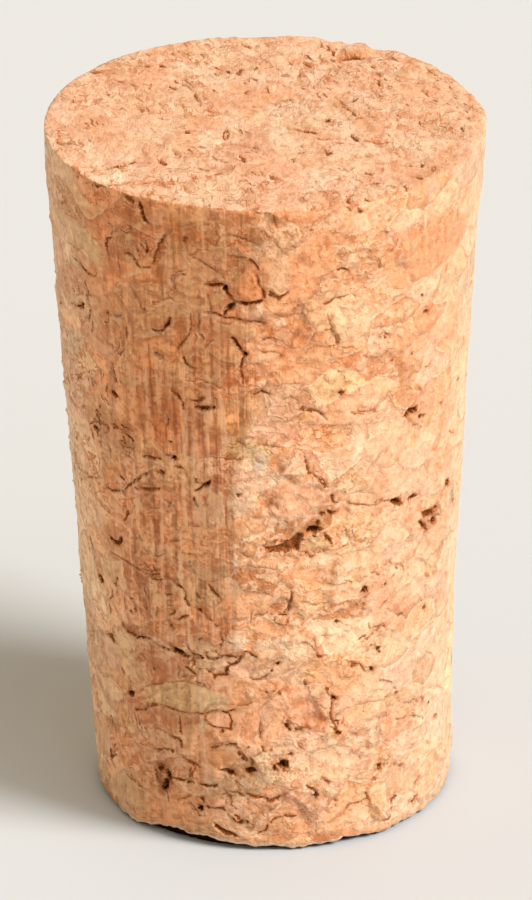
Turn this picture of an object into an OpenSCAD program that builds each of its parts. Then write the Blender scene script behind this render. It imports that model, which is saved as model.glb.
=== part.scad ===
// Tapered cork stopper, ground from one pressed block of cork granules.
// It stands on its small end: the origin is the centre of that end face,
// +Z runs up the axis to the wide end. All dimensions are in millimetres.

/* [Taper] */
// Diameter of the wide end, measured at the face
top_d = 24; // [16:0.5:45]
// Diameter of the small end, measured at the face
bottom_d = 19.5; // [12:0.1:40]
// Length along the axis, from end face to end face
length = 39.5; // [20:0.5:60]

/* [Edges] */
// Wear on the wide end's edge: how far it is broken back
top_edge = 0.35; // [0.1:0.05:1.5]
// Wear on the small end's edge: how far it is broken back
bottom_edge = 0.3; // [0.1:0.05:1.5]

/* [Finish] */
// Colour of the cork
cork_colour = "BurlyWood"; // [BurlyWood, Tan, Wheat, Peru]

/* [Hidden] */

top_r = top_d / 2;
bottom_r = bottom_d / 2;
// The edges are rounded by this many straight steps
edge_steps = 4;

// Radius of the taper at height z
function taper_r(z) = bottom_r + (top_r - bottom_r) * z / length;

// Half section of the taper: up the ground side from the small end to the
// wide end, with both edges worn round. Each edge runs on a quarter circle
// whose centre lies one edge size in from the face and from the side.
function edge_point(z_centre, size, angle) =
    let (z = z_centre + size * sin(angle))
    [taper_r(z) - size * (1 - cos(angle)), z];

function half_section() = concat(
    [[0, 0]],
    [for (i = [0 : edge_steps])
        edge_point(bottom_edge, bottom_edge, -90 + 90 * i / edge_steps)],
    [for (i = [0 : edge_steps])
        edge_point(length - top_edge, top_edge, 90 * i / edge_steps)],
    [[0, length]]
);

// The whole stopper: one solid turned about the axis
module stopper() {
    color(cork_colour)
        rotate_extrude($fn = 180)
            polygon(half_section());
}

stopper();
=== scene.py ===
import math
import bpy
import numpy as np
from mathutils import Matrix, Vector
from mathutils.geometry import delaunay_2d_cdt


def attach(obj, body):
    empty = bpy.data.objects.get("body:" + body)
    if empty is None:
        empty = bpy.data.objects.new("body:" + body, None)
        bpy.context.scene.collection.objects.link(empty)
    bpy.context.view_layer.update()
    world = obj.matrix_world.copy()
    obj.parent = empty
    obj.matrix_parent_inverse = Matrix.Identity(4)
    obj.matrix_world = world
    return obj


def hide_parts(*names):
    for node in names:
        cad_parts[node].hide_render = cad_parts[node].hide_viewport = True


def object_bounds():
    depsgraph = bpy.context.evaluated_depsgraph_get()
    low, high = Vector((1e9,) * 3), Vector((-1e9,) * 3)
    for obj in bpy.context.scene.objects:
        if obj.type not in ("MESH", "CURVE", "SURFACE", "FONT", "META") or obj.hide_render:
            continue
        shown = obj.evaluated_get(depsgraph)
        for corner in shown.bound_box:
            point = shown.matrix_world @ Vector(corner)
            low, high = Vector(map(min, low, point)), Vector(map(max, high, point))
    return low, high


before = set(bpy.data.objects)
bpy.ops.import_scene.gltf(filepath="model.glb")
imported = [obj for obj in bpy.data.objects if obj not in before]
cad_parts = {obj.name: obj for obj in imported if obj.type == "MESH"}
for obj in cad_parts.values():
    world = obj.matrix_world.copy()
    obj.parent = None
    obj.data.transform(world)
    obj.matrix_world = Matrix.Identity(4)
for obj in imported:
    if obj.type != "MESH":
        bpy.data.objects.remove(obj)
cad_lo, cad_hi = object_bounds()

# ---------------------------------------------------------------------------
# Sizes. All modelling is in millimetres on a nominal stopper, 40 long, 24 and
# 19.7 across, and is scaled at the end so that it fills the CAD body's box.
# Angles go round the axis: 0 faces -Y, which is the front, and + is towards +X.
# ---------------------------------------------------------------------------
L = 40.0
RB, RT = 9.85, 12.0
R0 = 11.0                                   # radius at which the side is unrolled
K = (cad_hi.z - cad_lo.z) * 1000.0 / 40.06
SHIFT_X = -0.13
INSET = 0.9                                 # the side's mesh runs this far onto each end
TILT = math.atan2(RT - RB, L)
SLANT = math.hypot(RT - RB, L)
S_BOT = INSET                               # profile length at the small end's corner
S_TOP = INSET + SLANT                       # and at the wide end's corner
S_END = S_TOP + INSET
U_END = 2 * math.pi * R0

# ---------------------------------------------------------------------------
# Smooth noise in numpy, always the same for the same seed
# ---------------------------------------------------------------------------
def _hash(ix, iy, iz, seed):
    h = (ix.astype(np.uint32) * np.uint32(374761393)) ^ (iy.astype(np.uint32) * np.uint32(668265263))
    h ^= iz.astype(np.uint32) * np.uint32(2147483647 - 1274126177)
    h ^= np.uint32((seed * 2654435761) & 0xFFFFFFFF)
    h = (h ^ (h >> np.uint32(13))) * np.uint32(1274126177)
    h = (h ^ (h >> np.uint32(16))) * np.uint32(2246822519)
    h ^= h >> np.uint32(15)
    return h.astype(np.float64) / 4294967295.0


def noise(p, wave, seed=0, squash=(1.0, 1.0, 1.0)):
    """Value noise from -1 to 1 with features about wave millimetres across."""
    q = np.asarray(p, float) / (wave * np.asarray(squash, float))
    q = q + seed * 17.31 + 1000.0
    i = np.floor(q).astype(np.int64)
    f = q - i
    f = f * f * f * (f * (f * 6 - 15) + 10)
    out = 0.0
    for dx in (0, 1):
        wx = f[:, 0] if dx else 1 - f[:, 0]
        for dy in (0, 1):
            wy = f[:, 1] if dy else 1 - f[:, 1]
            for dz in (0, 1):
                wz = f[:, 2] if dz else 1 - f[:, 2]
                out = out + wx * wy * wz * _hash(i[:, 0] + dx, i[:, 1] + dy, i[:, 2] + dz, seed)
    return out * 2 - 1


def fbm(p, wave, octaves=3, gain=0.5, seed=0, squash=(1.0, 1.0, 1.0)):
    total, amp, norm = 0.0, 1.0, 0.0
    for o in range(octaves):
        total = total + amp * noise(p, wave / 2**o, seed + 31 * o, squash)
        norm += amp
        amp *= gain
    return total / norm


def smooth(a, b, x):
    t = np.clip((x - a) / (b - a), 0, 1)
    return t * t * (3 - 2 * t)


def bell(x, centre, half):
    return np.exp(-(((x - centre) / half) ** 2))


def table(theta, rows):
    """Values given at angles, joined by smooth ramps round the whole circle."""
    a = np.array([r[0] for r in rows], float)
    v = np.array([r[1] for r in rows], float)
    a = np.concatenate([a - 360, a, a + 360])
    v = np.concatenate([v, v, v])
    return np.interp(theta, a, v)


# ---------------------------------------------------------------------------
# What marks this stopper. Side features are (angle in degrees, height in mm),
# end-face features are (x, y) in mm.
# A crack is (full width mm, darkness, depth mm, points).
# ---------------------------------------------------------------------------
S, M, T, V = (0.08, 0.44, 0.06), (0.13, 0.66, 0.15), (0.20, 0.90, 0.28), (0.36, 1.0, 0.5)

SIDE_CRACKS = [
    # upper left, the ground-smooth quarter
    (T, [(-34.6, 39.7), (-34, 39.1), (-33.4, 38.7), (-32.4, 38.45)]),
    (M, [(-27.5, 38.0), (-29.5, 37.2), (-31, 36.4), (-31.6, 35.9)]),
    (S, [(-45, 38.0), (-44.4, 37.5), (-44.6, 37.0)]),
    (M, [(-44.4, 37.0), (-46.5, 36.6), (-47.3, 36.0)]),
    (M, [(-40.5, 36.2), (-39, 36.4), (-37.5, 36.2), (-36.5, 35.9)]),
    (T, [(-33.8, 36.7), (-32.8, 36.65)]),
    (S, [(-35.2, 35.7), (-33.3, 35.75), (-32, 35.9)]),
    (S, [(-31.5, 33.6), (-29, 33.9), (-27, 34.15), (-26, 34.0)]),
    (M, [(-33.8, 32.0), (-31, 31.9), (-29.3, 32.1)]),
    (T, [(-29.3, 32.1), (-28, 32.5), (-27.2, 32.9)]),
    (S, [(-68, 31.2), (-64, 31.4)]),
    (T, [(-64, 31.4), (-61.8, 31.5), (-59.5, 31.9)]),
    (S, [(-64, 34.4), (-60, 34.3), (-57, 34.1), (-54, 34.0)]),
    (S, [(-68, 37.3), (-65, 37.6), (-62, 37.9)]),
    (M, [(-33, 30.6), (-30, 30.4)]),
    (S, [(-80, 30.2), (-75.5, 30.5)]),
    (S, [(-48, 32.0), (-45, 32.15), (-42.5, 32.4)]),
    (S, [(-50, 31.2), (-48.6, 31.6), (-48.3, 32.0)]),
    (S, [(-55.5, 39.4), (-52, 39.7), (-49, 39.75)]),
    (S, [(-66, 35.1), (-61, 35.1), (-58, 35.0)]),
    # the forked crack in the middle of the upper half
    (T, [(-17, 35.2), (-15, 35.25), (-12.5, 35.35), (-10.6, 35.25)]),
    (V, [(-11.6, 35.15), (-10.6, 35.05)]),
    (T, [(-10.9, 35.0), (-9.6, 34.7), (-8.5, 34.35)]),
    (T, [(-8.5, 34.35), (-6.2, 34.35), (-4, 34.42), (-2.4, 34.5), (-0.8, 34.62)]),
    (V, [(-8.6, 34.3), (-9.6, 34.08), (-10.7, 33.8)]),
    (T, [(-10.7, 33.8), (-11.4, 33.5)]),
    (M, [(-17.5, 33.5), (-14, 33.6), (-11.4, 33.4), (-8, 33.35), (-5, 33.3), (-2, 33.25), (-0.5, 33.1)]),
    (M, [(-25.7, 31.0), (-24, 31.5), (-22, 32.0), (-21, 32.4)]),
    (T, [(-9.5, 32.3), (-8, 31.85), (-6.6, 31.45)]),
    (V, [(-6.5, 31.35), (-5.6, 31.28)]),
    (M, [(-5.9, 31.2), (-6.8, 30.8), (-7.0, 30.2)]),
    (M, [(-0.6, 34.7), (-0.8, 35.1), (-2, 35.6), (-2.7, 36.2)]),
    (M, [(-1.8, 36.4), (-3, 36.8), (-4.5, 37.0)]),
    (S, [(-4.5, 37.0), (-8, 37.05), (-10, 37.1)]),
    (M, [(0.5, 35.0), (2, 34.9), (3, 34.65), (4, 34.9), (6, 35.05)]),
    (S, [(-10.5, 38.55), (-7, 38.4), (-5, 38.3), (-3.5, 38.1), (-2, 38.0)]),
    (S, [(-1.5, 38.75), (-0.5, 38.8), (0.5, 38.5), (2.2, 38.4)]),
    (S, [(2.3, 39.9), (2.8, 39.1)]),
    (S, [(2, 38.3), (3, 37.9), (5, 37.4)]),
    (S, [(11, 38.7), (12.6, 38.75)]),
    (S, [(-20.5, 36.8), (-18, 36.6), (-15, 36.3), (-13, 36.1)]),
    (S, [(-12.2, 35.95), (-11.2, 35.6)]),
    (S, [(-25.5, 35.0), (-25.2, 35.6), (-24, 35.8), (-22, 35.9)]),
    (M, [(15.5, 34.05), (18, 34.2), (20, 34.35), (23, 34.4), (24.6, 34.25)]),
    (S, [(6.5, 33.6), (9, 33.55), (12, 33.7), (13.5, 33.8)]),
    (S, [(16.3, 33.6), (17, 32.9), (18, 32.4)]),
    (M, [(15.5, 32.5), (17.5, 32.45), (19.2, 32.15), (19.6, 31.8), (18.5, 31.5)]),
    (S, [(18.5, 31.5), (16, 31.4), (13, 31.5), (11.2, 31.3), (10.5, 31.0)]),
    (S, [(18.5, 31.4), (21, 31.3), (24, 31.1), (26, 30.8), (28.4, 30.3)]),
    (S, [(-4, 31.5), (0, 31.4), (3, 31.3), (5, 31.0)]),
    (S, [(16.5, 36.0), (18, 36.1), (19.2, 36.4)]),
    (S, [(20.5, 36.1), (22.5, 35.9), (23.5, 35.3), (24.2, 34.9)]),
    (M, [(24.7, 39.6), (25.3, 39.25)]),
    # upper right
    (M, [(32, 38.05), (33.2, 37.7)]),
    (M, [(33, 36.7), (34.5, 36.6), (36, 36.72), (36.8, 37.2)]),
    (M, [(29.3, 36.4), (30.5, 36.0), (31.5, 35.7), (32.6, 35.65)]),
    (S, [(27.5, 35.5), (29.7, 35.3)]),
    (T, [(32.7, 31.85), (33.2, 31.45), (34.3, 31.2)]),
    (S, [(34.3, 31.2), (36, 31.15)]),
    (M, [(48.2, 31.95), (49.3, 31.85)]),
    (S, [(46.3, 33.1), (47.2, 32.9)]),
    (S, [(52.2, 34.0), (52.4, 33.6)]),
    (S, [(65, 32.75), (67, 32.55)]),
    (S, [(72, 31.65), (75, 31.35)]),
    (S, [(42.7, 37.7), (44.2, 37.3)]),
    (S, [(52.0, 37.5), (53.5, 37.3)]),
    # middle left
    (S, [(-70, 26.7), (-67, 26.75), (-64, 27.2), (-61, 27.6), (-57, 27.9), (-55.3, 28.1)]),
    (S, [(-49, 29), (-48.3, 28.5), (-47.5, 28.1), (-46.8, 27.8)]),
    (M, [(-66, 25.0), (-63.3, 25.25)]),
    (S, [(-73, 20.0), (-70, 20.1), (-66, 20.7), (-62, 21.0), (-58, 21.4)]),
    (M, [(-56, 21.0), (-52, 20.95), (-49, 21.1), (-47, 21.3)]),
    (M, [(-46.5, 21.5), (-44.5, 21.8), (-43, 22.0), (-42, 22.25), (-40, 22.5), (-38, 22.9), (-36.5, 23.0)]),
    (M, [(-40, 21.85), (-36, 22.0), (-33, 22.15)]),
    (M, [(-38.5, 23.9), (-36, 24.1), (-33, 24.0), (-31.8, 24.0)]),
    (M, [(-31, 24.3), (-29, 24.35), (-28, 24.4)]),
    (V, [(-28.5, 24.35), (-27.9, 24.2)]),
    (V, [(-32.8, 23.2), (-31.9, 23.2)]),
    (S, [(-31.9, 23.1), (-31.5, 22.8)]),
    (M, [(-28, 28.6), (-26.2, 28.2), (-24.8, 27.7), (-24.6, 27.3)]),
    (S, [(-29.1, 27.2), (-29, 26.8)]),
    (M, [(-29.4, 25.25), (-28.6, 25.2)]),
    # middle
    (S, [(-20, 29.35), (-17, 29.3), (-14, 29.1), (-11, 29.0)]),
    (M, [(-20, 28.15), (-18, 28.3)]),
    (M, [(-20.5, 27.65), (-18, 27.75), (-15, 27.85)]),
    (S, [(-19.5, 24.6), (-16, 24.7), (-12, 24.7), (-9, 24.8), (-6.5, 24.95)]),
    (T, [(-22, 22.4), (-20.6, 22.6), (-19.6, 22.75)]),
    (V, [(-19.6, 22.8), (-18, 23.0), (-16.9, 23.15)]),
    (S, [(-21.8, 23.1), (-20.5, 22.95)]),
    (M, [(-22.4, 22.1), (-21.8, 21.7), (-21.2, 21.4)]),
    (S, [(-27, 24.0), (-25.2, 23.7), (-24, 23.1)]),
    (S, [(15.3, 29.7), (16, 29.5), (17, 29.2), (17.6, 29.0)]),
    (S, [(16.5, 28.4), (19, 28.35), (22, 28.3)]),
    (T, [(20.0, 28.55), (20.8, 28.5)]),
    (M, [(9.6, 28.0), (9.9, 27.6)]),
    (S, [(10.5, 27.8), (12, 27.7), (14.5, 27.55), (15.5, 27.3), (17, 26.8)]),
    (M, [(23.5, 27.3), (24.5, 27.1), (26, 26.95), (28, 26.85)]),
    (S, [(10.5, 24.3), (11, 23.9), (12, 23.5), (14, 23.3)]),
    (M, [(14, 23.3), (15.5, 23.1), (16.6, 22.8)]),
    (S, [(-4.5, 25.6), (0, 25.6), (4.5, 25.45)]),
    (M, [(18.3, 22.1), (18.5, 21.7)]),
    (M, [(18.6, 21.75), (20.3, 21.65)]),
    (S, [(21.5, 21.4), (23, 21.2), (24, 21.0)]),
    (S, [(1, 22.8), (1.3, 22.4)]),
    (S, [(0, 22.05), (2, 21.95), (2.6, 21.6)]),
    (S, [(-5.5, 21.3), (-4, 21.2), (0, 21.2)]),
    (M, [(-9.1, 22.7), (-8.4, 22.5)]),
    # middle right
    (S, [(26.5, 27.3), (29, 27.35)]),
    (M, [(31.4, 27.2), (31.3, 26.85), (32.2, 26.7)]),
    (M, [(48.0, 25.4), (49.8, 25.45)]),
    (M, [(50.9, 28.38), (52.2, 28.34)]),
    (M, [(31.5, 21.2), (33.5, 21.25), (35.5, 21.15)]),
    (S, [(38.2, 25.65), (39.8, 25.45)]),
    (S, [(36, 24.2), (37.5, 24.4)]),
    (S, [(35.5, 24.2), (33, 23.8), (30.5, 23.5)]),
    (M, [(65.8, 23.15), (68, 22.9), (70.5, 22.65)]),
    (S, [(68.5, 26.05), (71, 25.85)]),
    (S, [(47, 21.55), (49, 21.7)]),
    (S, [(53.5, 29.1), (57, 29.15), (62, 28.9)]),
    # lower left
    (M, [(-45.2, 20.2), (-46.5, 19.6), (-47.6, 19.25)]),
    (T, [(-48.2, 18.3), (-49.4, 18.0)]),
    (S, [(-54.5, 17.9), (-52.5, 17.85)]),
    (S, [(-55, 16.95), (-51, 17.0), (-46, 16.8), (-42, 16.75), (-38, 16.9), (-35, 17.05), (-33, 17.1)]),
    (S, [(-42, 16.7), (-38, 16.5), (-34, 16.6)]),
    (T, [(-64, 14.75), (-62.5, 14.6), (-61, 14.4)]),
    (T, [(-45.2, 12.2), (-43, 12.35), (-41, 12.45), (-39, 12.45)]),
    (M, [(-39, 12.4), (-36.5, 12.2), (-33, 12.15), (-31.8, 12.2)]),
    (V, [(-31.6, 12.25), (-30, 12.2), (-28.5, 12.08), (-27, 11.98)]),
    (T, [(-27, 11.98), (-25, 12.02), (-23.5, 12.0), (-21, 12.05)]),
    (M, [(-26.2, 12.5), (-25, 12.3), (-24.4, 12.1)]),
    (M, [(-61.5, 11.4), (-58.8, 11.4), (-56.3, 11.55)]),
    (S, [(-76, 10.2), (-73, 10.45), (-70, 10.7), (-67.5, 10.8)]),
    (S, [(-31, 19.1), (-29, 19.1), (-27.5, 19.2)]),
    (M, [(-30, 14.0), (-28, 14.3), (-25.5, 14.5)]),
    (S, [(-30, 16.6), (-28, 16.3), (-26.5, 15.8)]),
    (M, [(-46.6, 14.65), (-45.6, 14.55)]),
    (S, [(-53.8, 15.1), (-52.2, 15.4)]),
    (M, [(-31.6, 13.8), (-31, 13.55)]),
    # lower middle
    (S, [(-9, 19.0), (-7, 18.85), (-5, 18.6)]),
    (S, [(-6.5, 17.9), (-6, 17.5), (-5, 17.0), (-3.5, 16.6), (-1, 16.4), (1, 16.2)]),
    (M, [(-19, 16.8), (-17, 16.4), (-15.5, 16.1), (-14.5, 15.8)]),
    (V, [(-22.8, 16.0), (-21.7, 15.7)]),
    (M, [(-22.3, 15.05), (-21.3, 14.9)]),
    (S, [(-26, 15.5), (-24, 15.1), (-22, 14.95), (-19, 14.6), (-17, 14.3), (-14, 14.0)]),
    (M, [(4.6, 16.0), (5.5, 15.8), (5.1, 15.3), (3.8, 15.1)]),
    (M, [(2.1, 15.05), (3.4, 14.95), (5, 14.95)]),
    (S, [(1.2, 14.95), (1.5, 14.5), (3, 14.35), (4.6, 14.4), (5.6, 14.9)]),
    (S, [(-5.5, 15.05), (-2, 15.1), (1, 15.05)]),
    (S, [(-5.8, 15.3), (-6, 14.5)]),
    (S, [(-20, 12.0), (-17, 12.2), (-14, 12.4), (-11, 12.4)]),
    (M, [(-14, 12.0), (-12, 11.9), (-10, 12.1), (-8.5, 12.6), (-7.5, 12.9)]),
    (S, [(-7.5, 12.9), (-5, 12.65)]),
    (M, [(-13.4, 11.75), (-13.8, 11.3)]),
    (T, [(1.1, 11.9), (1.8, 12.02), (2.6, 12.1)]),
    (M, [(-0.5, 11.6), (0.3, 11.55)]),
    (S, [(-7.2, 11.6), (-6, 11.05), (-3, 11.1), (-0.3, 11.45)]),
    (M, [(13.6, 12.45), (14.9, 12.12)]),
    (S, [(12.4, 13.6), (13.4, 13.2), (14, 12.6)]),
    (M, [(19.7, 14.35), (20.2, 14.1)]),
    (S, [(16, 16.85), (17.5, 16.65), (20, 16.6)]),
    (S, [(15.4, 15.6), (16.1, 15.35)]),
    (M, [(22, 16.8), (24, 16.65), (25.4, 16.5)]),
    (M, [(9.8, 10.9), (10.3, 10.5)]),
    (M, [(25, 11.5), (25.7, 11.15)]),
    (S, [(20.4, 19.9), (20.7, 19.3)]),
    (S, [(21, 18.95), (22.8, 18.88)]),
    (S, [(10.4, 18.5), (13, 18.5), (16, 18.75), (18, 18.95)]),
    # lower right
    (T, [(50.2, 18.8), (51.2, 18.55), (52.6, 18.3)]),
    (T, [(50.8, 19.15), (52.8, 19.1), (55, 18.85), (58.2, 18.7)]),
    (T, [(54, 18.6), (56.4, 18.35), (58, 18.2)]),
    (M, [(58.4, 18.65), (61.4, 18.4)]),
    (T, [(55.2, 19.1), (57.8, 19.2)]),
    (T, [(63.6, 20.2), (65, 20.15), (67, 19.9)]),
    (M, [(69.3, 19.15), (71, 18.95)]),
    (M, [(70.8, 18.55), (72.8, 18.15)]),
    (S, [(65.3, 17.35), (66.4, 16.6)]),
    (M, [(36, 17.0), (38.3, 17.1), (39.5, 16.9)]),
    (T, [(40.3, 16.7), (41.2, 16.4)]),
    (S, [(42.5, 16.3), (46.7, 16.2)]),
    (S, [(26.8, 16.75), (30.2, 16.7)]),
    (M, [(31.4, 16.8), (33, 16.7), (34.2, 16.45)]),
    (V, [(28.5, 16.0), (29.2, 15.8)]),
    (M, [(29.5, 15.1), (28.8, 14.6)]),
    (M, [(36.6, 14.6), (37.6, 14.62), (38.8, 14.9)]),
    (S, [(37.8, 14.6), (39, 14.15)]),
    (M, [(31, 13.7), (31.9, 13.2)]),
    (M, [(33.4, 13.2), (35.5, 13.3), (37.3, 13.05)]),
    (M, [(27.3, 12.85), (30.2, 12.98)]),
    (M, [(41, 13.65), (42.8, 13.5), (44.2, 13.38)]),
    (S, [(28, 11.95), (32, 11.95), (34, 11.9)]),
    (V, [(34.3, 11.85), (35.5, 11.85)]),
    (M, [(35, 11.8), (34.6, 11.5)]),
    (S, [(36, 12.1), (38, 12.4), (40, 12.55)]),
    (M, [(31.5, 12.25), (32.3, 12.15)]),
    (M, [(30.8, 10.92), (32.5, 10.86), (33, 10.6)]),
    (M, [(37.4, 20.85), (39, 20.92)]),
    (T, [(38.2, 20.75), (40.4, 20.8), (41.6, 20.6)]),
    (T, [(44.5, 20.65), (46, 20.78), (47.7, 20.55)]),
    (S, [(53.7, 13.25), (55.2, 12.95)]),
    (S, [(54, 15.3), (56, 15.2)]),
    # foot, left
    (V, [(-51, 8.35), (-49.6, 8.4), (-47.9, 8.48)]),
    (M, [(-48, 7.55), (-44, 7.7), (-42.5, 7.95), (-41.3, 8.2)]),
    (M, [(-41.3, 8.2), (-38, 8.4), (-34, 8.5)]),
    (S, [(-54.5, 8.3), (-52, 8.0), (-50.5, 7.7)]),
    (S, [(-75, 6.0), (-72, 6.15), (-69, 6.2)]),
    (M, [(-34, 6.6), (-31.4, 6.6), (-30.2, 6.4), (-29.6, 6.15)]),
    (S, [(-30, 8.1), (-30.2, 7.6)]),
    (M, [(-39.5, 5.35), (-37.5, 5.6), (-35.5, 5.65)]),
    (M, [(-33.3, 5.75), (-32.4, 5.65)]),
    (V, [(-35.6, 4.4), (-34.7, 4.15), (-35.2, 3.85)]),
    (V, [(-35.9, 3.7), (-37.0, 3.35), (-38, 3.05)]),
    (M, [(-40.6, 4.2), (-40.5, 3.6), (-39.3, 3.1)]),
    (M, [(-39.4, 4.5), (-37.6, 4.65), (-36, 4.5)]),
    (M, [(-34, 4.0), (-32.2, 3.9), (-31, 4.05), (-28, 3.95), (-26, 4.0)]),
    (S, [(-66.5, 3.4), (-63, 3.6), (-59, 4.1), (-57.5, 4.2)]),
    (M, [(-69.8, 2.4), (-68, 2.5)]),
    (M, [(-55.3, 2.87), (-53, 2.75), (-50, 2.6)]),
    (S, [(-50, 2.6), (-46, 2.5)]),
    (S, [(-33, 2.4), (-31, 2.7), (-29, 2.9), (-27, 3.1)]),
    # foot, middle
    (T, [(18.0, 9.62), (19.2, 9.55), (20.2, 9.45)]),
    (S, [(13.5, 9.35), (15.5, 9.1), (17, 8.6), (17.1, 8.3)]),
    (T, [(18, 7.6), (20, 7.42), (21.6, 7.1)]),
    (M, [(19.8, 8.05), (20.5, 7.95)]),
    (S, [(19.6, 8.4), (22, 8.25), (22.6, 8.0)]),
    (M, [(-21, 8.5), (-19, 8.75), (-16, 8.9), (-14, 8.8), (-12.5, 9.0), (-11, 9.0)]),
    (M, [(-21.1, 8.5), (-21.1, 8.2), (-19, 7.9), (-16, 7.8), (-13, 7.75), (-12.7, 8.3), (-13.8, 8.75)]),
    (M, [(-15.8, 7.7), (-15.2, 7.55)]),
    (M, [(-20, 6.3), (-18, 6.6), (-15, 6.85), (-12, 6.9), (-10.5, 6.6), (-9, 6.2), (-8, 5.7)]),
    (S, [(-6, 6.0), (-4, 6.4), (-2.5, 6.4), (0, 6.6)]),
    (M, [(-3.4, 6.8), (-3.0, 6.45)]),
    (M, [(-7.3, 6.0), (-6.4, 5.75), (-7, 5.4)]),
    (T, [(-8.7, 5.05), (-7, 5.15), (-5.3, 5.15)]),
    (M, [(-7.6, 5.0), (-7.2, 4.75)]),
    (T, [(2.2, 5.85), (3.4, 5.7), (3.6, 5.45), (2.8, 5.2)]),
    (T, [(0.2, 5.6), (0.8, 5.35), (1.6, 5.2)]),
    (M, [(5.2, 6.3), (5.8, 6.1)]),
    (M, [(-17.5, 5.0), (-15, 4.95)]),
    (T, [(-15, 4.95), (-13, 4.9), (-12.2, 4.85)]),
    (M, [(-26, 5.2), (-25.5, 4.9), (-26.5, 4.3), (-26.8, 4.0)]),
    (M, [(-22.6, 3.92), (-21.6, 3.88)]),
    (S, [(-15.2, 3.72), (-12, 3.7), (-9, 3.6)]),
    (M, [(-9, 3.6), (-5, 3.5), (-1, 3.32), (1, 3.35), (3, 3.7)]),
    (S, [(3, 3.7), (5, 3.95), (7, 4.1)]),
    (M, [(10, 4.2), (11.5, 4.0), (12.8, 3.9)]),
    (T, [(12.0, 3.95), (13.4, 3.65), (13.2, 3.3)]),
    (S, [(15, 3.8), (18, 3.5), (19.5, 3.3)]),
    (M, [(19.4, 3.1), (20.4, 2.9)]),
    (S, [(20.1, 2.8), (20, 2.4)]),
    (M, [(15.2, 4.62), (16.5, 4.3), (18, 4.05)]),
    (V, [(-24.8, 2.5), (-23.6, 2.25)]),
    (T, [(-24.2, 2.2), (-23, 2.55)]),
    (M, [(-22, 2.6), (-20.5, 2.5), (-18, 2.6), (-16, 2.7), (-15.4, 2.4)]),
    (M, [(-23.8, 3.0), (-23.2, 2.9)]),
    (M, [(-19.5, 1.6), (-19, 1.3), (-17.5, 1.1), (-15, 1.0), (-12.5, 0.85), (-11, 0.6)]),
    (M, [(-15, 2.2), (-13, 2.0), (-12, 1.75)]),
    (T, [(-12, 1.75), (-10, 1.9), (-8, 1.85)]),
    (S, [(-8, 1.85), (-7, 1.7), (-6.5, 1.4)]),
    (S, [(-9, 2.1), (-7, 2.4), (-4, 2.5), (-2.5, 2.75)]),
    (S, [(-3.2, 1.45), (-1.5, 1.8), (0, 2.1), (3, 2.2)]),
    (M, [(2.6, 2.25), (4, 2.2), (5.6, 2.3)]),
    (M, [(23, 2.2), (24, 2.45), (26, 2.5), (28, 2.5)]),
    (M, [(4.4, 8.45), (4.8, 8.1), (5, 7.85)]),
    (M, [(6.8, 7.75), (9, 7.87), (12, 7.7)]),
    (S, [(-3.7, 8.5), (-3.8, 7.9), (-3.6, 7.2)]),
    (S, [(7.5, 6.95), (9.6, 6.4)]),
    (S, [(-10.4, 9.3), (-8, 9.4), (-6, 9.6)]),
    # foot, right
    (M, [(40.4, 8.5), (41.5, 8.55), (42.2, 8.68)]),
    (S, [(31, 9.35), (35, 9.25), (39, 8.9)]),
    (M, [(30.6, 8.75), (29.4, 8.5), (29.2, 8.1)]),
    (S, [(45, 7.8), (47, 7.62)]),
    (M, [(47, 7.62), (49, 7.5), (51, 7.6), (53, 7.3)]),
    (M, [(54.5, 7.5), (55.4, 7.15)]),
    (T, [(59.2, 6.9), (59.9, 6.75)]),
    (S, [(34, 7.45), (38, 7.45), (40.5, 7.5)]),
    (S, [(56.5, 4.8), (58.5, 4.7), (60.3, 5.1)]),
    (M, [(37.3, 4.3), (38.5, 4.5), (39.6, 4.2)]),
    (S, [(41, 4.15), (42.2, 3.95)]),
    (M, [(33.3, 3.75), (34.2, 3.65)]),
    (S, [(44, 3.8), (46.5, 4.0), (47.6, 4.25)]),
    (M, [(25, 2.42), (27, 2.42), (29, 2.6), (30.5, 3.0)]),
    (M, [(30.5, 3.0), (31.5, 2.6), (32.2, 2.2)]),
    (M, [(37, 0.8), (39, 0.8), (40.6, 1.1)]),
    (T, [(40.8, 1.8), (41.5, 1.98), (43, 2.1)]),
    (S, [(44.5, 2.2), (46.2, 2.25)]),
    (M, [(52.4, 2.3), (53.6, 2.12)]),
    (T, [(50.4, 1.1), (51.5, 1.27), (53.2, 1.38)]),
    (M, [(70.2, 2.65), (72, 2.6), (74.5, 2.35)]),
    (S, [(60, 0.6), (63, 0.4), (66, 0.25)]),
]

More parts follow.
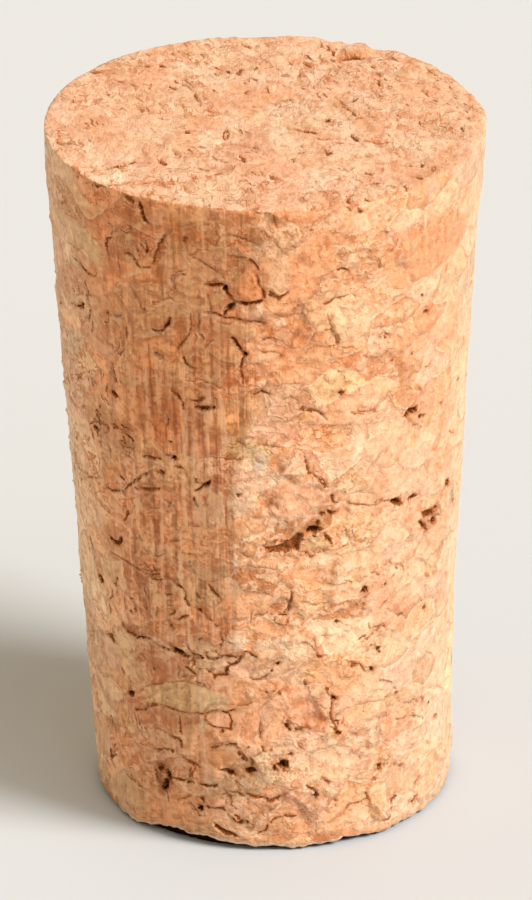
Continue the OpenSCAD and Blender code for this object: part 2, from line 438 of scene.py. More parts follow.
TOP_CRACKS = [
    (V, [(4.6, 9.0), (5.1, 8.95), (5.6, 8.85)]),
    (T, [(1.6, -1.15), (2.3, -1.6), (2.9, -1.95)]),
    (V, [(3.2, -2.65), (3.4, -2.85)]),
    (T, [(3.4, -0.1), (3.55, -0.3)]),
    (S, [(3.3, 0.0), (3.9, -0.35)]),
    (M, [(3.45, -4.1), (3.4, -4.8)]),
    (M, [(4.7, -2.1), (5.1, -2.75)]),
    (S, [(5.1, -2.9), (6.2, -3.2), (7.2, -3.3)]),
    (S, [(1.2, -1.0), (1.7, -1.2)]),
    (M, [(4.9, 3.05), (5.0, 2.7)]),
    (T, [(-5.75, -5.05), (-5.55, -5.35), (-5.3, -5.7)]),
    (T, [(-4.3, -1.35), (-4.1, -1.6)]),
    (M, [(-8.1, -5.7), (-7.9, -6.0), (-7.4, -5.6)]),
    (M, [(-9.4, -6.4), (-8.9, -6.2), (-8.2, -6.1)]),
    (M, [(-4.95, -4.0), (-4.7, -4.35)]),
    (M, [(-4.05, -3.8), (-3.95, -4.3)]),
    (M, [(-3.75, 4.3), (-3.75, 3.7), (-3.6, 3.1), (-3.35, 2.6)]),
    (M, [(-3.35, 9.6), (-3.3, 9.0)]),
    (M, [(-6.6, 7.75), (-6.2, 7.6)]),
    (T, [(-5.7, 7.65), (-5.4, 7.55)]),
    (M, [(-1.2, 10.75), (-0.8, 10.55)]),
    (M, [(-0.95, 4.15), (-0.85, 3.9)]),
    (M, [(-1.25, 7.3), (-1.2, 6.8)]),
    (T, [(-9.35, 7.0), (-9.2, 6.9)]),
    (M, [(-6.9, -8.35), (-6.4, -8.1), (-5.9, -7.85)]),
    (S, [(-4.6, 5.9), (-4.0, 5.4), (-3.75, 4.6)]),
    (S, [(-2.4, 7.4), (-1.9, 7.3), (-1.4, 7.2)]),
    (M, [(-2.0, -0.9), (-2.2, -1.8), (-2.1, -2.6)]),
    (S, [(-2.8, -4.1), (-2.7, -4.8), (-2.3, -5.3)]),
    (S, [(-1.9, -3.1), (-1.2, -3.4), (-0.6, -3.6)]),
    (M, [(-0.6, -3.4), (-0.3, -3.8)]),
    (M, [(8.1, -7.6), (8.6, -7.9)]),
    (S, [(7.6, -9.0), (7.75, -9.3)]),
    (S, [(5.9, -8.3), (6.1, -9.0)]),
    (M, [(5.5, -7.2), (5.8, -7.5)]),
    (S, [(0.4, -7.4), (0.6, -7.7)]),
    (M, [(-10.6, -2.4), (-10.9, -2.7)]),
    (M, [(-9.7, 0.2), (-9.6, -0.5)]),
    (S, [(-9.2, 0.6), (-9.0, -0.2)]),
    (M, [(-8.55, 4.1), (-8.5, 3.5)]),
    (S, [(-9.6, -2.1), (-9.3, -2.9)]),
    (M, [(6.05, 7.4), (6.2, 7.0)]),
    (M, [(7.2, 8.6), (7.5, 8.2)]),
    (M, [(6.4, 5.5), (6.5, 5.1)]),
    (M, [(8.4, -6.0), (8.6, -6.3)]),
    (S, [(9.2, -6.2), (9.3, -6.8)]),
    (S, [(10.6, -6.2), (10.7, -6.8)]),
    (M, [(10.7, -0.9), (10.8, -1.5)]),
    (S, [(9.5, 3.2), (9.6, 2.4)]),
    (S, [(11.0, 1.9), (11.2, 1.3)]),
    (S, [(10.6, 0.2), (10.75, -0.2)]),
    (S, [(2.4, 7.9), (2.7, 7.4)]),
    (S, [(1.7, 8.5), (1.6, 8.0)]),
    (M, [(3.6, 10.7), (3.9, 9.9), (4.0, 9.2)]),
    (S, [(0.2, 8.6), (-0.1, 8.0)]),
    (S, [(-0.6, 6.1), (-0.4, 5.6)]),
    (S, [(-3.4, -9.9), (-3.2, -10.3)]),
    (S, [(-2.0, -9.4), (-1.6, -9.6)]),
]

# Fainter marks on the wide end, in four sizes
TA, TB, TC, TD = (0.26, 0.74, 0.10), (0.20, 0.54, 0.05), (0.16, 0.45, 0.03), (0.12, 0.40, 0.02)
TOP_MARKS = [
    (TA, [(-5.8, -4.9), (-5.5, -5.4), (-5.2, -5.6)]),
    (TA, [(-2.0, 7.3), (-1.9, 6.8)]),
    (TA, [(-4.3, -1.4), (-4.0, -1.6)]),
    (TA, [(9.4, -1.3), (9.5, -1.7)]),
    (TA, [(6.4, 5.1), (6.5, 4.7)]),
    (TA, [(3.4, -4.9), (3.6, -4.5)]),
    (TA, [(-1.1, 10.8), (-0.7, 10.3)]),
    (TA, [(-3.3, 9.4), (-3.3, 8.6)]),
    (TA, [(-1.3, -4.7), (-1.0, -5.7)]),
    (TA, [(4.9, 2.3), (5.2, 3.1)]),
    (TA, [(4.7, -2.2), (4.9, -2.5), (5.2, -3.1)]),
    (TA, [(4.4, -10.2), (4.6, -11.3), (4.6, -11.8)]),
    (TA, [(-5.1, 5.0), (-4.8, 4.6)]),
    (TB, [(-9.8, 0.1), (-9.6, -0.9)]),
    (TB, [(-9.4, 0.6), (-9.3, -0.4)]),
    (TB, [(-8.9, 0.0), (-8.7, -0.2)]),
    (TB, [(-5.0, -3.8), (-4.8, -4.3), (-4.5, -4.7)]),
    (TB, [(-4.1, -3.9), (-3.9, -4.5)]),
    (TB, [(-6.4, 1.9), (-6.2, 1.0)]),
    (TB, [(-8.2, -6.1), (-7.9, -5.8), (-7.5, -5.8)]),
    (TB, [(-7.4, -5.6), (-7.0, -5.0)]),
    (TB, [(-2.4, -1.7), (-2.2, -2.1)]),
    (TB, [(-2.0, -1.2), (-1.9, -2.4)]),
    (TB, [(-1.0, -1.3), (-0.8, -2.0)]),
    (TB, [(-3.7, -9.9), (-3.4, -10.1)]),
    (TB, [(-9.5, 7.0), (-9.1, 6.7)]),
    (TB, [(-9.0, 7.9), (-8.8, 8.5), (-8.7, 7.9)]),
    (TB, [(-5.7, 7.7), (-5.3, 7.4)]),
    (TB, [(-8.7, 4.3), (-8.5, 3.3)]),
    (TB, [(-10.8, 5.2), (-10.5, 4.8)]),
    (TB, [(-3.5, 11.3), (-3.3, 11.7)]),
    (TB, [(-1.4, 7.1), (-1.2, 6.4)]),
    (TB, [(-0.4, 5.9), (-0.3, 5.4)]),
    (TB, [(1.5, 8.0), (1.6, 7.5)]),
    (TB, [(3.8, 8.7), (4.0, 8.3)]),
    (TB, [(4.1, 7.7), (4.4, 7.4)]),
    (TB, [(6.0, 7.4), (6.2, 6.8)]),
    (TB, [(6.4, 6.5), (6.5, 5.8)]),
    (TB, [(7.1, 8.5), (7.6, 7.9)]),
    (TB, [(8.6, 4.2), (8.9, 3.9), (9.1, 3.4)]),
    (TB, [(9.4, 2.8), (9.6, 2.5)]),
    (TB, [(10.5, 3.6), (10.6, 2.9)]),
    (TB, [(11.1, 2.3), (11.3, 1.9)]),
    (TB, [(11.0, 1.3), (11.2, 0.9)]),
    (TB, [(10.8, -1.1), (10.9, -1.9)]),
    (TB, [(9.0, -6.4), (9.2, -7.0)]),
    (TB, [(10.5, -6.5), (10.7, -7.0)]),
    (TB, [(6.0, -8.5), (6.3, -8.7)]),
    (TB, [(7.5, -8.8), (7.7, -9.2)]),
    (TB, [(8.0, -7.7), (8.6, -8.0)]),
    (TB, [(0.3, -7.4), (0.6, -8.0)]),
    (TB, [(-1.5, -5.2), (-1.3, -5.4)]),
    (TB, [(4.4, 1.9), (4.9, 1.0), (5.1, 0.3)]),
    (TB, [(5.7, 2.1), (5.8, 1.5)]),
    (TB, [(3.6, 4.4), (3.7, 4.1)]),
    (TB, [(2.1, 4.6), (2.3, 4.3)]),
    (TB, [(2.3, 7.9), (2.7, 7.4)]),
    (TB, [(-1.0, 3.9), (-0.8, 3.6)]),
    (TB, [(-2.7, 4.5), (-2.6, 3.9)]),
    (TB, [(-0.7, -3.9), (-0.4, -4.5)]),
    (TB, [(-5.7, 0.7), (-5.2, 0.4)]),
    (TB, [(8.5, -0.2), (8.6, -0.8)]),
    (TB, [(5.4, -10.5), (5.7, -10.8)]),
    (TC, [(-11.1, 3.7), (-10.9, 3.3)]),
    (TC, [(-8.8, 4.0), (-8.5, 3.5)]),
    (TC, [(-11.3, -2.3), (-11.1, -2.7), (-10.8, -2.9)]),
    (TC, [(-6.2, -0.7), (-5.9, -1.3)]),
    (TC, [(-2.8, -4.5), (-2.6, -5.1), (-2.3, -5.3)]),
    (TC, [(-3.0, -10.8), (-2.9, -11.2)]),
    (TC, [(-2.0, -9.7), (-1.6, -9.6)]),
    (TC, [(-5.5, -8.0), (-5.3, -8.6)]),
    (TC, [(-5.0, -10.4), (-4.8, -10.0)]),
    (TC, [(-5.9, -7.5), (-5.7, -7.8)]),
    (TC, [(-8.3, -8.3), (-7.6, -8.3)]),
    (TC, [(0.5, 2.4), (0.7, 2.0)]),
    (TC, [(0.8, 1.5), (0.9, 2.0)]),
    (TC, [(1.5, 2.9), (1.6, 2.5)]),
    (TC, [(2.7, 0.4), (3.1, -0.4)]),
    (TC, [(4.2, 2.8), (4.6, 1.9)]),
    (TC, [(7.4, 0.4), (7.5, -0.0)]),
    (TC, [(7.9, 2.0), (8.0, 1.6)]),
    (TC, [(9.6, -0.9), (10.0, -1.2)]),
    (TC, [(10.6, 0.1), (10.8, -0.0)]),
    (TC, [(11.2, 0.4), (11.3, -0.3)]),
    (TC, [(2.3, -4.2), (2.8, -3.8)]),
    (TC, [(5.5, -5.0), (5.7, -5.2)]),
    (TC, [(7.1, -4.5), (7.4, -5.2)]),
    (TC, [(4.9, -8.0), (5.3, -8.4)]),
    (TC, [(5.4, -7.1), (5.7, -7.4)]),
    (TC, [(4.8, -8.7), (4.9, -9.3)]),
    (TC, [(-0.2, -6.8), (-0.1, -7.4)]),
    (TC, [(4.0, -6.4), (4.3, -6.9)]),
    (TC, [(1.5, -5.2), (1.6, -5.9)]),
    (TC, [(6.2, -11.0), (6.4, -11.6)]),
    (TC, [(-8.4, 8.8), (-7.7, 8.6)]),
    (TC, [(-7.5, 8.7), (-7.0, 8.7)]),
    (TC, [(-7.2, 7.5), (-6.8, 7.7), (-6.1, 7.4)]),
    (TC, [(-5.0, 5.8), (-4.7, 5.4), (-4.2, 5.0)]),
    (TC, [(-8.1, 5.8), (-7.7, 5.4)]),
    (TC, [(-7.4, 5.4), (-6.9, 4.8)]),
    (TC, [(-9.3, 6.0), (-9.2, 5.6)]),
    (TC, [(-8.0, 4.6), (-7.9, 3.9), (-7.8, 3.4)]),
    (TC, [(-6.6, 5.2), (-6.2, 5.0)]),
    (TC, [(-2.8, 7.7), (-2.4, 7.3), (-2.0, 7.1)]),
    (TC, [(-2.6, 6.9), (-2.5, 6.4)]),
    (TC, [(-1.9, 11.4), (-1.8, 10.9)]),
    (TC, [(-1.0, 5.5), (-0.9, 5.0)]),
    (TC, [(-0.5, 6.9), (-0.4, 7.5)]),
    (TC, [(1.6, 2.7), (1.4, 2.0)]),
    (TC, [(-6.5, 9.5), (-6.2, 9.1)]),
    (TC, [(-5.0, 9.5), (-4.8, 9.1)]),
    (TC, [(3.2, 11.2), (3.4, 10.4), (3.8, 9.7)]),
    (TC, [(3.9, 9.3), (4.1, 10.3)]),
    (TC, [(5.0, 10.5), (5.6, 10.4)]),
    (TC, [(7.3, 7.3), (7.5, 6.9)]),
    (TC, [(7.4, 6.2), (7.6, 5.9)]),
    (TC, [(7.4, 5.5), (7.6, 5.4)]),
    (TC, [(5.4, 7.7), (5.5, 7.3)]),
    (TC, [(6.7, 5.7), (7.0, 5.4)]),
    (TC, [(4.8, 4.9), (4.9, 4.5)]),
    (TC, [(6.9, 4.3), (7.1, 4.7)]),
    (TC, [(9.4, 4.7), (9.8, 4.2)]),
    (TC, [(9.5, 6.0), (9.7, 5.4)]),
    (TC, [(10.1, 5.3), (10.4, 4.4)]),
    (TC, [(9.1, 2.5), (9.6, 2.0)]),
    (TC, [(10.1, 2.3), (10.7, 1.4)]),
    (TC, [(6.4, 3.0), (7.0, 3.2)]),
    (TC, [(2.9, 3.9), (3.2, 3.0)]),
    (TC, [(3.3, 3.8), (3.6, 3.1)]),
    (TC, [(2.4, 8.6), (2.5, 9.1)]),
    (TC, [(2.0, 6.5), (2.1, 6.0)]),
    (TC, [(0.3, 8.0), (0.5, 7.6)]),
    (TC, [(-7.9, 1.8), (-7.7, 2.1)]),
    (TC, [(-7.6, 1.8), (-7.4, 1.5)]),
    (TC, [(-6.8, 2.0), (-6.6, 1.5)]),
    (TC, [(-10.0, 0.9), (-9.8, 0.6)]),
    (TC, [(-3.2, -6.8), (-2.9, -6.3)]),
    (TC, [(-3.6, -6.0), (-3.1, -6.5)]),
    (TC, [(-2.7, -7.1), (-2.2, -6.8)]),
    (TD, [(-10.8, -2.7), (-10.4, -2.8), (-10.0, -3.2)]),
    (TD, [(-9.3, 7.8), (-8.9, 7.7), (-8.3, 7.6)]),
    (TD, [(-7.1, 3.5), (-6.8, 3.1), (-6.6, 2.8)]),
    (TD, [(-9.3, 4.3), (-9.0, 3.6)]),
    (TD, [(-4.2, 5.0), (-3.9, 4.4)]),
    (TD, [(-0.1, 8.5), (0.3, 7.9)]),
    (TD, [(0.5, 7.4), (1.0, 7.0)]),
    (TD, [(3.8, -3.2), (4.4, -3.4), (5.0, -3.6)]),
    (TD, [(6.0, -5.8), (6.5, -6.3)]),
    (TD, [(7.8, -6.3), (8.2, -6.4)]),
    (TD, [(8.3, -6.4), (8.9, -6.4)]),
    (TD, [(8.2, 5.3), (8.8, 5.0)]),
    (TD, [(9.0, 7.3), (9.5, 6.4), (9.9, 5.5)]),
    (TD, [(7.0, 3.2), (7.5, 3.4)]),
    (TD, [(-0.7, 1.9), (-0.1, 1.8)]),
    (TD, [(-2.2, -5.4), (-2.0, -5.5)]),
    (TD, [(-6.5, -5.1), (-6.2, -4.5)]),
    (TD, [(-1.7, -3.1), (-1.1, -3.5)]),
    (TD, [(-1.1, -4.0), (-0.6, -4.6)]),
    (TD, [(-4.0, -7.3), (-3.5, -7.6)]),
    (TD, [(-2.6, -9.1), (-2.3, -9.1)]),
    (TD, [(1.1, 5.0), (1.4, 4.5)]),
    (TD, [(2.6, 5.0), (2.9, 4.4)]),
    (TD, [(4.5, 6.9), (4.8, 6.3)]),
    (TD, [(6.0, 0.4), (6.2, -0.4)]),
    (TD, [(6.7, -2.0), (7.0, -3.1)]),
    (TD, [(7.7, -1.8), (7.7, -2.9)]),
    (TD, [(1.9, -3.5), (2.2, -3.9)]),
    (TD, [(-6.8, 2.0), (-6.4, 1.3)]),
    ((0.40, 1.0, 0.32), [(4.9, 8.9), (5.3, 8.8), (5.6, 8.7)]),
    ((0.30, 0.7, 0.15), [(4.3, 8.7), (4.8, 8.8)]),
]

# Open pits: (depth mm, darkness, outline)
SIDE_PITS = [
    # the long dark pore in the middle
    (0.35, 0.62, [(-1.5, 19.25), (1, 19.3), (3, 19.42), (5, 19.6), (7, 19.85), (8.2, 20.1), (9.8, 20.0),
                  (9.4, 19.6), (8.6, 19.3), (8.4, 18.95), (6.5, 19.0), (4, 18.9), (1, 18.95), (-0.8, 18.98)]),
    (0.55, 0.80, [(2.8, 19.35), (5, 19.55), (7.2, 19.8), (8.4, 19.95), (7.6, 19.6), (5.4, 19.32), (3.6, 19.2)]),
    (0.7, 1.0, [(10.6, 20.02), (11.6, 20.36), (13, 20.4), (14.6, 20.3), (15.4, 20.12), (13.6, 20.0), (11.8, 19.95)]),
    (0.4, 0.95, [(13.6, 20.7), (14.6, 20.72), (14.3, 20.45), (13.4, 20.42)]),
    (0.3, 0.85, [(14.6, 21.2), (15.6, 21.25), (16.4, 21.15), (15.2, 21.0)]),
    (0.3, 0.85, [(16.9, 21.35), (18.2, 21.2), (19.4, 21.1), (18.4, 20.92), (17.0, 21.1)]),
    (0.3, 0.8, [(15.9, 19.95), (16.9, 19.7), (18.0, 19.45), (18.5, 19.1), (17.7, 19.3), (16.4, 19.6)]),
    (0.5, 1.0, [(-11.6, 35.25), (-10.6, 35.3), (-10.2, 35.05), (-10.9, 34.9)]),
    (0.5, 1.0, [(-6.6, 31.45), (-5.4, 31.4), (-5.3, 31.2), (-6.0, 31.12)]),
    (0.5, 0.9, [(-8.9, 5.2), (-7.4, 5.35), (-6.2, 5.35), (-5.6, 5.15), (-6.8, 4.95), (-8.4, 4.9)]),
    (0.5, 0.95, [(42.0, 25.95), (43.4, 26.3), (44.6, 26.2), (46.2, 26.18), (47.4, 26.1), (46.6, 25.85), (44.8, 25.9), (43, 25.75)]),
    (0.35, 0.9, [(50.8, 19.35), (53, 19.35), (55.4, 19.2), (57.6, 19.3), (59.0, 19.0), (57.2, 18.8), (54.6, 18.85), (52, 18.95)]),
    (0.35, 0.9, [(50, 18.85), (51.4, 18.75), (52.6, 18.4), (53.4, 18.15), (52.2, 18.2), (51, 18.45)]),
    (0.35, 0.9, [(56.2, 18.55), (58, 18.62), (58.8, 18.3), (57.4, 18.1), (56.4, 18.25)]),
    (0.3, 0.9, [(63.4, 20.3), (65.2, 20.3), (67.4, 20.05), (67, 19.8), (64.6, 19.9)]),
    (0.35, 0.95, [(34.0, 11.95), (35.8, 11.95), (35.3, 11.65), (34.7, 11.45), (34.4, 11.7)]),
    (0.35, 0.95, [(36.6, 4.2), (36.0, 4.5), (35.0, 4.5), (35.4, 4.2)]),
    (0.4, 0.95, [(-51.3, 8.35), (-49.6, 8.55), (-47.8, 8.6), (-48.2, 8.38), (-50.2, 8.2)]),
    (0.4, 0.95, [(-54.3, 17.95), (-52, 17.85), (-50.2, 17.95), (-48.4, 18.35), (-48.0, 18.1), (-50, 17.7), (-52.4, 17.65)]),
    (0.4, 0.95, [(-32.0, 12.4), (-30, 12.35), (-28.2, 12.2), (-28.6, 11.98), (-31.0, 12.1)]),
    (0.5, 0.95, [(-19.8, 22.9), (-18, 23.15), (-16.8, 23.3), (-17.0, 23.05), (-18.6, 22.8)]),
    (0.5, 0.95, [(37.6, 20.95), (39.4, 21.05), (41, 20.9), (41.8, 20.55), (40.4, 20.65), (38.4, 20.75)]),
    (0.35, 0.9, [(44.2, 20.75), (46, 20.92), (47.8, 20.65), (46.4, 20.55), (44.8, 20.55)]),
    (0.3, 0.9, [(17.9, 22.3), (18.7, 22.2), (18.7, 21.75), (18.2, 21.8)]),
]

# Small round spots: (angle, height, radius mm, darkness)
SIDE_SPOTS = [
    (-33.3, 36.75, 0.10, 0.9), (-60.8, 31.55, 0.13, 0.8), (-22, 37.9, 0.10, 0.8), (-48.6, 32.1, 0.09, 0.8),
    (-35, 33.1, 0.07, 0.7), (48.8, 31.9, 0.11, 0.9), (46.8, 33.0, 0.08, 0.7), (25.0, 39.45, 0.10, 0.8),
    (-47.5, 27.15, 0.16, 0.6), (-57, 25.5, 0.10, 0.8), (-55, 25.4, 0.08, 0.8), (-49, 25.2, 0.09, 0.8),
    (-43, 25.3, 0.08, 0.8), (-58.5, 24.3, 0.20, 0.75), (-56.5, 23.6, 0.09, 0.75), (-52, 24.8, 0.09, 0.8),
    (-46, 24.4, 0.07, 0.7), (-44, 23.6, 0.06, 0.7), (-29, 25.2, 0.07, 0.9), (-45, 20.0, 0.09, 0.9),
    (-32.3, 23.2, 0.14, 1.0), (-28.1, 24.25, 0.12, 1.0), (20.4, 28.5, 0.12, 0.95), (-8.6, 22.6, 0.09, 0.9),
    (-21.4, 23.15, 0.07, 0.9), (30.0, 26.3, 0.05, 0.6), (48.7, 25.45, 0.11, 0.85), (46.5, 25.0, 0.09, 0.8),
    (50.1, 25.4, 0.08, 0.8), (51.5, 28.35, 0.11, 0.85), (64.5, 20.2, 0.14, 0.95), (71.5, 18.4, 0.12, 0.8),
    (-46, 14.6, 0.09, 0.9), (-46.5, 13.8, 0.08, 0.8), (-53.5, 15.0, 0.08, 0.8), (-52.5, 15.4, 0.08, 0.8),
    (-31.3, 13.7, 0.10, 0.9), (-57.5, 11.2, 0.08, 0.7), (-22, 15.0, 0.11, 0.9), (-13.6, 11.5, 0.10, 0.85),
    (1.7, 12.0, 0.12, 0.95), (20.0, 14.25, 0.10, 0.9), (14.3, 12.3, 0.10, 0.9), (25.3, 11.3, 0.10, 0.9),
    (17, 10.1, 0.09, 0.7), (28.8, 15.9, 0.17, 1.0), (36.6, 15.8, 0.08, 0.8), (32, 12.2, 0.10, 0.9),
    (54.5, 13.1, 0.10, 0.8), (22.3, 18.9, 0.08, 0.8), (11.4, 18.6, 0.06, 0.9), (12.1, 18.45, 0.05, 0.9),
    (10.7, 18.75, 0.06, 0.9), (13.0, 18.7, 0.05, 0.8), (-69, 2.45, 0.10, 0.8), (20, 8.0, 0.10, 0.9),
    (-15.5, 7.6, 0.10, 0.95), (-22, 3.9, 0.10, 0.9), (-23.5, 2.95, 0.10, 0.9), (5.4, 6.2, 0.09, 0.9),
    (59.5, 6.8, 0.13, 0.9), (64.5, 5.5, 0.07, 0.7), (42.5, 8.65, 0.08, 0.8), (55.4, 7.3, 0.08, 0.8),
    (13.2, 3.5, 0.13, 1.0), (12.0, 3.95, 0.09, 0.9), (3.5, 2.25, 0.13, 0.7), (33.7, 3.7, 0.09, 0.8),
    (50.5, 1.15, 0.10, 0.9), (53.4, 2.2, 0.09, 0.9), (41.4, 4.1, 0.07, 0.8), (-2, 10.25, 0.07, 0.7),
    (0.5, 10.35, 0.06, 0.7), (2.2, 10.15, 0.07, 0.7), (-7.2, 6.75, 0.06, 0.8), (26.4, 15.1, 0.06, 0.8),
    (43.2, 13.5, 0.10, 0.85), (37.2, 14.6, 0.08, 0.8), (70.5, 26.0, 0.09, 0.7), (34.1, 21.2, 0.08, 0.85),
    (57, 22.8, 0.06, 0.6), (58.5, 25.5, 0.06, 0.6), (36.6, 29.7, 0.06, 0.7), (40.5, 29.3, 0.07, 0.7),
    (44, 29.6, 0.06, 0.7), (2, 19.6, 0.08, 0.9), (-12.8, 5.0, 0.09, 0.95), (-24.2, 2.3, 0.15, 1.0),
]

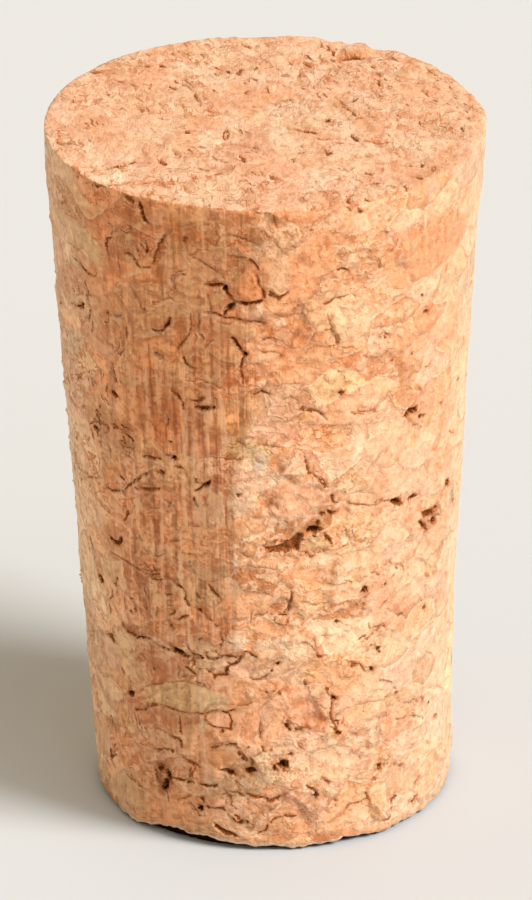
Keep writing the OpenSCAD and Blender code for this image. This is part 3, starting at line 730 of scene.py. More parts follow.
# Granules and stains whose colour stands out: (tint, strength, edge softness mm, outline)
SIDE_PATCHES = [
    ("cream", 0.62, 0.10, [(-80, 36.5), (-68, 36.3), (-58, 36.4), (-50, 36.2), (-48.5, 35.4), (-52, 34.8), (-56, 34.9), (-60, 35.4), (-68, 35.5), (-80, 35.3)]),
    ("redbrown", 0.45, 0.12, [(-48, 34.6), (-44, 34.5), (-40, 34.9), (-40, 36.6), (-44, 36.9), (-47.5, 36.3)]),
    ("cream", 0.5, 0.08, [(-40.5, 34.9), (-40, 35.35), (-36, 35.6), (-33, 35.8), (-32.4, 35.5), (-36, 35.2)]),
    ("brown", 0.45, 0.12, [(-6, 38.0), (-3, 37.85), (0, 38.2), (0.4, 38.7), (-2, 39.0), (-5, 38.8)]),
    ("brown", 0.40, 0.12, [(-26, 38.3), (-22, 38.0), (-18, 38.3), (-17, 38.7), (-21, 38.95), (-25, 38.8)]),
    ("cream", 0.65, 0.10, [(1.0, 35.4), (2.6, 35.1), (5.6, 35.3), (6.4, 36.3), (5.8, 37.4), (3, 37.8), (1.2, 37.2), (0.6, 36.2)]),
    ("cream", 0.6, 0.08, [(20, 37), (24, 37.1), (26, 36), (24.2, 35.4), (22.6, 35.9)]),
    ("cream", 0.6, 0.10, [(17, 32.6), (19, 33.6), (23, 33.9), (28, 33.6), (29, 32.4), (26, 31.6), (21, 31.7), (18.6, 31.7)]),
    ("olive", 0.7, 0.10, [(-16.5, 34.3), (-14, 34.9), (-11.4, 34.75), (-11.6, 34.2), (-14, 34.05)]),
    ("pale", 0.5, 0.10, [(-7.5, 33.7), (-4.5, 34.15), (-1, 34.3), (-0.5, 33.6), (-4, 33.4)]),
    ("pale", 0.7, 0.06, [(-3.2, 34.25), (-1.6, 34.42), (-0.9, 34.2), (-2.2, 34.05)]),
    ("pale", 0.6, 0.08, [(2.4, 33.1), (4.4, 33.4), (5.6, 33.0), (4, 32.8)]),
    ("orange", 0.72, 0.10, [(35, 37.5), (44, 37.45), (52, 37.2), (60, 37), (70, 36.1), (67, 35), (57, 34.2), (45, 33.8), (36, 34), (34, 36)]),
    ("grey", 0.5, 0.12, [(45, 39.4), (47, 39.8), (50, 39.7), (50, 39.3), (47, 39.2)]),
    ("cream", 0.5, 0.12, [(32, 37.8), (36, 38.8), (45, 38.7), (45, 37.8), (38, 37.6)]),
    ("cream", 0.5, 0.12, [(46, 38.1), (47, 39.2), (60, 39.2), (60, 38.1), (53, 37.8)]),
    ("cream", 0.6, 0.06, [(45, 33.1), (47.2, 33.5), (47.4, 33.1), (45.6, 32.85)]),
    ("cream", 0.55, 0.12, [(70, 34.4), (72, 36.0), (80, 35.8), (80, 34.2)]),
    ("orange", 0.45, 0.12, [(41, 30.3), (44, 31.5), (49, 31.3), (50, 30.2), (45, 29.7)]),
    ("brown", 0.38, 0.16, [(-60, 24.2), (-56, 26), (-48, 26.1), (-41, 25.7), (-40, 24.4), (-47, 23.6), (-55, 23.6)]),
    ("cream", 0.6, 0.06, [(-33.2, 23.75), (-30.6, 24.0), (-28.2, 23.95), (-28.6, 23.6), (-31.4, 23.55)]),
    ("redbrown", 0.34, 0.12, [(-40, 26), (-37, 25.4), (-30, 25.6), (-27, 26.6), (-27, 28.4), (-31, 29), (-37, 28.8), (-40, 27.6)]),
    ("orange", 0.5, 0.06, [(-30.4, 28.2), (-28.4, 28.7), (-26.6, 28.5), (-27.6, 28.15)]),
    ("pink", 0.4, 0.10, [(-9.4, 23.2), (-6.5, 22.7), (-2.5, 22.6), (0.6, 23.2), (1, 24.4), (-1.5, 25.1), (-6, 25), (-9, 24.4)]),
    ("grey", 0.55, 0.14, [(-4.6, 24.1), (-2.4, 24.0), (-0.4, 24.4), (-1.4, 24.9), (-3.8, 24.85)]),
    ("tan", 0.5, 0.14, [(5.0, 23.4), (7.0, 23.8), (10, 23.5), (9.4, 22.9), (6.4, 22.95)]),
    ("cream", 0.5, 0.12, [(17, 24.4), (19, 26.4), (24, 27), (28, 26.2), (28, 24.6), (23, 23.9)]),
    ("orange", 0.6, 0.08, [(65, 23.3), (68, 23.1), (71.4, 22.8), (70, 22.5), (66.6, 22.7)]),
    ("grey", 0.45, 0.10, [(65.4, 25.1), (66.6, 25.2), (67.2, 24.3), (66, 24.1)]),
    ("grey", 0.4, 0.10, [(72, 24.3), (74, 24.4), (74.4, 23.9), (72.6, 23.8)]),
    ("brown", 0.5, 0.12, [(-52, 12.5), (-46, 12.9), (-40, 13.1), (-38.5, 12.6), (-42, 12.4), (-47, 12.15)]),
    ("grey", 0.45, 0.08, [(-77, 10.1), (-73, 10.6), (-67.4, 11.0), (-68, 10.65), (-73, 10.2)]),
    ("tan", 0.75, 0.08, [(9.6, 19.5), (11, 19.75), (14, 19.85), (16.4, 19.7), (18, 19.3), (18.4, 18.9), (15.5, 18.85), (12, 18.75), (9.6, 18.8)]),
    ("brown", 0.8, 0.10, [(9.4, 20.4), (11.4, 20.75), (13.4, 20.95), (15.2, 20.75), (15.4, 20.35), (12, 20.1), (9.8, 20.05)]),
    ("brown", 0.5, 0.10, [(13.4, 21.5), (16, 21.7), (18.6, 21.6), (20.4, 21.2), (19, 20.8), (16, 20.8), (14, 20.9)]),
    ("pale", 0.7, 0.06, [(-11.4, 18.25), (-10.6, 18.85), (-9.4, 18.8), (-9.3, 18.3), (-10.2, 18.05)]),
    ("cream", 0.5, 0.12, [(-5, 13), (-1, 13.8), (4.4, 13.7), (4.8, 12.9), (0, 12.6)]),
    ("cream", 0.55, 0.12, [(5.4, 12.4), (6, 13.7), (10, 13.9), (13, 13.2), (12.4, 12.2), (9, 12.0)]),
    ("cream", 0.5, 0.10, [(9, 18.1), (11, 18.6), (18, 18.7), (18.4, 18), (13, 17.7)]),
    ("brown", 0.55, 0.12, [(49.6, 18.6), (51, 19.5), (55, 19.5), (60, 19.4), (61.6, 18.6), (58.6, 18), (53, 18.0)]),
    ("brown", 0.55, 0.10, [(63, 20.3), (66, 20.35), (68, 20), (67, 19.6), (64, 19.7)]),
    ("brown", 0.5, 0.10, [(68.6, 19.2), (71, 19.2), (73.4, 18.4), (72.6, 18), (70.6, 18.3)]),
    ("grey", 0.45, 0.10, [(65, 17.5), (66.2, 17.5), (67, 16.5), (65.8, 16.4)]),
    ("orange", 0.5, 0.08, [(53.4, 13.3), (55, 13.4), (55.8, 13), (54.2, 12.8)]),
    ("grey", 0.4, 0.10, [(75.6, 10.7), (78.4, 10.8), (78.4, 10.3), (76, 10.2)]),
    ("olive", 0.62, 0.08, [(-42.5, 8.75), (-38, 9.5), (-33, 10.3), (-26, 10.4), (-18, 9.9), (-12.6, 9.2), (-16, 8.88), (-21, 8.55), (-28, 8.48), (-36, 8.45), (-40, 8.5)]),
    ("cream", 0.45, 0.08, [(-36, 9.3), (-30, 10.1), (-24, 10.1), (-19, 9.6), (-24, 9.1), (-31, 8.9)]),
    ("pink", 0.5, 0.06, [(-20.8, 8.35), (-18, 8.7), (-14, 8.7), (-13, 8.2), (-14.6, 7.9), (-19, 8.0)]),
    ("redbrown", 0.42, 0.14, [(-47, 7.4), (-42, 8.1), (-36, 8.3), (-27, 8.3), (-24, 7.6), (-32, 7.0), (-41, 6.9)]),
    ("brown", 0.42, 0.14, [(-67, 5.4), (-62, 5.95), (-57, 5.9), (-57, 5.3), (-62, 5.1)]),
    ("brown", 0.55, 0.14, [(-41, 4.6), (-37, 5.0), (-34, 4.8), (-33.4, 3.9), (-35, 3.0), (-38, 2.6), (-41, 3.1)]),
    ("cream", 0.7, 0.06, [(-38.2, 4.2), (-37.2, 4.35), (-36.4, 4.15), (-36.8, 3.9), (-38, 3.95)]),
    ("brown", 0.4, 0.12, [(-10.6, 9.2), (-9, 9.7), (-6, 9.8), (-5.6, 9.4), (-8, 9.1)]),
    ("grey", 0.6, 0.08, [(11.4, 3.8), (13, 3.8), (13.6, 3.3), (12.4, 3.1), (11.4, 3.3)]),
    ("cream", 0.7, 0.06, [(1.1, 5.6), (2.2, 5.7), (2.5, 5.45), (1.6, 5.3)]),
    ("brown", 0.5, 0.10, [(-9.6, 5.6), (-6, 5.9), (-4.6, 5.3), (-6.4, 4.7), (-9.4, 4.6)]),
    ("brown", 0.72, 0.06, [(30.3, 3.05), (31.5, 2.75), (32.6, 2.2), (34, 1.95), (35.5, 1.7), (36.3, 1.2), (37.2, 0.6), (35.5, 0.75), (33.5, 0.85), (32, 1.4), (31.3, 2.1)]),
    ("cream", 0.45, 0.12, [(9, 6.9), (14, 7.3), (19, 6.9), (18, 6.0), (12, 5.8)]),
    ("pink", 0.35, 0.14, [(20, 5.6), (28, 6.6), (36, 6.2), (35, 4.9), (27, 4.4), (21, 4.7)]),
    ("cream", 0.4, 0.14, [(30, 25.2), (34, 26.6), (41, 26.2), (40, 24.8), (34, 24.4)]),
    ("orange", 0.35, 0.14, [(6, 31.2), (10, 32.6), (14, 32.4), (14, 31.6), (10, 30.9)]),
    ("redbrown", 0.30, 0.16, [(-22, 36.0), (-14, 37.6), (-5, 37.4), (-4, 36.4), (-12, 35.7)]),
    ("cream", 0.35, 0.12, [(-26, 34.2), (-22, 35.7), (-18, 35.9), (-17.4, 34.2), (-21, 33.7)]),
    ("redbrown", 0.32, 0.14, [(-22, 30.2), (-16, 32.6), (-10, 32.2), (-10.4, 30.2), (-16, 29.6)]),
    ("pink", 0.35, 0.12, [(-4, 26), (2, 28.6), (9, 28.2), (8, 26.2), (2, 25.6)]),
    ("cream", 0.35, 0.12, [(-34, 19.4), (-30, 20.8), (-26, 20.6), (-26, 19.4)]),
    ("orange", 0.3, 0.16, [(22, 21.4), (28, 22.8), (36, 22.6), (35, 21.4), (28, 20.8)]),
    ("cream", 0.4, 0.14, [(20, 13), (24, 14.4), (31, 14.2), (30, 13), (25, 12.5)]),
    ("pink", 0.35, 0.14, [(36, 9.6), (42, 10.9), (50, 10.6), (50, 9.4), (43, 8.9)]),
    ("cream", 0.4, 0.14, [(52, 32), (57, 33.6), (66, 33.2), (65, 31.4), (57, 30.8)]),
    ("cream", 0.4, 0.14, [(58, 22.2), (63, 25.4), (72, 27.2), (78, 25.6), (70, 22.4)]),
    ("cream", 0.35, 0.14, [(46, 14.2), (50, 16.6), (60, 16.9), (62, 14.8), (54, 13.6)]),
    ("salmon", 0.4, 0.14, [(60, 9.2), (63, 11.9), (72, 11.6), (72, 9.2)]),
]

# More cracks, finer
MORE_CRACKS = [
    ((0.20, 1.0, 0.20), [(4.2, 19.52), (5.1, 19.62)]),
    ((0.20, 1.0, 0.20), [(6.8, 19.28), (7.7, 19.4)]),
    ((0.20, 1.0, 0.20), [(9.2, 19.62), (10.1, 19.55)]),
    ((0.20, 1.0, 0.20), [(1.8, 19.17), (2.7, 19.22)]),
    ((0.20, 1.0, 0.20), [(11.9, 20.08), (14.2, 20.09)]),
    ((0.20, 1.0, 0.20), [(12.8, 19.81), (13.6, 19.73)]),
    ((0.20, 1.0, 0.20), [(5.4, 19.07), (6.2, 19.1)]),
    ((0.20, 1.0, 0.20), [(8.3, 19.08), (8.6, 19.18)]),
    ((0.20, 1.0, 0.20), [(0.1, 18.98), (1.2, 19.1)]),
    ((0.20, 0.66, 0.10), [(-50.5, 39.67), (-48.1, 39.77), (-46.2, 39.99)]),
    ((0.20, 0.66, 0.10), [(20.9, 40.0), (21.9, 39.87), (22.7, 39.6)]),
    ((0.20, 0.66, 0.10), [(24.4, 39.77), (25.5, 39.35)]),
    ((0.20, 0.66, 0.10), [(-2.4, 40.0), (-0.7, 39.98), (0.9, 39.92)]),
    ((0.20, 0.66, 0.10), [(-38.2, 39.85), (-36.8, 39.72), (-36.0, 39.52)]),
    (M, [(15.9, 32.42), (18.7, 32.17), (19.3, 31.6), (17.6, 31.38)]),
    (S, [(20.1, 31.38), (25.1, 31), (28.9, 30.27)]),
    (M, [(15.1, 34.08), (17.2, 34.22), (19.9, 34.38), (23.3, 34.43), (25.1, 34.07)]),
    (M, [(0.8, 35.18), (3.2, 34.8), (6.1, 35.07)]),
    (M, [(33.5, 31.57), (35.5, 31.21)]),
    (M, [(26.9, 37.23), (30.6, 36.32), (31.7, 35.58)]),
    (M, [(18.1, 36.08), (20, 36.16), (22.2, 36.03)]),
    (S, [(2.6, 39.67), (3.1, 38.87)]),
    (M, [(10.4, 27.62), (12.9, 27.57), (15.3, 27.26)]),
    (M, [(25.2, 27.18), (29, 26.95), (32.3, 26.97)]),
    (S, [(16.9, 30.23), (20.2, 29.78), (22.3, 29.22)]),
    (M, [(10.1, 24.92), (11.3, 23.82), (15.6, 23.23), (17.1, 22.7)]),
    (S, [(37.1, 24.27), (34.8, 23.8)]),
    (M, [(22.2, 21.68), (24.4, 21.47), (31.4, 21.07), (37.4, 21.1)]),
    (M, [(65.1, 20.21), (67.9, 19.6)]),
    (S, [(19.6, 20.22), (20.8, 19.3)]),
    (S, [(23.9, 20.23), (25.3, 19.12), (31.6, 18.82)]),
    (M, [(37.7, 16.9), (40.5, 16.78), (43.8, 16.51), (45.2, 16.03)]),
    (S, [(15.8, 16.73), (20.9, 16.67), (27.1, 16.53), (29.1, 16.75)]),
    (M, [(6.1, 16.53), (6.1, 15.92), (5.5, 15.1)]),
    (S, [(29.3, 15.42), (29.7, 14.71)]),
    (M, [(34.4, 14.33), (37.4, 14.67)]),
    (M, [(31.3, 13.3), (34.2, 13.27), (36.9, 13.23)]),
    (M, [(27.6, 12.48), (30, 12.73), (33.9, 13.03), (36.1, 13.28)]),
    (M, [(24.2, 11.55), (28, 11.25), (30.2, 10.57)]),
    (M, [(16.8, 10.11), (18.4, 9.37), (18.1, 8.47), (20.4, 7.32)]),
    (S, [(20.1, 8.53), (22.4, 8.25), (22.8, 7.79), (20.8, 7.68), (19.8, 8.16), (20.4, 8.52)]),
    (M, [(35.1, 9.8), (40, 9.38), (42.6, 8.63), (41.4, 8.4)]),
    (S, [(54.5, 7.47), (55.7, 6.93)]),
    (S, [(59.3, 7.09), (60.8, 6.47)]),
    (S, [(50.7, 7.56), (52.3, 7.07)]),
    (T, [(3.9, 8.22), (4.8, 7.88), (5.7, 7.68)]),
    (M, [(24.6, 2.45), (28.5, 2.53), (31.8, 2.62)]),
    (M, [(40.9, 2.1), (40.6, 1.35), (38.1, 1.18)]),
    (M, [(50.5, 0.67), (52.5, 1.03), (50.7, 1.56)]),
    (M, [(-13.1, 2.28), (-10.6, 1.93), (-8, 1.79)]),
    (M, [(15.5, 4.66), (18.2, 4.2)]),
    (S, [(8.7, 13.38), (12.4, 12.93), (14.2, 12.33)]),
    (S, [(24.9, 6.88), (29.1, 7), (32.8, 6.68)]),
    (S, [(-0.5, 19.75), (-2.3, 19.25)]),
    (M, [(42, 6.9), (48.9, 6.68), (56.5, 5.98)]),
    (S, [(25.6, 5.77), (30.6, 5.85), (35.2, 5.41)]),
    (S, [(8.9, 15.87), (12.5, 15.55), (18, 15.55)]),
    (S, [(51, 16.37), (56.5, 15.57), (59.3, 14.78)]),
    (S, [(39.9, 27.55), (44.5, 27.5), (49.7, 26.93)]),
    (S, [(3.4, 28.42), (6.2, 28.62), (9.1, 28.38)]),
    (M, [(-4.2, 28.78), (-1.4, 29.02), (0.7, 28.82)]),
    (S, [(-2.3, 32.15), (0.9, 32.25), (4.1, 31.97)]),
    (S, [(-44, 38.77), (-43.1, 38.35)]),
    (M, [(-45.6, 37.77), (-44.1, 37.68), (-44, 37.27)]),
    (S, [(-47.1, 36.4), (-46.2, 35.73), (-45.9, 34.83)]),
    (M, [(-36.8, 35.92), (-35.5, 35.6), (-32.5, 35.77)]),
    (S, [(-42.5, 35.67), (-41.9, 34.78)]),
    (S, [(-30.4, 36.15), (-30.4, 35.18)]),
    (M, [(-26.5, 35.43), (-24.4, 35.57), (-22.1, 35.68)]),
    (M, [(-26.5, 35.31), (-26, 35.03), (-25.5, 34.68)]),
    (S, [(-38.9, 34.42), (-36.6, 33.62), (-35.3, 32.93)]),
    (M, [(-65, 34.85), (-64.2, 34.37), (-61.3, 34.25), (-57.2, 34.02), (-54.9, 33.83)]),
    (S, [(-67.5, 35.06), (-63.5, 35.03), (-60, 35.07)]),
    (S, [(-55.8, 33.77), (-53, 33.98), (-51.4, 34.4)]),
    (M, [(-65.9, 32.35), (-64.1, 32.19)]),
    (S, [(-58.9, 32.98), (-57.5, 32.73)]),
    (S, [(-58.3, 32.17), (-56.5, 32.62), (-54.7, 32.64)]),
    (S, [(-70.7, 32.18), (-70.3, 31.66)]),
    (S, [(-34.6, 34.37), (-32.6, 34.25)]),
    (S, [(-21.3, 33.43), (-21.1, 32.58), (-21.8, 32.08)]),
    (S, [(-15.9, 34.72), (-15.7, 34.3), (-14.9, 33.72), (-14.4, 33.38)]),
    (M, [(-49.9, 31.47), (-48.4, 31.08)]),
    (S, [(-46.6, 31.32), (-46.5, 30.78)]),
    (M, [(-48.5, 29.12), (-47.5, 28.57), (-46.1, 27.93)]),
    (S, [(-45.2, 28.23), (-43.4, 27.86), (-42.2, 28.25)]),
    (S, [(-68.2, 26.97), (-65.5, 26.83), (-62.7, 26.93), (-61.2, 27.3)]),
    (S, [(-56.2, 25.79), (-55.9, 25.51), (-54, 25.28)]),
    (T, [(-32.9, 30.47), (-30.9, 30.37), (-30, 30.22)]),
    (T, [(-21.2, 27.63), (-19.4, 27.52), (-17, 27.64), (-14.6, 27.77)]),
    (M, [(-22.3, 27.97), (-20.2, 28.03), (-18.4, 28.15)]),
    (M, [(-24.1, 30.67), (-23.1, 30.27), (-21.9, 30.07), (-20.1, 30)]),
    (S, [(-36.6, 26.27), (-35.1, 26.22), (-33.9, 25.88), (-33.4, 25.67)]),
    (M, [(-30.2, 26.89), (-29.4, 26.57), (-29.8, 26.17)]),
    (S, [(-27, 26.4), (-25.4, 26.27)]),
    (M, [(-7.1, 30.28), (-6.9, 29.43)]),
    (M, [(-62.3, 24.32), (-57.5, 24.78), (-53.8, 24.93), (-51.5, 24.92)]),
    (S, [(-55.4, 24.75), (-56.7, 24.28), (-55.2, 24.14), (-52.6, 24.47), (-51.5, 24.85)]),
    (M, [(-49.6, 25.05), (-47, 25.23)]),
    (M, [(-46, 25.48), (-43.7, 25.38), (-42.2, 25.35)]),
    (M, [(-45.9, 25), (-43.1, 24.92), (-41.3, 24.73), (-42.2, 24.37)]),
    (S, [(-58.6, 23.82), (-54.8, 24.05)]),
    (M, [(-57.2, 23.56), (-55.2, 23.33)]),
    (M, [(-68.9, 22.53), (-66.9, 22.28), (-64.2, 22.07)]),
    (S, [(-46.2, 24.17), (-44.7, 23.83), (-42.8, 23.83)]),
    (S, [(-50.5, 23.25), (-48.5, 22.97)]),
    (S, [(-56.5, 22.99), (-55.2, 22.53)]),
    (M, [(-28.1, 23.77), (-25.6, 23.68)]),
    (M, [(-48.8, 22.19), (-46, 22.02)]),
    (M, [(-39.5, 22.67), (-36.6, 23)]),
    (S, [(-48, 16.83), (-44.1, 16.77), (-40.2, 16.63)]),
    (M, [(-39.8, 16.58), (-37.3, 16.61), (-34.5, 16.85)]),
    (M, [(-37.7, 16.33), (-35.4, 16.32), (-33.3, 16.52)]),
    (M, [(-30.9, 16.62), (-29.4, 16.3), (-27.7, 16.18), (-26.8, 15.97), (-26.6, 15.47), (-25.1, 15.08)]),
    (M, [(-46.4, 14.62), (-44.8, 14.4), (-44.6, 13.85)]),
    (S, [(-52.7, 14.92), (-53.6, 14.23)]),
    (M, [(-52, 12.71), (-49.7, 12.48), (-46.5, 12.46), (-44, 12.3)]),
    (M, [(-39.7, 10.86), (-37.9, 10.52)]),
    (M, [(-43.2, 11.28), (-41.6, 11)]),
    (S, [(-53.8, 9.67), (-53, 9.28)]),
    (M, [(-50.9, 9.37), (-49.1, 9.05)]),
    (M, [(-32.6, 13.98), (-31.2, 13.73), (-30.9, 13.38)]),
    (S, [(-30.1, 14.02), (-28.4, 14.28), (-25.8, 14.44)]),
    (M, [(-26.9, 12.68), (-24.6, 12.27), (-21.4, 12.18)]),
    (M, [(-20.1, 12.48), (-19.4, 12.13), (-17.6, 11.99), (-15, 12.3), (-12.5, 12.48), (-10, 12.4)]),
    (M, [(-20.8, 11.45), (-17.7, 11.04), (-13.9, 11.25), (-12.9, 11.83)]),
    (M, [(-13.2, 11.77), (-11.3, 11.98), (-9.4, 12.47), (-7.6, 12.8), (-4, 12.44)]),
    (S, [(-87.1, 9.37), (-81.2, 9.71), (-73.1, 10.05)]),
    (M, [(-61.3, 11.24), (-57.5, 11.41), (-56.7, 11.09)]),
    (S, [(-65.1, 11.68), (-61.9, 11.44)]),
    (M, [(-29.5, 11.51), (-29.3, 11.02), (-29.8, 10.54)]),
    (M, [(-27.5, 11.28), (-25.2, 11.12), (-23.3, 10.8)]),
    (S, [(-45.1, 8.87), (-40.6, 9.47), (-34.6, 9.98), (-27.4, 10.38), (-22.4, 10.32), (-18.5, 10.19)]),
    (M, [(-47.6, 7.5), (-44, 7.61), (-41.6, 8.07), (-38.6, 8.37), (-34, 8.5), (-29.7, 8.38), (-26.9, 8.37), (-23.4, 8.57), (-21.1, 8.52)]),
    (M, [(-29.8, 8.12), (-30, 7.28), (-29.4, 6.87)]),
    (T, [(-30.9, 6.73), (-29.5, 6.47), (-29.3, 6.1)]),
    (S, [(-39.3, 6.8), (-35.4, 6.83), (-31.3, 6.65)]),
    (S, [(-55.2, 6.51), (-54, 5.69), (-55, 5.18)]),
    (S, [(-52.7, 7.13), (-49, 6.51)]),
    (S, [(-48.1, 6.44), (-43.9, 5.82)]),
    (M, [(-66, 3.67), (-65.7, 3.11), (-59.5, 3.74)]),
    (M, [(-68.8, 2.65), (-68.3, 2.32)]),
    (M, [(-42.5, 5.08), (-39, 5.41), (-36.1, 5.7), (-32.3, 5.77)]),
    (M, [(-29.8, 5.49), (-26.3, 5.25), (-23.9, 5.08)]),
    (M, [(-34, 3.95), (-31, 4.03), (-28.4, 3.95), (-25.6, 3.93)]),
    (M, [(-26.4, 4.93), (-27.2, 4.38), (-27, 4.07)]),
    (M, [(-24.2, 3.92), (-21.1, 3.83), (-17.8, 4.06)]),
    (M, [(-19.3, 6.33), (-16.6, 6.67), (-13.4, 6.78), (-10.8, 6.97)]),
    (M, [(-10.9, 6.45), (-9.6, 6.08), (-8.5, 5.65)]),
    (T, [(-17.2, 4.97), (-14.3, 5.03), (-11.8, 4.76)]),
    (M, [(-23, 3.19), (-22.8, 2.75)]),
    (M, [(-14.8, 2.19), (-12.9, 1.92), (-11.6, 1.67), (-8.3, 1.97)]),
    (T, [(-19.3, 1.5), (-18, 1.14), (-15.7, 0.93), (-12, 0.75)]),
    (M, [(-1.3, 1.75), (0.7, 2.13), (3.9, 2.18), (7.4, 2.22)]),
    (M, [(-5.5, 0.89), (-2.6, 1.37), (-1.9, 1.73)]),
    (S, [(-53, 3.08), (-49.2, 2.58), (-45, 2.35), (-40.6, 2.23)]),
    (S, [(-56.6, 1.02), (-50.2, 0.63)]),
]
# Raised lines, painted pale on top as a highlight and with painted shade along one side: (full width mm, strength,
# line)
RIDGES = [
    (0.26, 0.70, [(20.3, 33.82), (24, 33.68), (28.2, 33)]),
    (0.18, 0.60, [(16.2, 31.55), (19.6, 31.33), (24.9, 30.83)]),
    (0.20, 0.70, [(35.5, 9.97), (40.3, 9.54), (43.5, 8.64)]),
    (0.18, 0.60, [(4.6, 4.17), (8.4, 3.87), (13.6, 3.63), (18.2, 3.75)]),
    (0.18, 0.60, [(5.7, 8.39), (8.6, 8.08), (10.4, 7.73)]),
    (0.16, 0.60, [(1.6, 35.32), (3.7, 35.05), (6.1, 35.23)]),
    (0.16, 0.55, [(10.4, 25.08), (12.1, 23.93), (16.2, 23.4)]),
    (0.18, 0.60, [(33.7, 2.15), (36.5, 1.4), (39.5, 0.83)]),
    (0.16, 0.60, [(8.4, 2.47), (13.6, 2.74), (18.1, 2.62)]),
    (0.18, 0.60, [(25.2, 11.76), (29.1, 11.38), (31.3, 10.71)]),
    (0.16, 0.60, [(28.5, 13.07), (32.7, 13.28), (35.3, 13.52)]),
    (0.20, 0.60, [(-9.4, 10.32), (-4.9, 9.9), (0, 10.1)]),
    (0.16, 0.60, [(24.5, 37.7), (27.5, 37.15), (29.4, 36.5)]),
    (0.14, 0.75, [(-35.5, 35.42), (-32.6, 35.58)]),
    (0.13, 0.60, [(-27.7, 37.58), (-28.2, 35.44)]),
    (0.20, 0.55, [(-28.4, 34.88), (-28.6, 33.97)]),
    (0.16, 0.50, [(-41.5, 34.75), (-37.1, 35.24), (-32.6, 35.47)]),
    (0.12, 0.70, [(-23.2, 28.12), (-23.4, 27.02), (-24.4, 26.67), (-23.6, 26.27), (-24.1, 25.52), (-24.8, 24.75), (-24.9, 24.07)]),
    (0.24, 0.95, [(-34.5, 23.83), (-32.6, 23.67), (-30.1, 23.58), (-27.6, 23.42), (-25.1, 23.08)]),
    (0.20, 0.70, [(-48, 21.32), (-44.4, 21.87), (-41, 22.58), (-37.2, 23.16), (-33.9, 23.48)]),
    (0.18, 0.60, [(-25.1, 23.08), (-23.4, 22.47), (-21.9, 21.88), (-21.1, 21.23)]),
    (0.15, 0.90, [(-27.6, 18.07), (-27.4, 17.57), (-28.2, 17.03), (-28, 16.42)]),
    (0.16, 0.60, [(-33.6, 30.63), (-32, 30.5)]),
    (0.14, 0.55, [(-57.3, 24.17), (-54.4, 23.9), (-52, 23.77)]),
    (0.14, 0.50, [(-51.6, 25.52), (-49, 25.27)]),
    (0.14, 0.50, [(-62.8, 22.87), (-58.7, 22.76)]),
    (0.14, 0.50, [(-53.3, 23.24), (-50.7, 22.87)]),
    (0.14, 0.50, [(-47.7, 24.63), (-45.8, 24.32)]),
    (0.16, 0.60, [(-26.5, 13), (-24.6, 12.58), (-21, 12.27)]),
    (0.18, 0.70, [(-18.2, 1.59), (-15.6, 1.2), (-11.7, 0.82), (-9.1, 0.53)]),
    (0.34, 0.80, [(5.5, 3.45), (2.4, 3.03), (-0.6, 2.52), (-3.8, 2.13), (-6.1, 1.42)]),
    (0.14, 0.50, [(-54.3, 26.49), (-53.3, 25.83)]),
    (0.14, 0.50, [(-48.8, 26.77), (-46.5, 26.18)]),
    (0.12, 0.50, [(-42.5, 27.48), (-41.2, 27.02)]),
    (0.14, 0.55, [(-30.3, 17.72), (-28.5, 16.97), (-27.7, 16.37)]),
    (0.14, 0.50, [(-87.1, 4.85), (-87.2, 3.8)]),
    (0.16, 0.50, [(-55.7, 7.48), (-51.7, 7.02), (-50.6, 6.33)]),
    (0.16, 0.50, [(-50.5, 6.47), (-47.1, 5.68)]),
    (0.16, 0.60, [(-17.2, 5.17), (-13.9, 5.23)]),
    (0.20, 0.60, [(-10.9, 6.72), (-9, 6.35), (-7.5, 5.85)]),
    (0.18, 0.60, [(-26.7, 3.69), (-21.9, 3.62), (-17.1, 3.88)]),
    (0.14, 0.70, [(-20.4, 11.78), (-16.9, 12.07), (-13.8, 12.14)]),
    (0.16, 0.55, [(-62, 34.18), (-57.5, 34.17), (-54.3, 34)]),
    (0.14, 0.50, [(-66.2, 34.33), (-63.3, 33.9)]),
    (0.16, 0.50, [(-36, 32.61), (-33.2, 33.02), (-30.2, 33.26)]),
    (0.15, 0.50, [(-20, 30.55), (-20.2, 29.45)]),
    (0.15, 0.60, [(-8.3, 32.08), (-8.5, 30.26)]),
    (0.16, 0.55, [(-20.2, 16.32), (-17.7, 15.97)]),
]
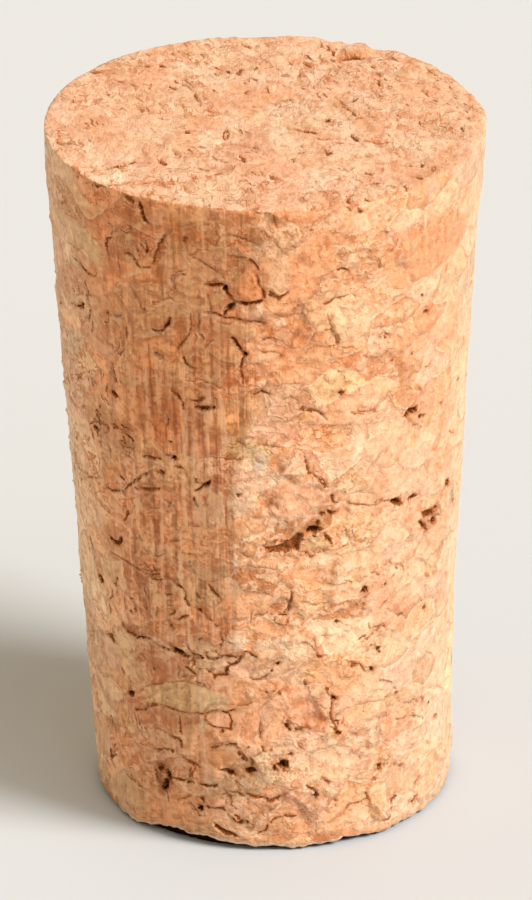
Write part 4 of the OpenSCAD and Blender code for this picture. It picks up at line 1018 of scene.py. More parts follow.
MORE_PATCHES = [
    ("redbrown", 0.62, 0.10, [(-4.9, 38.88), (-2.3, 39.05), (-0.0, 38.65), (-0.3, 38.17), (-2.9, 38.2), (-4.7, 38.4)]),
    ("redbrown", 0.60, 0.08, [(-5.6, 39.77), (-3.8, 39.68), (-3.6, 39.13), (-4.7, 38.77), (-5.7, 38.98)]),
    ("redbrown", 0.60, 0.08, [(1.9, 39.78), (3.1, 39.77), (3.4, 39.17), (2.6, 38.75), (1.8, 39.07)]),
    ("redbrown", 0.60, 0.10, [(-2.6, 37.72), (-0.9, 37.63), (0.7, 37.13), (-0.4, 36.92), (-2.2, 37.25)]),
    ("tan", 0.60, 0.08, [(1.8, 38.22), (3.3, 38.08), (3.8, 37.47), (2.5, 37.25)]),
    ("redbrown", 0.55, 0.08, [(-2.0, 35.85), (-0.2, 35.68), (0.1, 35.08), (-1.5, 34.9)]),
    ("redbrown", 0.55, 0.08, [(0.6, 35.02), (4.0, 34.9), (3.7, 34.55), (1.1, 34.58)]),
    ("brown", 0.45, 0.08, [(-4.3, 33.48), (-1.1, 33.62), (0.9, 33.23), (-1.2, 32.93), (-3.8, 33.08)]),
    ("pink", 0.60, 0.12, [(24.1, 26.07), (30.4, 26.13), (37.4, 24.76), (37.0, 22.92), (30.9, 22.28), (25.5, 23.53)]),
    ("salmon", 0.55, 0.12, [(17.6, 25.92), (22.2, 26.02), (23.6, 24.48), (21.8, 23.18), (18.2, 24.29)]),
    ("pink", 0.55, 0.12, [(39.8, 24.12), (50.5, 23.87), (57.3, 21.97), (54.7, 20.32), (42.6, 21.45)]),
    ("salmon", 0.60, 0.10, [(10.7, 34.43), (15.1, 34.58), (17.2, 33.9), (15.0, 33.35), (11.2, 33.69)]),
    ("pink", 0.55, 0.10, [(9.0, 25.85), (14.1, 26.0), (16.4, 25.08), (14.2, 24.27), (9.5, 24.6)]),
    ("pink", 0.50, 0.12, [(27.6, 15.32), (36.1, 15.48), (41.1, 13.8), (34.9, 13.16), (29.1, 13.98)]),
    ("salmon", 0.55, 0.12, [(25.3, 11.25), (32.3, 11.42), (37.0, 10.26), (34.8, 9.37), (27.4, 9.88)]),
    ("pink", 0.50, 0.12, [(8.6, 10.5), (15.4, 10.72), (18.1, 9.37), (14.2, 8.47), (9.2, 9.08)]),
    ("salmon", 0.50, 0.12, [(-5.1, 8.43), (1.1, 8.93), (5.4, 7.88), (2.3, 7.01), (-3.3, 7.28)]),
    ("pink", 0.50, 0.12, [(40.9, 5.7), (51.1, 5.38), (54.5, 3.72), (46.4, 3.57), (41.0, 4.55)]),
    ("orange", 0.50, 0.10, [(41.6, 26.33), (48.0, 26.52), (53.0, 25.41), (50.3, 24.87), (43.4, 25.37)]),
    ("pink", 0.50, 0.10, [(-27.1, 36.27), (-23.1, 36.63), (-22.1, 35.33), (-24.6, 34.53), (-27.4, 34.92)]),
    ("tan", 0.55, 0.10, [(-27.7, 37.58), (-22.2, 37.87), (-22.2, 36.67), (-27.1, 36.38)]),
    ("pink", 0.55, 0.10, [(-42.2, 34.77), (-34.9, 35.38), (-32.9, 34.37), (-36.8, 32.88), (-42.2, 32.95)]),
    ("redbrown", 0.50, 0.10, [(-27.7, 38.67), (-21.4, 38.97), (-16.4, 38.87), (-17.6, 37.98), (-23.3, 37.95), (-27.3, 37.95)]),
    ("redbrown", 0.50, 0.10, [(-41.9, 39.03), (-36.1, 39.08), (-35.8, 38.25), (-40.2, 37.92)]),
    ("pink", 0.50, 0.10, [(-22.1, 32.32), (-17.9, 32.68), (-16.9, 31.5), (-19.9, 31.05), (-22.2, 31.46)]),
    ("redbrown", 0.50, 0.12, [(-20.9, 26.23), (-13.0, 26.7), (-11.9, 25.27), (-18.0, 24.6), (-21.0, 25.12)]),
    ("redbrown", 0.45, 0.12, [(-35.1, 26.33), (-29.9, 26.78), (-29.1, 25.22), (-33.0, 24.57)]),
    ("pink", 0.50, 0.12, [(-46.5, 24.46), (-38.6, 25.2), (-37.1, 23.78), (-43.2, 22.68)]),
    ("cream", 0.55, 0.05, [(16.7, 33.43), (19.9, 34.02), (23.4, 33.65), (27.6, 33.08), (29.6, 32.08), (28.8, 31.2), (25.1, 31.18), (20.1, 31.52), (18.4, 32.35)]),
    ("pink", 0.50, 0.07, [(-0.9, 36.92), (1.7, 37.2), (4.9, 36.97), (7.2, 36.33), (6.9, 35.48), (4.8, 35.02), (1.1, 35.13), (-1.2, 35.88)]),
    ("salmon", 0.50, 0.06, [(40.6, 31.82), (55.4, 31.1), (51.5, 29.38), (41.4, 29.05), (37.9, 29.95)]),
    ("tan", 0.45, 0.08, [(8.8, 31.45), (16.2, 31.43), (19.4, 30.73), (17.4, 30.23), (10.1, 30.38)]),
    ("redbrown", 0.42, 0.08, [(16.6, 28.77), (19.5, 28.95), (23.3, 28.56), (22.1, 28.12), (18.1, 28.18)]),
    ("pink", 0.42, 0.05, [(4.4, 23.18), (10.7, 23.22), (17.7, 22.32), (18.4, 21.18), (14.2, 20.65), (7.7, 20.9), (4.3, 21.95)]),
    ("redbrown", 0.36, 0.08, [(1.6, 14.77), (6.4, 14.72), (6.9, 14.02), (2.1, 14.08)]),
    ("salmon", 0.55, 0.05, [(12.6, 11.43), (16.1, 11.78), (21.6, 11.53), (27.4, 10.72), (27.4, 9.82), (21.7, 9.55), (16.1, 10.13)]),
    ("grey", 0.50, 0.06, [(11, 4), (13.3, 4.01), (13.9, 3.23), (11.3, 3.37)]),
    ("cream", 0.50, 0.06, [(5.9, 4.78), (12.3, 4.8), (19.5, 3.96), (18.2, 3.25), (9.7, 3.83)]),
    ("pink", 0.40, 0.08, [(-5.6, 8.68), (1.2, 9.45), (10.4, 9.18), (15.5, 7.66), (14.2, 6.17), (5.9, 5.82), (-3.4, 6.63)]),
    ("salmon", 0.40, 0.07, [(-0.6, 17.37), (8.9, 17.37), (15.4, 16.87), (14.3, 15.75), (3.4, 15.68)]),
    ("cream", 0.45, 0.08, [(32.9, 17.55), (50.6, 17.65), (64.4, 15.28), (57.2, 14), (39.3, 14.92)]),
    ("pink", 0.40, 0.06, [(8.9, 20.88), (1.9, 20.85), (-0.9, 21.87), (3.1, 22.58), (6.6, 22.03)]),
    ("salmon", 0.42, 0.06, [(40.2, 14.37), (54, 13.63), (60.7, 11.7), (47.6, 11.97), (39.6, 13.13)]),
    ("cream", 0.50, 0.05, [(-5.7, 13.5), (3.9, 13.68), (13.6, 12.67), (7.4, 12.03), (-2.8, 12.38)]),
    ("redbrown", 0.32, 0.10, [(-5.6, 15.23), (-0.2, 15.22), (0.9, 14.08), (-4.5, 13.99)]),
    ("pink", 0.45, 0.05, [(25.7, 1.97), (31.4, 2.07), (37.9, 0.68), (32.5, 0.08), (23.7, 0.62)]),
    ("salmon", 0.45, 0.06, [(-5.1, 1.87), (2, 2), (11.6, 1.63), (13.6, 0.68), (1.9, 0.58), (-4.6, 0.97)]),
    ("cream", 0.40, 0.07, [(2.4, 30.15), (8.5, 30.3), (14, 29.7), (11.8, 28.77), (4.6, 28.77)]),
    ("pink", 0.40, 0.06, [(-3.7, 28.48), (2.3, 28.55), (9.1, 27.83), (6.2, 26.88), (-1.6, 27.23)]),
    ("salmon", 0.40, 0.08, [(-1, 34.6), (9.1, 34.47), (13.9, 33.38), (8, 32.65), (-0.1, 33.23)]),
    ("olive", 0.75, 0.05, [(-66.1, 36.27), (-57.7, 36.71), (-52, 36.42), (-48.9, 35.97), (-48.3, 34.87), (-51, 34.48), (-54.1, 35.05), (-59.3, 35.32), (-66, 35.18)]),
    ("redbrown", 0.42, 0.07, [(-60, 37.73), (-47.9, 38.65), (-46.9, 37.5), (-49, 36.45), (-52.2, 36.64), (-57.5, 36.97)]),
    ("brown", 0.36, 0.10, [(-41.7, 37.72), (-37.6, 37.82), (-33.8, 37.37), (-33.4, 36.65), (-36, 35.95), (-38.8, 36.3), (-41.4, 36.77)]),
    ("olive", 0.50, 0.07, [(-36.9, 36.63), (-33.6, 36.03), (-31.9, 35.73), (-35.5, 35.48), (-39.2, 35.32), (-37.1, 36.03)]),
    ("redbrown", 0.50, 0.06, [(-44.1, 36.28), (-40.8, 36.43), (-41, 35.93), (-43.9, 35.82)]),
    ("redbrown", 0.55, 0.06, [(-43.7, 35.53), (-40.8, 35.64), (-40.7, 34.92), (-43, 34.72)]),
    ("tan", 0.60, 0.06, [(-31.3, 36), (-28.4, 36.1), (-28.2, 35.57), (-30.4, 35.18), (-31.7, 35.5)]),
    ("redbrown", 0.66, 0.08, [(-27.7, 38.54), (-23.1, 38.87), (-17, 38.8), (-16.8, 38.02), (-20, 37.75), (-22.3, 37.56), (-25.7, 37.7), (-27.6, 37.82)]),
    ("tan", 0.55, 0.04, [(-27.7, 37.52), (-22, 37.75), (-21.9, 36.42), (-22.6, 35.73), (-27.9, 35.52)]),
    ("tan", 0.42, 0.05, [(-42.4, 34.45), (-35.7, 34.8), (-35.4, 33.67), (-35.9, 32.92), (-43.1, 32.65)]),
    ("olive", 0.50, 0.07, [(-35.2, 33.43), (-30.1, 33.5), (-24.8, 33.86), (-23.6, 33.35), (-27.3, 32.8), (-31.8, 32.65), (-34.4, 32.97)]),
    ("redbrown", 0.55, 0.06, [(-36, 32.55), (-30.3, 32.64), (-28.6, 32.4), (-31.1, 31.93), (-34.6, 32.12)]),
    ("cream", 0.42, 0.05, [(-28, 32.36), (-25.6, 32.2), (-26.4, 31.57), (-28.8, 31.48), (-29.3, 31.77)]),
    ("grey", 0.55, 0.07, [(-46.6, 32.17), (-42.4, 32.52), (-44.1, 31.8), (-46.1, 31.72)]),
    ("brown", 0.36, 0.09, [(-19.9, 35.27), (-18.4, 35.25), (-18.5, 34.4), (-19.7, 34.43)]),
    ("orange", 0.55, 0.06, [(-14.5, 34.63), (-11.9, 34.52), (-12, 33.8), (-14.1, 33.63), (-15.4, 34.18)]),
    ("pale", 0.90, 0.03, [(-12.6, 33.48), (-11.2, 33.45), (-10.9, 33.23), (-12.1, 33.2)]),
    ("olive", 0.55, 0.06, [(-29.4, 30.12), (-25.5, 30.13), (-24.4, 29.43), (-25, 28.19), (-26.4, 28.63), (-28.8, 28.78), (-29.3, 29.51)]),
    ("redbrown", 0.34, 0.10, [(-41.2, 29.83), (-34.1, 29.94), (-31.1, 29.43), (-30.8, 28.47), (-34.6, 27.72), (-41.4, 27.25), (-42.1, 28.43)]),
    ("redbrown", 0.52, 0.07, [(-30.5, 28.23), (-27.1, 28.37), (-24.8, 27.7), (-25.3, 26.7), (-27, 25.9), (-30.2, 25.92), (-31.4, 27.1)]),
    ("brown", 0.45, 0.09, [(-7.4, 27.33), (-5.7, 27.25), (-5.6, 25.63), (-7.3, 25.63)]),
    ("redbrown", 0.50, 0.10, [(-62.5, 24.18), (-56, 24.58), (-57, 23.82), (-61.7, 23.57)]),
    ("redbrown", 0.42, 0.10, [(-46.3, 24.83), (-41.5, 25.15), (-40.6, 24.45), (-44.4, 23.73), (-46.6, 24.07)]),
    ("cream", 0.34, 0.12, [(-56.5, 27.07), (-50.4, 26.9), (-43.5, 26.93), (-43.5, 25.88), (-50.2, 25.56), (-55.7, 25.89)]),
    ("olive", 0.40, 0.10, [(-57, 23.69), (-51, 24.02), (-47, 23.31), (-51, 22.28), (-55.7, 22.68)]),
    ("orange", 0.40, 0.07, [(-45.5, 22.92), (-40.8, 23.22), (-40.9, 22.83), (-44.9, 22.52)]),
    ("redbrown", 0.50, 0.08, [(-39, 16.83), (-33.9, 16.93), (-33, 16.47), (-37.4, 16.1)]),
    ("cream", 0.60, 0.05, [(-27.1, 16.39), (-24.7, 16.29), (-23.6, 15.7), (-21.4, 15.22), (-23.1, 14.97), (-25.6, 15.5)]),
    ("cream", 0.62, 0.05, [(-19.6, 16.28), (-17.1, 15.92), (-14.9, 15.73), (-17.1, 15.48), (-19.3, 15.78)]),
    ("tan", 0.40, 0.08, [(-21.3, 17.03), (-14.4, 17.02), (-13.2, 16.04), (-14.1, 14.75), (-17.9, 14.63), (-20.4, 14.93), (-20.6, 15.68)]),
    ("redbrown", 0.42, 0.09, [(-44.9, 15.08), (-37.7, 15.2), (-31, 15.04), (-28.4, 14.9), (-28.8, 14.27), (-31.3, 13.43), (-35.6, 12.6), (-41.4, 12.65), (-44.9, 13.33), (-45.3, 14.18)]),
    ("brown", 0.62, 0.10, [(-52, 12.83), (-47.5, 13.02), (-42.4, 13.1), (-37, 13.03), (-39.5, 12.39), (-44.4, 12.22), (-49.3, 12.27)]),
    ("orange", 0.60, 0.06, [(-31.6, 11.79), (-25.4, 11.8), (-26.1, 11.47), (-30.2, 11.48)]),
    ("redbrown", 0.45, 0.07, [(-47.2, 11.84), (-39.6, 12), (-34, 11.87), (-29.5, 11.57), (-32.6, 10.73), (-36.5, 9.96), (-40.2, 10.57), (-45, 11.23)]),
    ("olive", 0.62, 0.05, [(-56.9, 11.58), (-52, 11.82), (-47.6, 11.12), (-43.5, 10.37), (-39.6, 10.03), (-40.7, 9.33), (-48, 8.68), (-51.5, 9.33), (-53.4, 10.2)]),
    ("brown", 0.34, 0.07, [(-29.1, 14.25), (-25.1, 14.4), (-21.2, 14.05), (-19.9, 13.22), (-22, 12.24), (-25.2, 12.43), (-27.9, 12.82), (-29.5, 13.5)]),
    ("cream", 0.62, 0.05, [(-20.1, 11.87), (-13.8, 12.14), (-13.3, 11.45), (-15.8, 11.08), (-19.6, 11.23), (-21.1, 11.52)]),
    ("pale", 0.50, 0.06, [(-14.9, 13.62), (-10.4, 13.97), (-6.4, 13.37), (-9.4, 12.58), (-13.1, 12.78)]),
    ("redbrown", 0.55, 0.06, [(-47.4, 8.78), (-42.5, 9.03), (-39.6, 8.95), (-43.5, 8.59)]),
    ("olive", 0.90, 0.04, [(-44.3, 8.73), (-40.7, 9.4), (-34.6, 9.93), (-27.4, 10.33), (-22.4, 10.27), (-18.6, 10.12), (-13.6, 9.73), (-12.7, 9.23), (-18.8, 8.91), (-20.8, 8.59), (-26.1, 8.53), (-31.1, 8.5), (-37, 8.53), (-41.1, 8.35)]),
    ("brown", 0.42, 0.12, [(-67.3, 5.53), (-58.4, 6.13), (-58.3, 5.37), (-65.7, 4.78)]),
    ("pale", 0.70, 0.03, [(-30.2, 5.34), (-28.4, 5.3), (-28.9, 5.02), (-30.3, 5.02)]),
    ("brown", 0.62, 0.09, [(-41.4, 4.63), (-36.9, 4.7), (-33.5, 4.42), (-34.3, 3.09), (-38.5, 2.54), (-40.8, 2.93)]),
    ("pink", 0.50, 0.05, [(-26.5, 4.6), (-21.9, 4.9), (-18.3, 4.75), (-17.1, 4.27), (-21.1, 3.88), (-25.9, 3.98)]),
    ("redbrown", 0.50, 0.07, [(-24.8, 5.96), (-19.3, 6.27), (-11.5, 6.56), (-9.4, 5.83), (-11.7, 5.35), (-16.9, 5.17), (-22.1, 5.28)]),
    ("redbrown", 0.50, 0.06, [(-20.1, 2.63), (-16, 2.75), (-14.8, 2.32), (-18.1, 2.23)]),
    ("brown", 0.60, 0.09, [(-1.2, 5.69), (2.2, 6.05), (5.6, 5.83), (4.9, 5.13), (0.9, 5.08)]),
    ("orange", 0.50, 0.06, [(2.4, 5.22), (4.3, 5.2), (4, 4.69), (2.8, 4.83)]),
    ("cream", 0.50, 0.05, [(-41, 8.62), (-33.1, 8.98), (-22.6, 9.17), (-18.7, 9.03), (-20.8, 8.66), (-29.6, 8.7), (-38.6, 8.5)]),
    ("cream", 0.40, 0.10, [(-67.7, 32.02), (-53.3, 32.57), (-53.5, 31.33), (-67.7, 30.43)]),
    ("redbrown", 0.30, 0.12, [(-15.8, 39.36), (-12.4, 39.57), (-11.5, 38.26), (-15.4, 38.17)]),
    ("brown", 0.35, 0.10, [(-8.4, 30.87), (-6.7, 30.91), (-6.7, 28.97), (-8.1, 28.92)]),
    ("brown", 0.35, 0.10, [(-11.1, 18.48), (-9.3, 18.27), (-9.6, 15.62), (-11.4, 15.97)]),
]
MORE_PITS = [
    (0.30, 0.85, [(37.7, 21.08), (41.2, 20.8), (41.3, 20.48), (39, 20.63)]),
    (0.30, 0.80, [(28.9, 16.13), (30.6, 15.92), (30.3, 15.68), (28.9, 15.82)]),
    (0.30, 0.85, [(32, 10.86), (33.1, 10.73), (32.8, 10.5), (31.6, 10.62)]),
    (0.35, 0.95, [(18.1, 9.68), (20.4, 9.48), (20, 9.3), (18.4, 9.42)]),
    (0.35, 0.90, [(19.4, 7.42), (21.8, 7.2), (21.4, 7.02), (19.8, 7.21)]),
    (0.30, 0.80, [(34.4, 11.8), (35.6, 11.73), (35.6, 11.53), (34.9, 11.58)]),
    (0.50, 0.98, [(-36.2, 4.35), (-34.3, 4.32), (-34.2, 3.74), (-35.6, 3.73)]),
    (0.50, 0.98, [(-37.7, 3.56), (-35.6, 3.73), (-35.8, 3.13), (-37.5, 2.86), (-38.7, 3.05)]),
    (0.35, 0.85, [(-39.4, 4.37), (-37.3, 4.54), (-36.6, 4.38), (-38.7, 4.02)]),
    (0.55, 0.98, [(0.3, 5.55), (1.9, 5.73), (3.1, 5.92), (4.7, 5.77), (4.7, 5.45), (3.4, 5.33), (1.9, 5.48)]),
    (0.40, 0.90, [(-49.8, 27.32), (-48, 27.37), (-46.1, 27.13), (-48.2, 27.05)]),
    (0.40, 0.85, [(-22.2, 37.8), (-21.7, 37.7), (-22.3, 37.56)]),
]
# Wrinkled places: (angle, height, half width mm, half height mm, number of lines, heading in degrees)
WRINKLES = [
    (-57.3, 24.17, 0.9, 1.3, 12, -60),
    (-44.4, 24.6, 0.7, 0.9, 8, -40),
    (-59, 32.13, 0.7, 1.5, 7, -60),
    (-43.9, 30.47, 0.8, 0.8, 8, 60),
    (-61.5, 27.64, 0.9, 0.5, 5, -50),
    (-55, 14.5, 0.7, 1.2, 6, -70),
    (-67.2, 17.27, 0.6, 1.6, 6, -75),
    (-62.2, 5.38, 0.8, 1.3, 7, -65),
    (-47.8, 6.14, 0.8, 1.2, 7, -55),
    (-41.5, 17.31, 1, 0.8, 5, -30),
    (-25.6, 11.03, 0.6, 0.6, 6, 30),
    (-36.5, 21.33, 1.2, 0.8, 5, 0),
    (-17.1, 13.32, 0.8, 0.8, 6, -60),
    (-10.7, 3.23, 1.2, 0.6, 6, -30),
    (-15.5, 3.79, 0.9, 0.7, 6, -40),
    (-37.7, 37.52, 0.9, 0.8, 5, -45),
    (-74.9, 9.7, 0.4, 1.2, 4, -70),
    (-51.6, 27.18, 0.8, 1.4, 8, -80),
    (-79.5, 19.93, 0.5, 1.8, 6, -80),
    (-20, 32.38, 0.8, 1, 5, 80),
    (-36.8, 15.06, 1, 0.8, 6, -50),
    (-31.4, 2.58, 1.2, 0.7, 6, -20),
]

TOP_PATCHES = [
    ("cream", 0.55, 0.12, [(-3.6, -1.8), (-2.4, -1.6), (-2.2, -2.8), (-2.8, -4.0), (-3.6, -3.8)]),
    ("cream", 0.5, 0.12, [(-9.6, -7.2), (-9.2, -6.5), (-8.0, -6.4), (-7.3, -6.2), (-7.4, -7.8), (-8.5, -8.2), (-9.3, -7.8)]),
    ("cream", 0.4, 0.12, [(-9.5, -4.9), (-8.6, -4.8), (-8.0, -5.5), (-8.4, -6.2), (-9.4, -6.2)]),
    ("cream", 0.42, 0.20, [(0.4, -3.4), (1.2, -1.4), (2.6, -1.2), (3.2, -3.2), (2.6, -5.6), (1.0, -5.8)]),
    ("cream", 0.45, 0.20, [(1.6, -6.2), (3.4, -4.8), (5.8, -5.2), (6.2, -7.2), (4.6, -8.6), (2.2, -8.2)]),
    ("cream", 0.42, 0.20, [(-4.2, -8.2), (-2.6, -7.0), (-0.8, -7.4), (-1.2, -9.6), (-3.0, -10.2)]),
    ("cream", 0.4, 0.2, [(-3.0, 9.3), (-2.0, 10.0), (-1.0, 9.3), (-1.8, 8.6)]),
    ("cream", 0.4, 0.2, [(-5.6, 7.0), (-4.5, 7.9), (-3.6, 7.3), (-4.4, 6.5)]),
    ("grey", 0.5, 0.15, [(7.9, -8.6), (8.6, -8.4), (9.2, -8.7), (8.8, -9.2), (8.1, -9.1)]),
    ("brown", 0.5, 0.12, [(7.8, -7.5), (8.6, -7.5), (8.6, -7.9), (8.0, -7.9)]),
    ("grey", 0.4, 0.15, [(9.2, -0.9), (10.0, -0.8), (10.1, -1.5), (9.3, -1.5)]),
    ("grey", 0.4, 0.15, [(6.9, 6.8), (7.8, 6.8), (7.8, 6.2), (7.0, 6.1)]),
    ("orange", 0.45, 0.12, [(-7.6, -8.6), (-6.7, -8.1), (-5.6, -7.6), (-6.2, -8.2), (-7.0, -8.7)]),
    ("orange", 0.4, 0.15, [(8.5, 4.6), (9.6, 4.6), (9.6, 4.0), (8.6, 3.9)]),
    ("orange", 0.4, 0.15, [(0.0, 7.2), (0.7, 7.2), (0.7, 6.7), (0.1, 6.7)]),
    ("orange", 0.45, 0.15, [(-2.0, 5.1), (-1.1, 5.0), (-1.1, 4.5), (-1.9, 4.5)]),
    ("brown", 0.4, 0.15, [(3.0, -9.6), (3.5, -10.2), (4.4, -10.8), (4.6, -11.6), (4.0, -11.4), (3.3, -10.6)]),
    ("tan", 0.55, 0.12, [(4.2, 9.3), (4.7, 10.7), (5.8, 10.9), (6.3, 9.9), (5.9, 9.1), (4.9, 9.1)]),
    ("tan", 0.4, 0.15, [(3.9, 3.0), (4.6, 3.1), (5.1, 2.2), (5.2, 0.9), (4.8, 0.4), (4.5, 1.4)]),
    ("salmon", 0.45, 0.25, [(6.2, 2.0), (7.4, 4.8), (10.2, 5.0), (10.8, 1.8), (8.6, 0.4)]),
    ("redbrown", 0.25, 0.25, [(-10.8, -2.6), (-10.2, 1.4), (-7.8, 1.0), (-8.0, -2.4)]),
    ("salmon", 0.35, 0.25, [(-7.4, -0.6), (-6.6, 2.4), (-3.4, 2.0), (-3.8, -0.8)]),
    ("pale", 0.35, 0.25, [(0.6, 8.6), (1.2, 10.8), (3.6, 10.8), (3.6, 8.8)]),
    ("pale", 0.35, 0.25, [(-0.4, 0.8), (0.4, 2.8), (3.4, 2.4), (3.0, 0.6)]),
]

# Colour patches on the wide end that follow its granules
MORE_TOP_PATCHES = [
    ("pale", 0.85, 0.1, [(-3.7, -2.1), (-3.5, -1.5), (-2.9, -1.3), (-2.5, -1.4), (-2.3, -2.2), (-2.1, -2.8), (-2.4, -3.3), (-2.7, -3.7), (-3.1, -4.1), (-3.5, -4.0), (-3.4, -3.2), (-3.6, -2.7)]),
    ("pale", 0.85, 0.08, [(-9.6, -7.3), (-9.3, -6.8), (-8.9, -7.0), (-8.2, -6.6), (-7.6, -6.9), (-7.5, -7.4), (-7.7, -8.1), (-8.2, -8.2), (-8.8, -8.2), (-9.3, -8.0)]),
    ("pale", 0.5, 0.12, [(-10.0, -5.2), (-9.3, -4.7), (-8.7, -5.0), (-8.1, -5.5), (-8.4, -6.1), (-9.1, -6.3), (-9.6, -6.1)]),
    ("pale", 0.45, 0.12, [(-8.0, -4.7), (-7.5, -4.2), (-7.0, -4.5), (-7.3, -5.3), (-7.7, -5.4)]),
    ("cream", 0.65, 0.15, [(0.1, -2.1), (0.4, -1.0), (0.8, 0.4), (1.5, 0.6), (2.6, -0.3), (3.0, -1.0), (2.0, -0.8), (1.3, -0.9), (1.2, -1.8), (1.4, -2.9), (1.1, -4.0), (0.3, -3.7)]),
    ("cream", 0.6, 0.15, [(4.4, -4.4), (5.2, -4.1), (6.0, -5.4), (5.8, -6.6), (5.1, -6.8), (4.4, -6.0)]),
    ("pale", 0.5, 0.2, [(1.9, -7.0), (3.3, -6.8), (4.0, -8.1), (3.8, -9.4), (2.7, -9.7), (1.8, -8.8)]),
    ("cream", 0.5, 0.2, [(-4.2, -8.1), (-2.9, -7.6), (-1.5, -8.2), (-1.3, -9.5), (-2.7, -10.2), (-4.0, -9.9)]),
    ("pale", 0.6, 0.12, [(5.3, -9.0), (5.8, -8.7), (6.2, -9.5), (6.0, -10.3), (5.5, -10.0)]),
    ("pale", 0.6, 0.12, [(-5.4, 7.8), (-4.6, 8.1), (-3.5, 7.7), (-2.6, 7.1), (-3.2, 6.3), (-4.3, 6.6), (-5.2, 7.0)]),
    ("cream", 0.55, 0.15, [(-4.0, 10.6), (-3.2, 10.3), (-2.1, 10.2), (-1.4, 9.6), (-1.2, 7.9), (-2.1, 7.7), (-3.2, 8.6), (-4.0, 9.2)]),
    ("pale", 0.5, 0.12, [(6.6, 1.8), (7.3, 2.2), (7.6, 1.5), (7.3, 0.7), (6.7, 1.0)]),
    ("orange", 0.75, 0.06, [(-6.7, -7.7), (-6.1, -7.5), (-5.8, -7.9), (-6.4, -8.4), (-7.0, -8.6), (-6.9, -8.2)]),
    ("orange", 0.6, 0.1, [(-4.3, 0.4), (-3.5, 0.8), (-2.3, 0.2), (-2.2, -0.9), (-2.9, -0.6), (-3.9, -0.4)]),
    ("orange", 0.55, 0.12, [(-2.1, 5.2), (-1.3, 4.9), (-0.4, 4.0), (-0.1, 3.1), (-0.8, 3.3), (-1.5, 4.0)]),
    ("tan", 0.8, 0.1, [(3.8, 2.7), (4.5, 2.6), (4.9, 1.2), (5.3, 0.3), (4.7, 0.3), (4.1, 1.6)]),
    ("salmon", 0.5, 0.2, [(-10.1, 2.7), (-9.4, 1.8), (-8.9, 0.2), (-9.2, -1.7), (-9.8, -0.6), (-10.1, 1.3)]),
    ("orange", 0.45, 0.12, [(7.9, 4.8), (8.9, 4.7), (9.4, 3.6), (8.9, 2.9), (8.2, 3.7)]),
    ("orange", 0.6, 0.1, [(2.6, -9.8), (3.5, -9.8), (4.0, -10.6), (4.4, -11.6), (3.5, -11.5), (2.9, -10.7)]),
    ("grey", 0.65, 0.1, [(8.7, -9.0), (9.1, -8.4), (9.4, -9.1), (9.0, -9.6), (8.6, -9.5)]),
    ("redbrown", 0.5, 0.1, [(7.9, -7.9), (8.2, -7.5), (8.7, -7.9), (8.6, -8.5), (8.1, -8.5)]),
    ("cream", 0.8, 0.1, [(8.8, -10.4), (9.4, -9.4), (10.2, -8.1), (10.7, -8.1), (10.0, -9.4), (9.2, -11.2), (8.6, -11.6)]),
    ("pink", 0.6, 0.2, [(7.2, -1.2), (8.1, -0.7), (8.9, -1.9), (8.4, -3.2), (7.5, -2.9)]),
    ("pink", 0.5, 0.2, [(-9.0, 0.5), (-7.3, 0.9), (-5.7, 0.3), (-5.8, -1.6), (-7.4, -1.5), (-8.7, -1.2)]),
    ("salmon", 0.5, 0.2, [(-9.4, -2.0), (-7.8, -1.8), (-6.2, -2.1), (-6.1, -3.5), (-7.8, -3.7), (-9.1, -3.3)]),
    ("pale", 0.45, 0.15, [(-11.1, 1.6), (-10.6, 1.6), (-10.4, -0.0), (-10.8, -1.4), (-11.1, -0.0)]),
    ("pink", 0.5, 0.15, [(-1.9, 10.8), (-0.7, 9.6), (1.0, 10.4), (2.1, 9.5), (1.5, 8.4), (-0.0, 8.7), (-0.9, 8.5)]),
    ("redbrown", 0.35, 0.15, [(-0.0, 8.2), (0.8, 8.1), (1.2, 7.0), (0.5, 6.2), (-0.0, 6.8)]),
    ("redbrown", 0.35, 0.15, [(-8.8, 8.2), (-7.4, 8.4), (-7.1, 7.3), (-8.1, 6.8)]),
    ("pale", 0.55, 0.12, [(10.4, 4.1), (10.7, 4.7), (11.0, 3.8), (10.8, 3.0), (10.6, 3.2)]),
    ("olive", 0.5, 0.12, [(-7.6, 8.5), (-7.1, 8.4), (-7.0, 7.6), (-7.5, 7.3)]),
    ("cream", 0.5, 0.15, [(2.0, -0.2), (3.0, 1.1), (3.8, 1.1), (3.6, -0.0), (3.0, -0.8)]),
    ("olive", 0.5, 0.12, [(9.2, -0.8), (10.0, -0.8), (10.1, -1.6), (9.5, -2.1)]),
    ("salmon", 0.45, 0.2, [(-1.5, 2.9), (-0.1, 3.1), (0.4, 0.7), (-0.7, -0.7), (-1.4, 1.0)]),
]

TOP_SPOTS = [
    (3.3, -2.75, 0.17, 1.0), (3.5, -0.2, 0.10, 0.95), (2.25, -1.6, 0.12, 0.9), (3.42, -4.6, 0.09, 0.8),
    (-4.2, -1.5, 0.14, 0.9), (-9.2, 6.95, 0.12, 0.8), (-1.15, 7.1, 0.10, 0.8), (-0.9, 4.0, 0.09, 0.7),
    (-3.35, 9.2, 0.11, 0.8), (6.1, 7.2, 0.09, 0.8), (7.35, 8.4, 0.09, 0.8), (-8.55, 3.8, 0.09, 0.7),
    (5.5, -7.3, 0.10, 0.8), (8.5, -6.1, 0.09, 0.8), (-5.55, 7.6, 0.13, 0.9), (-7.9, -5.85, 0.12, 0.8),
]

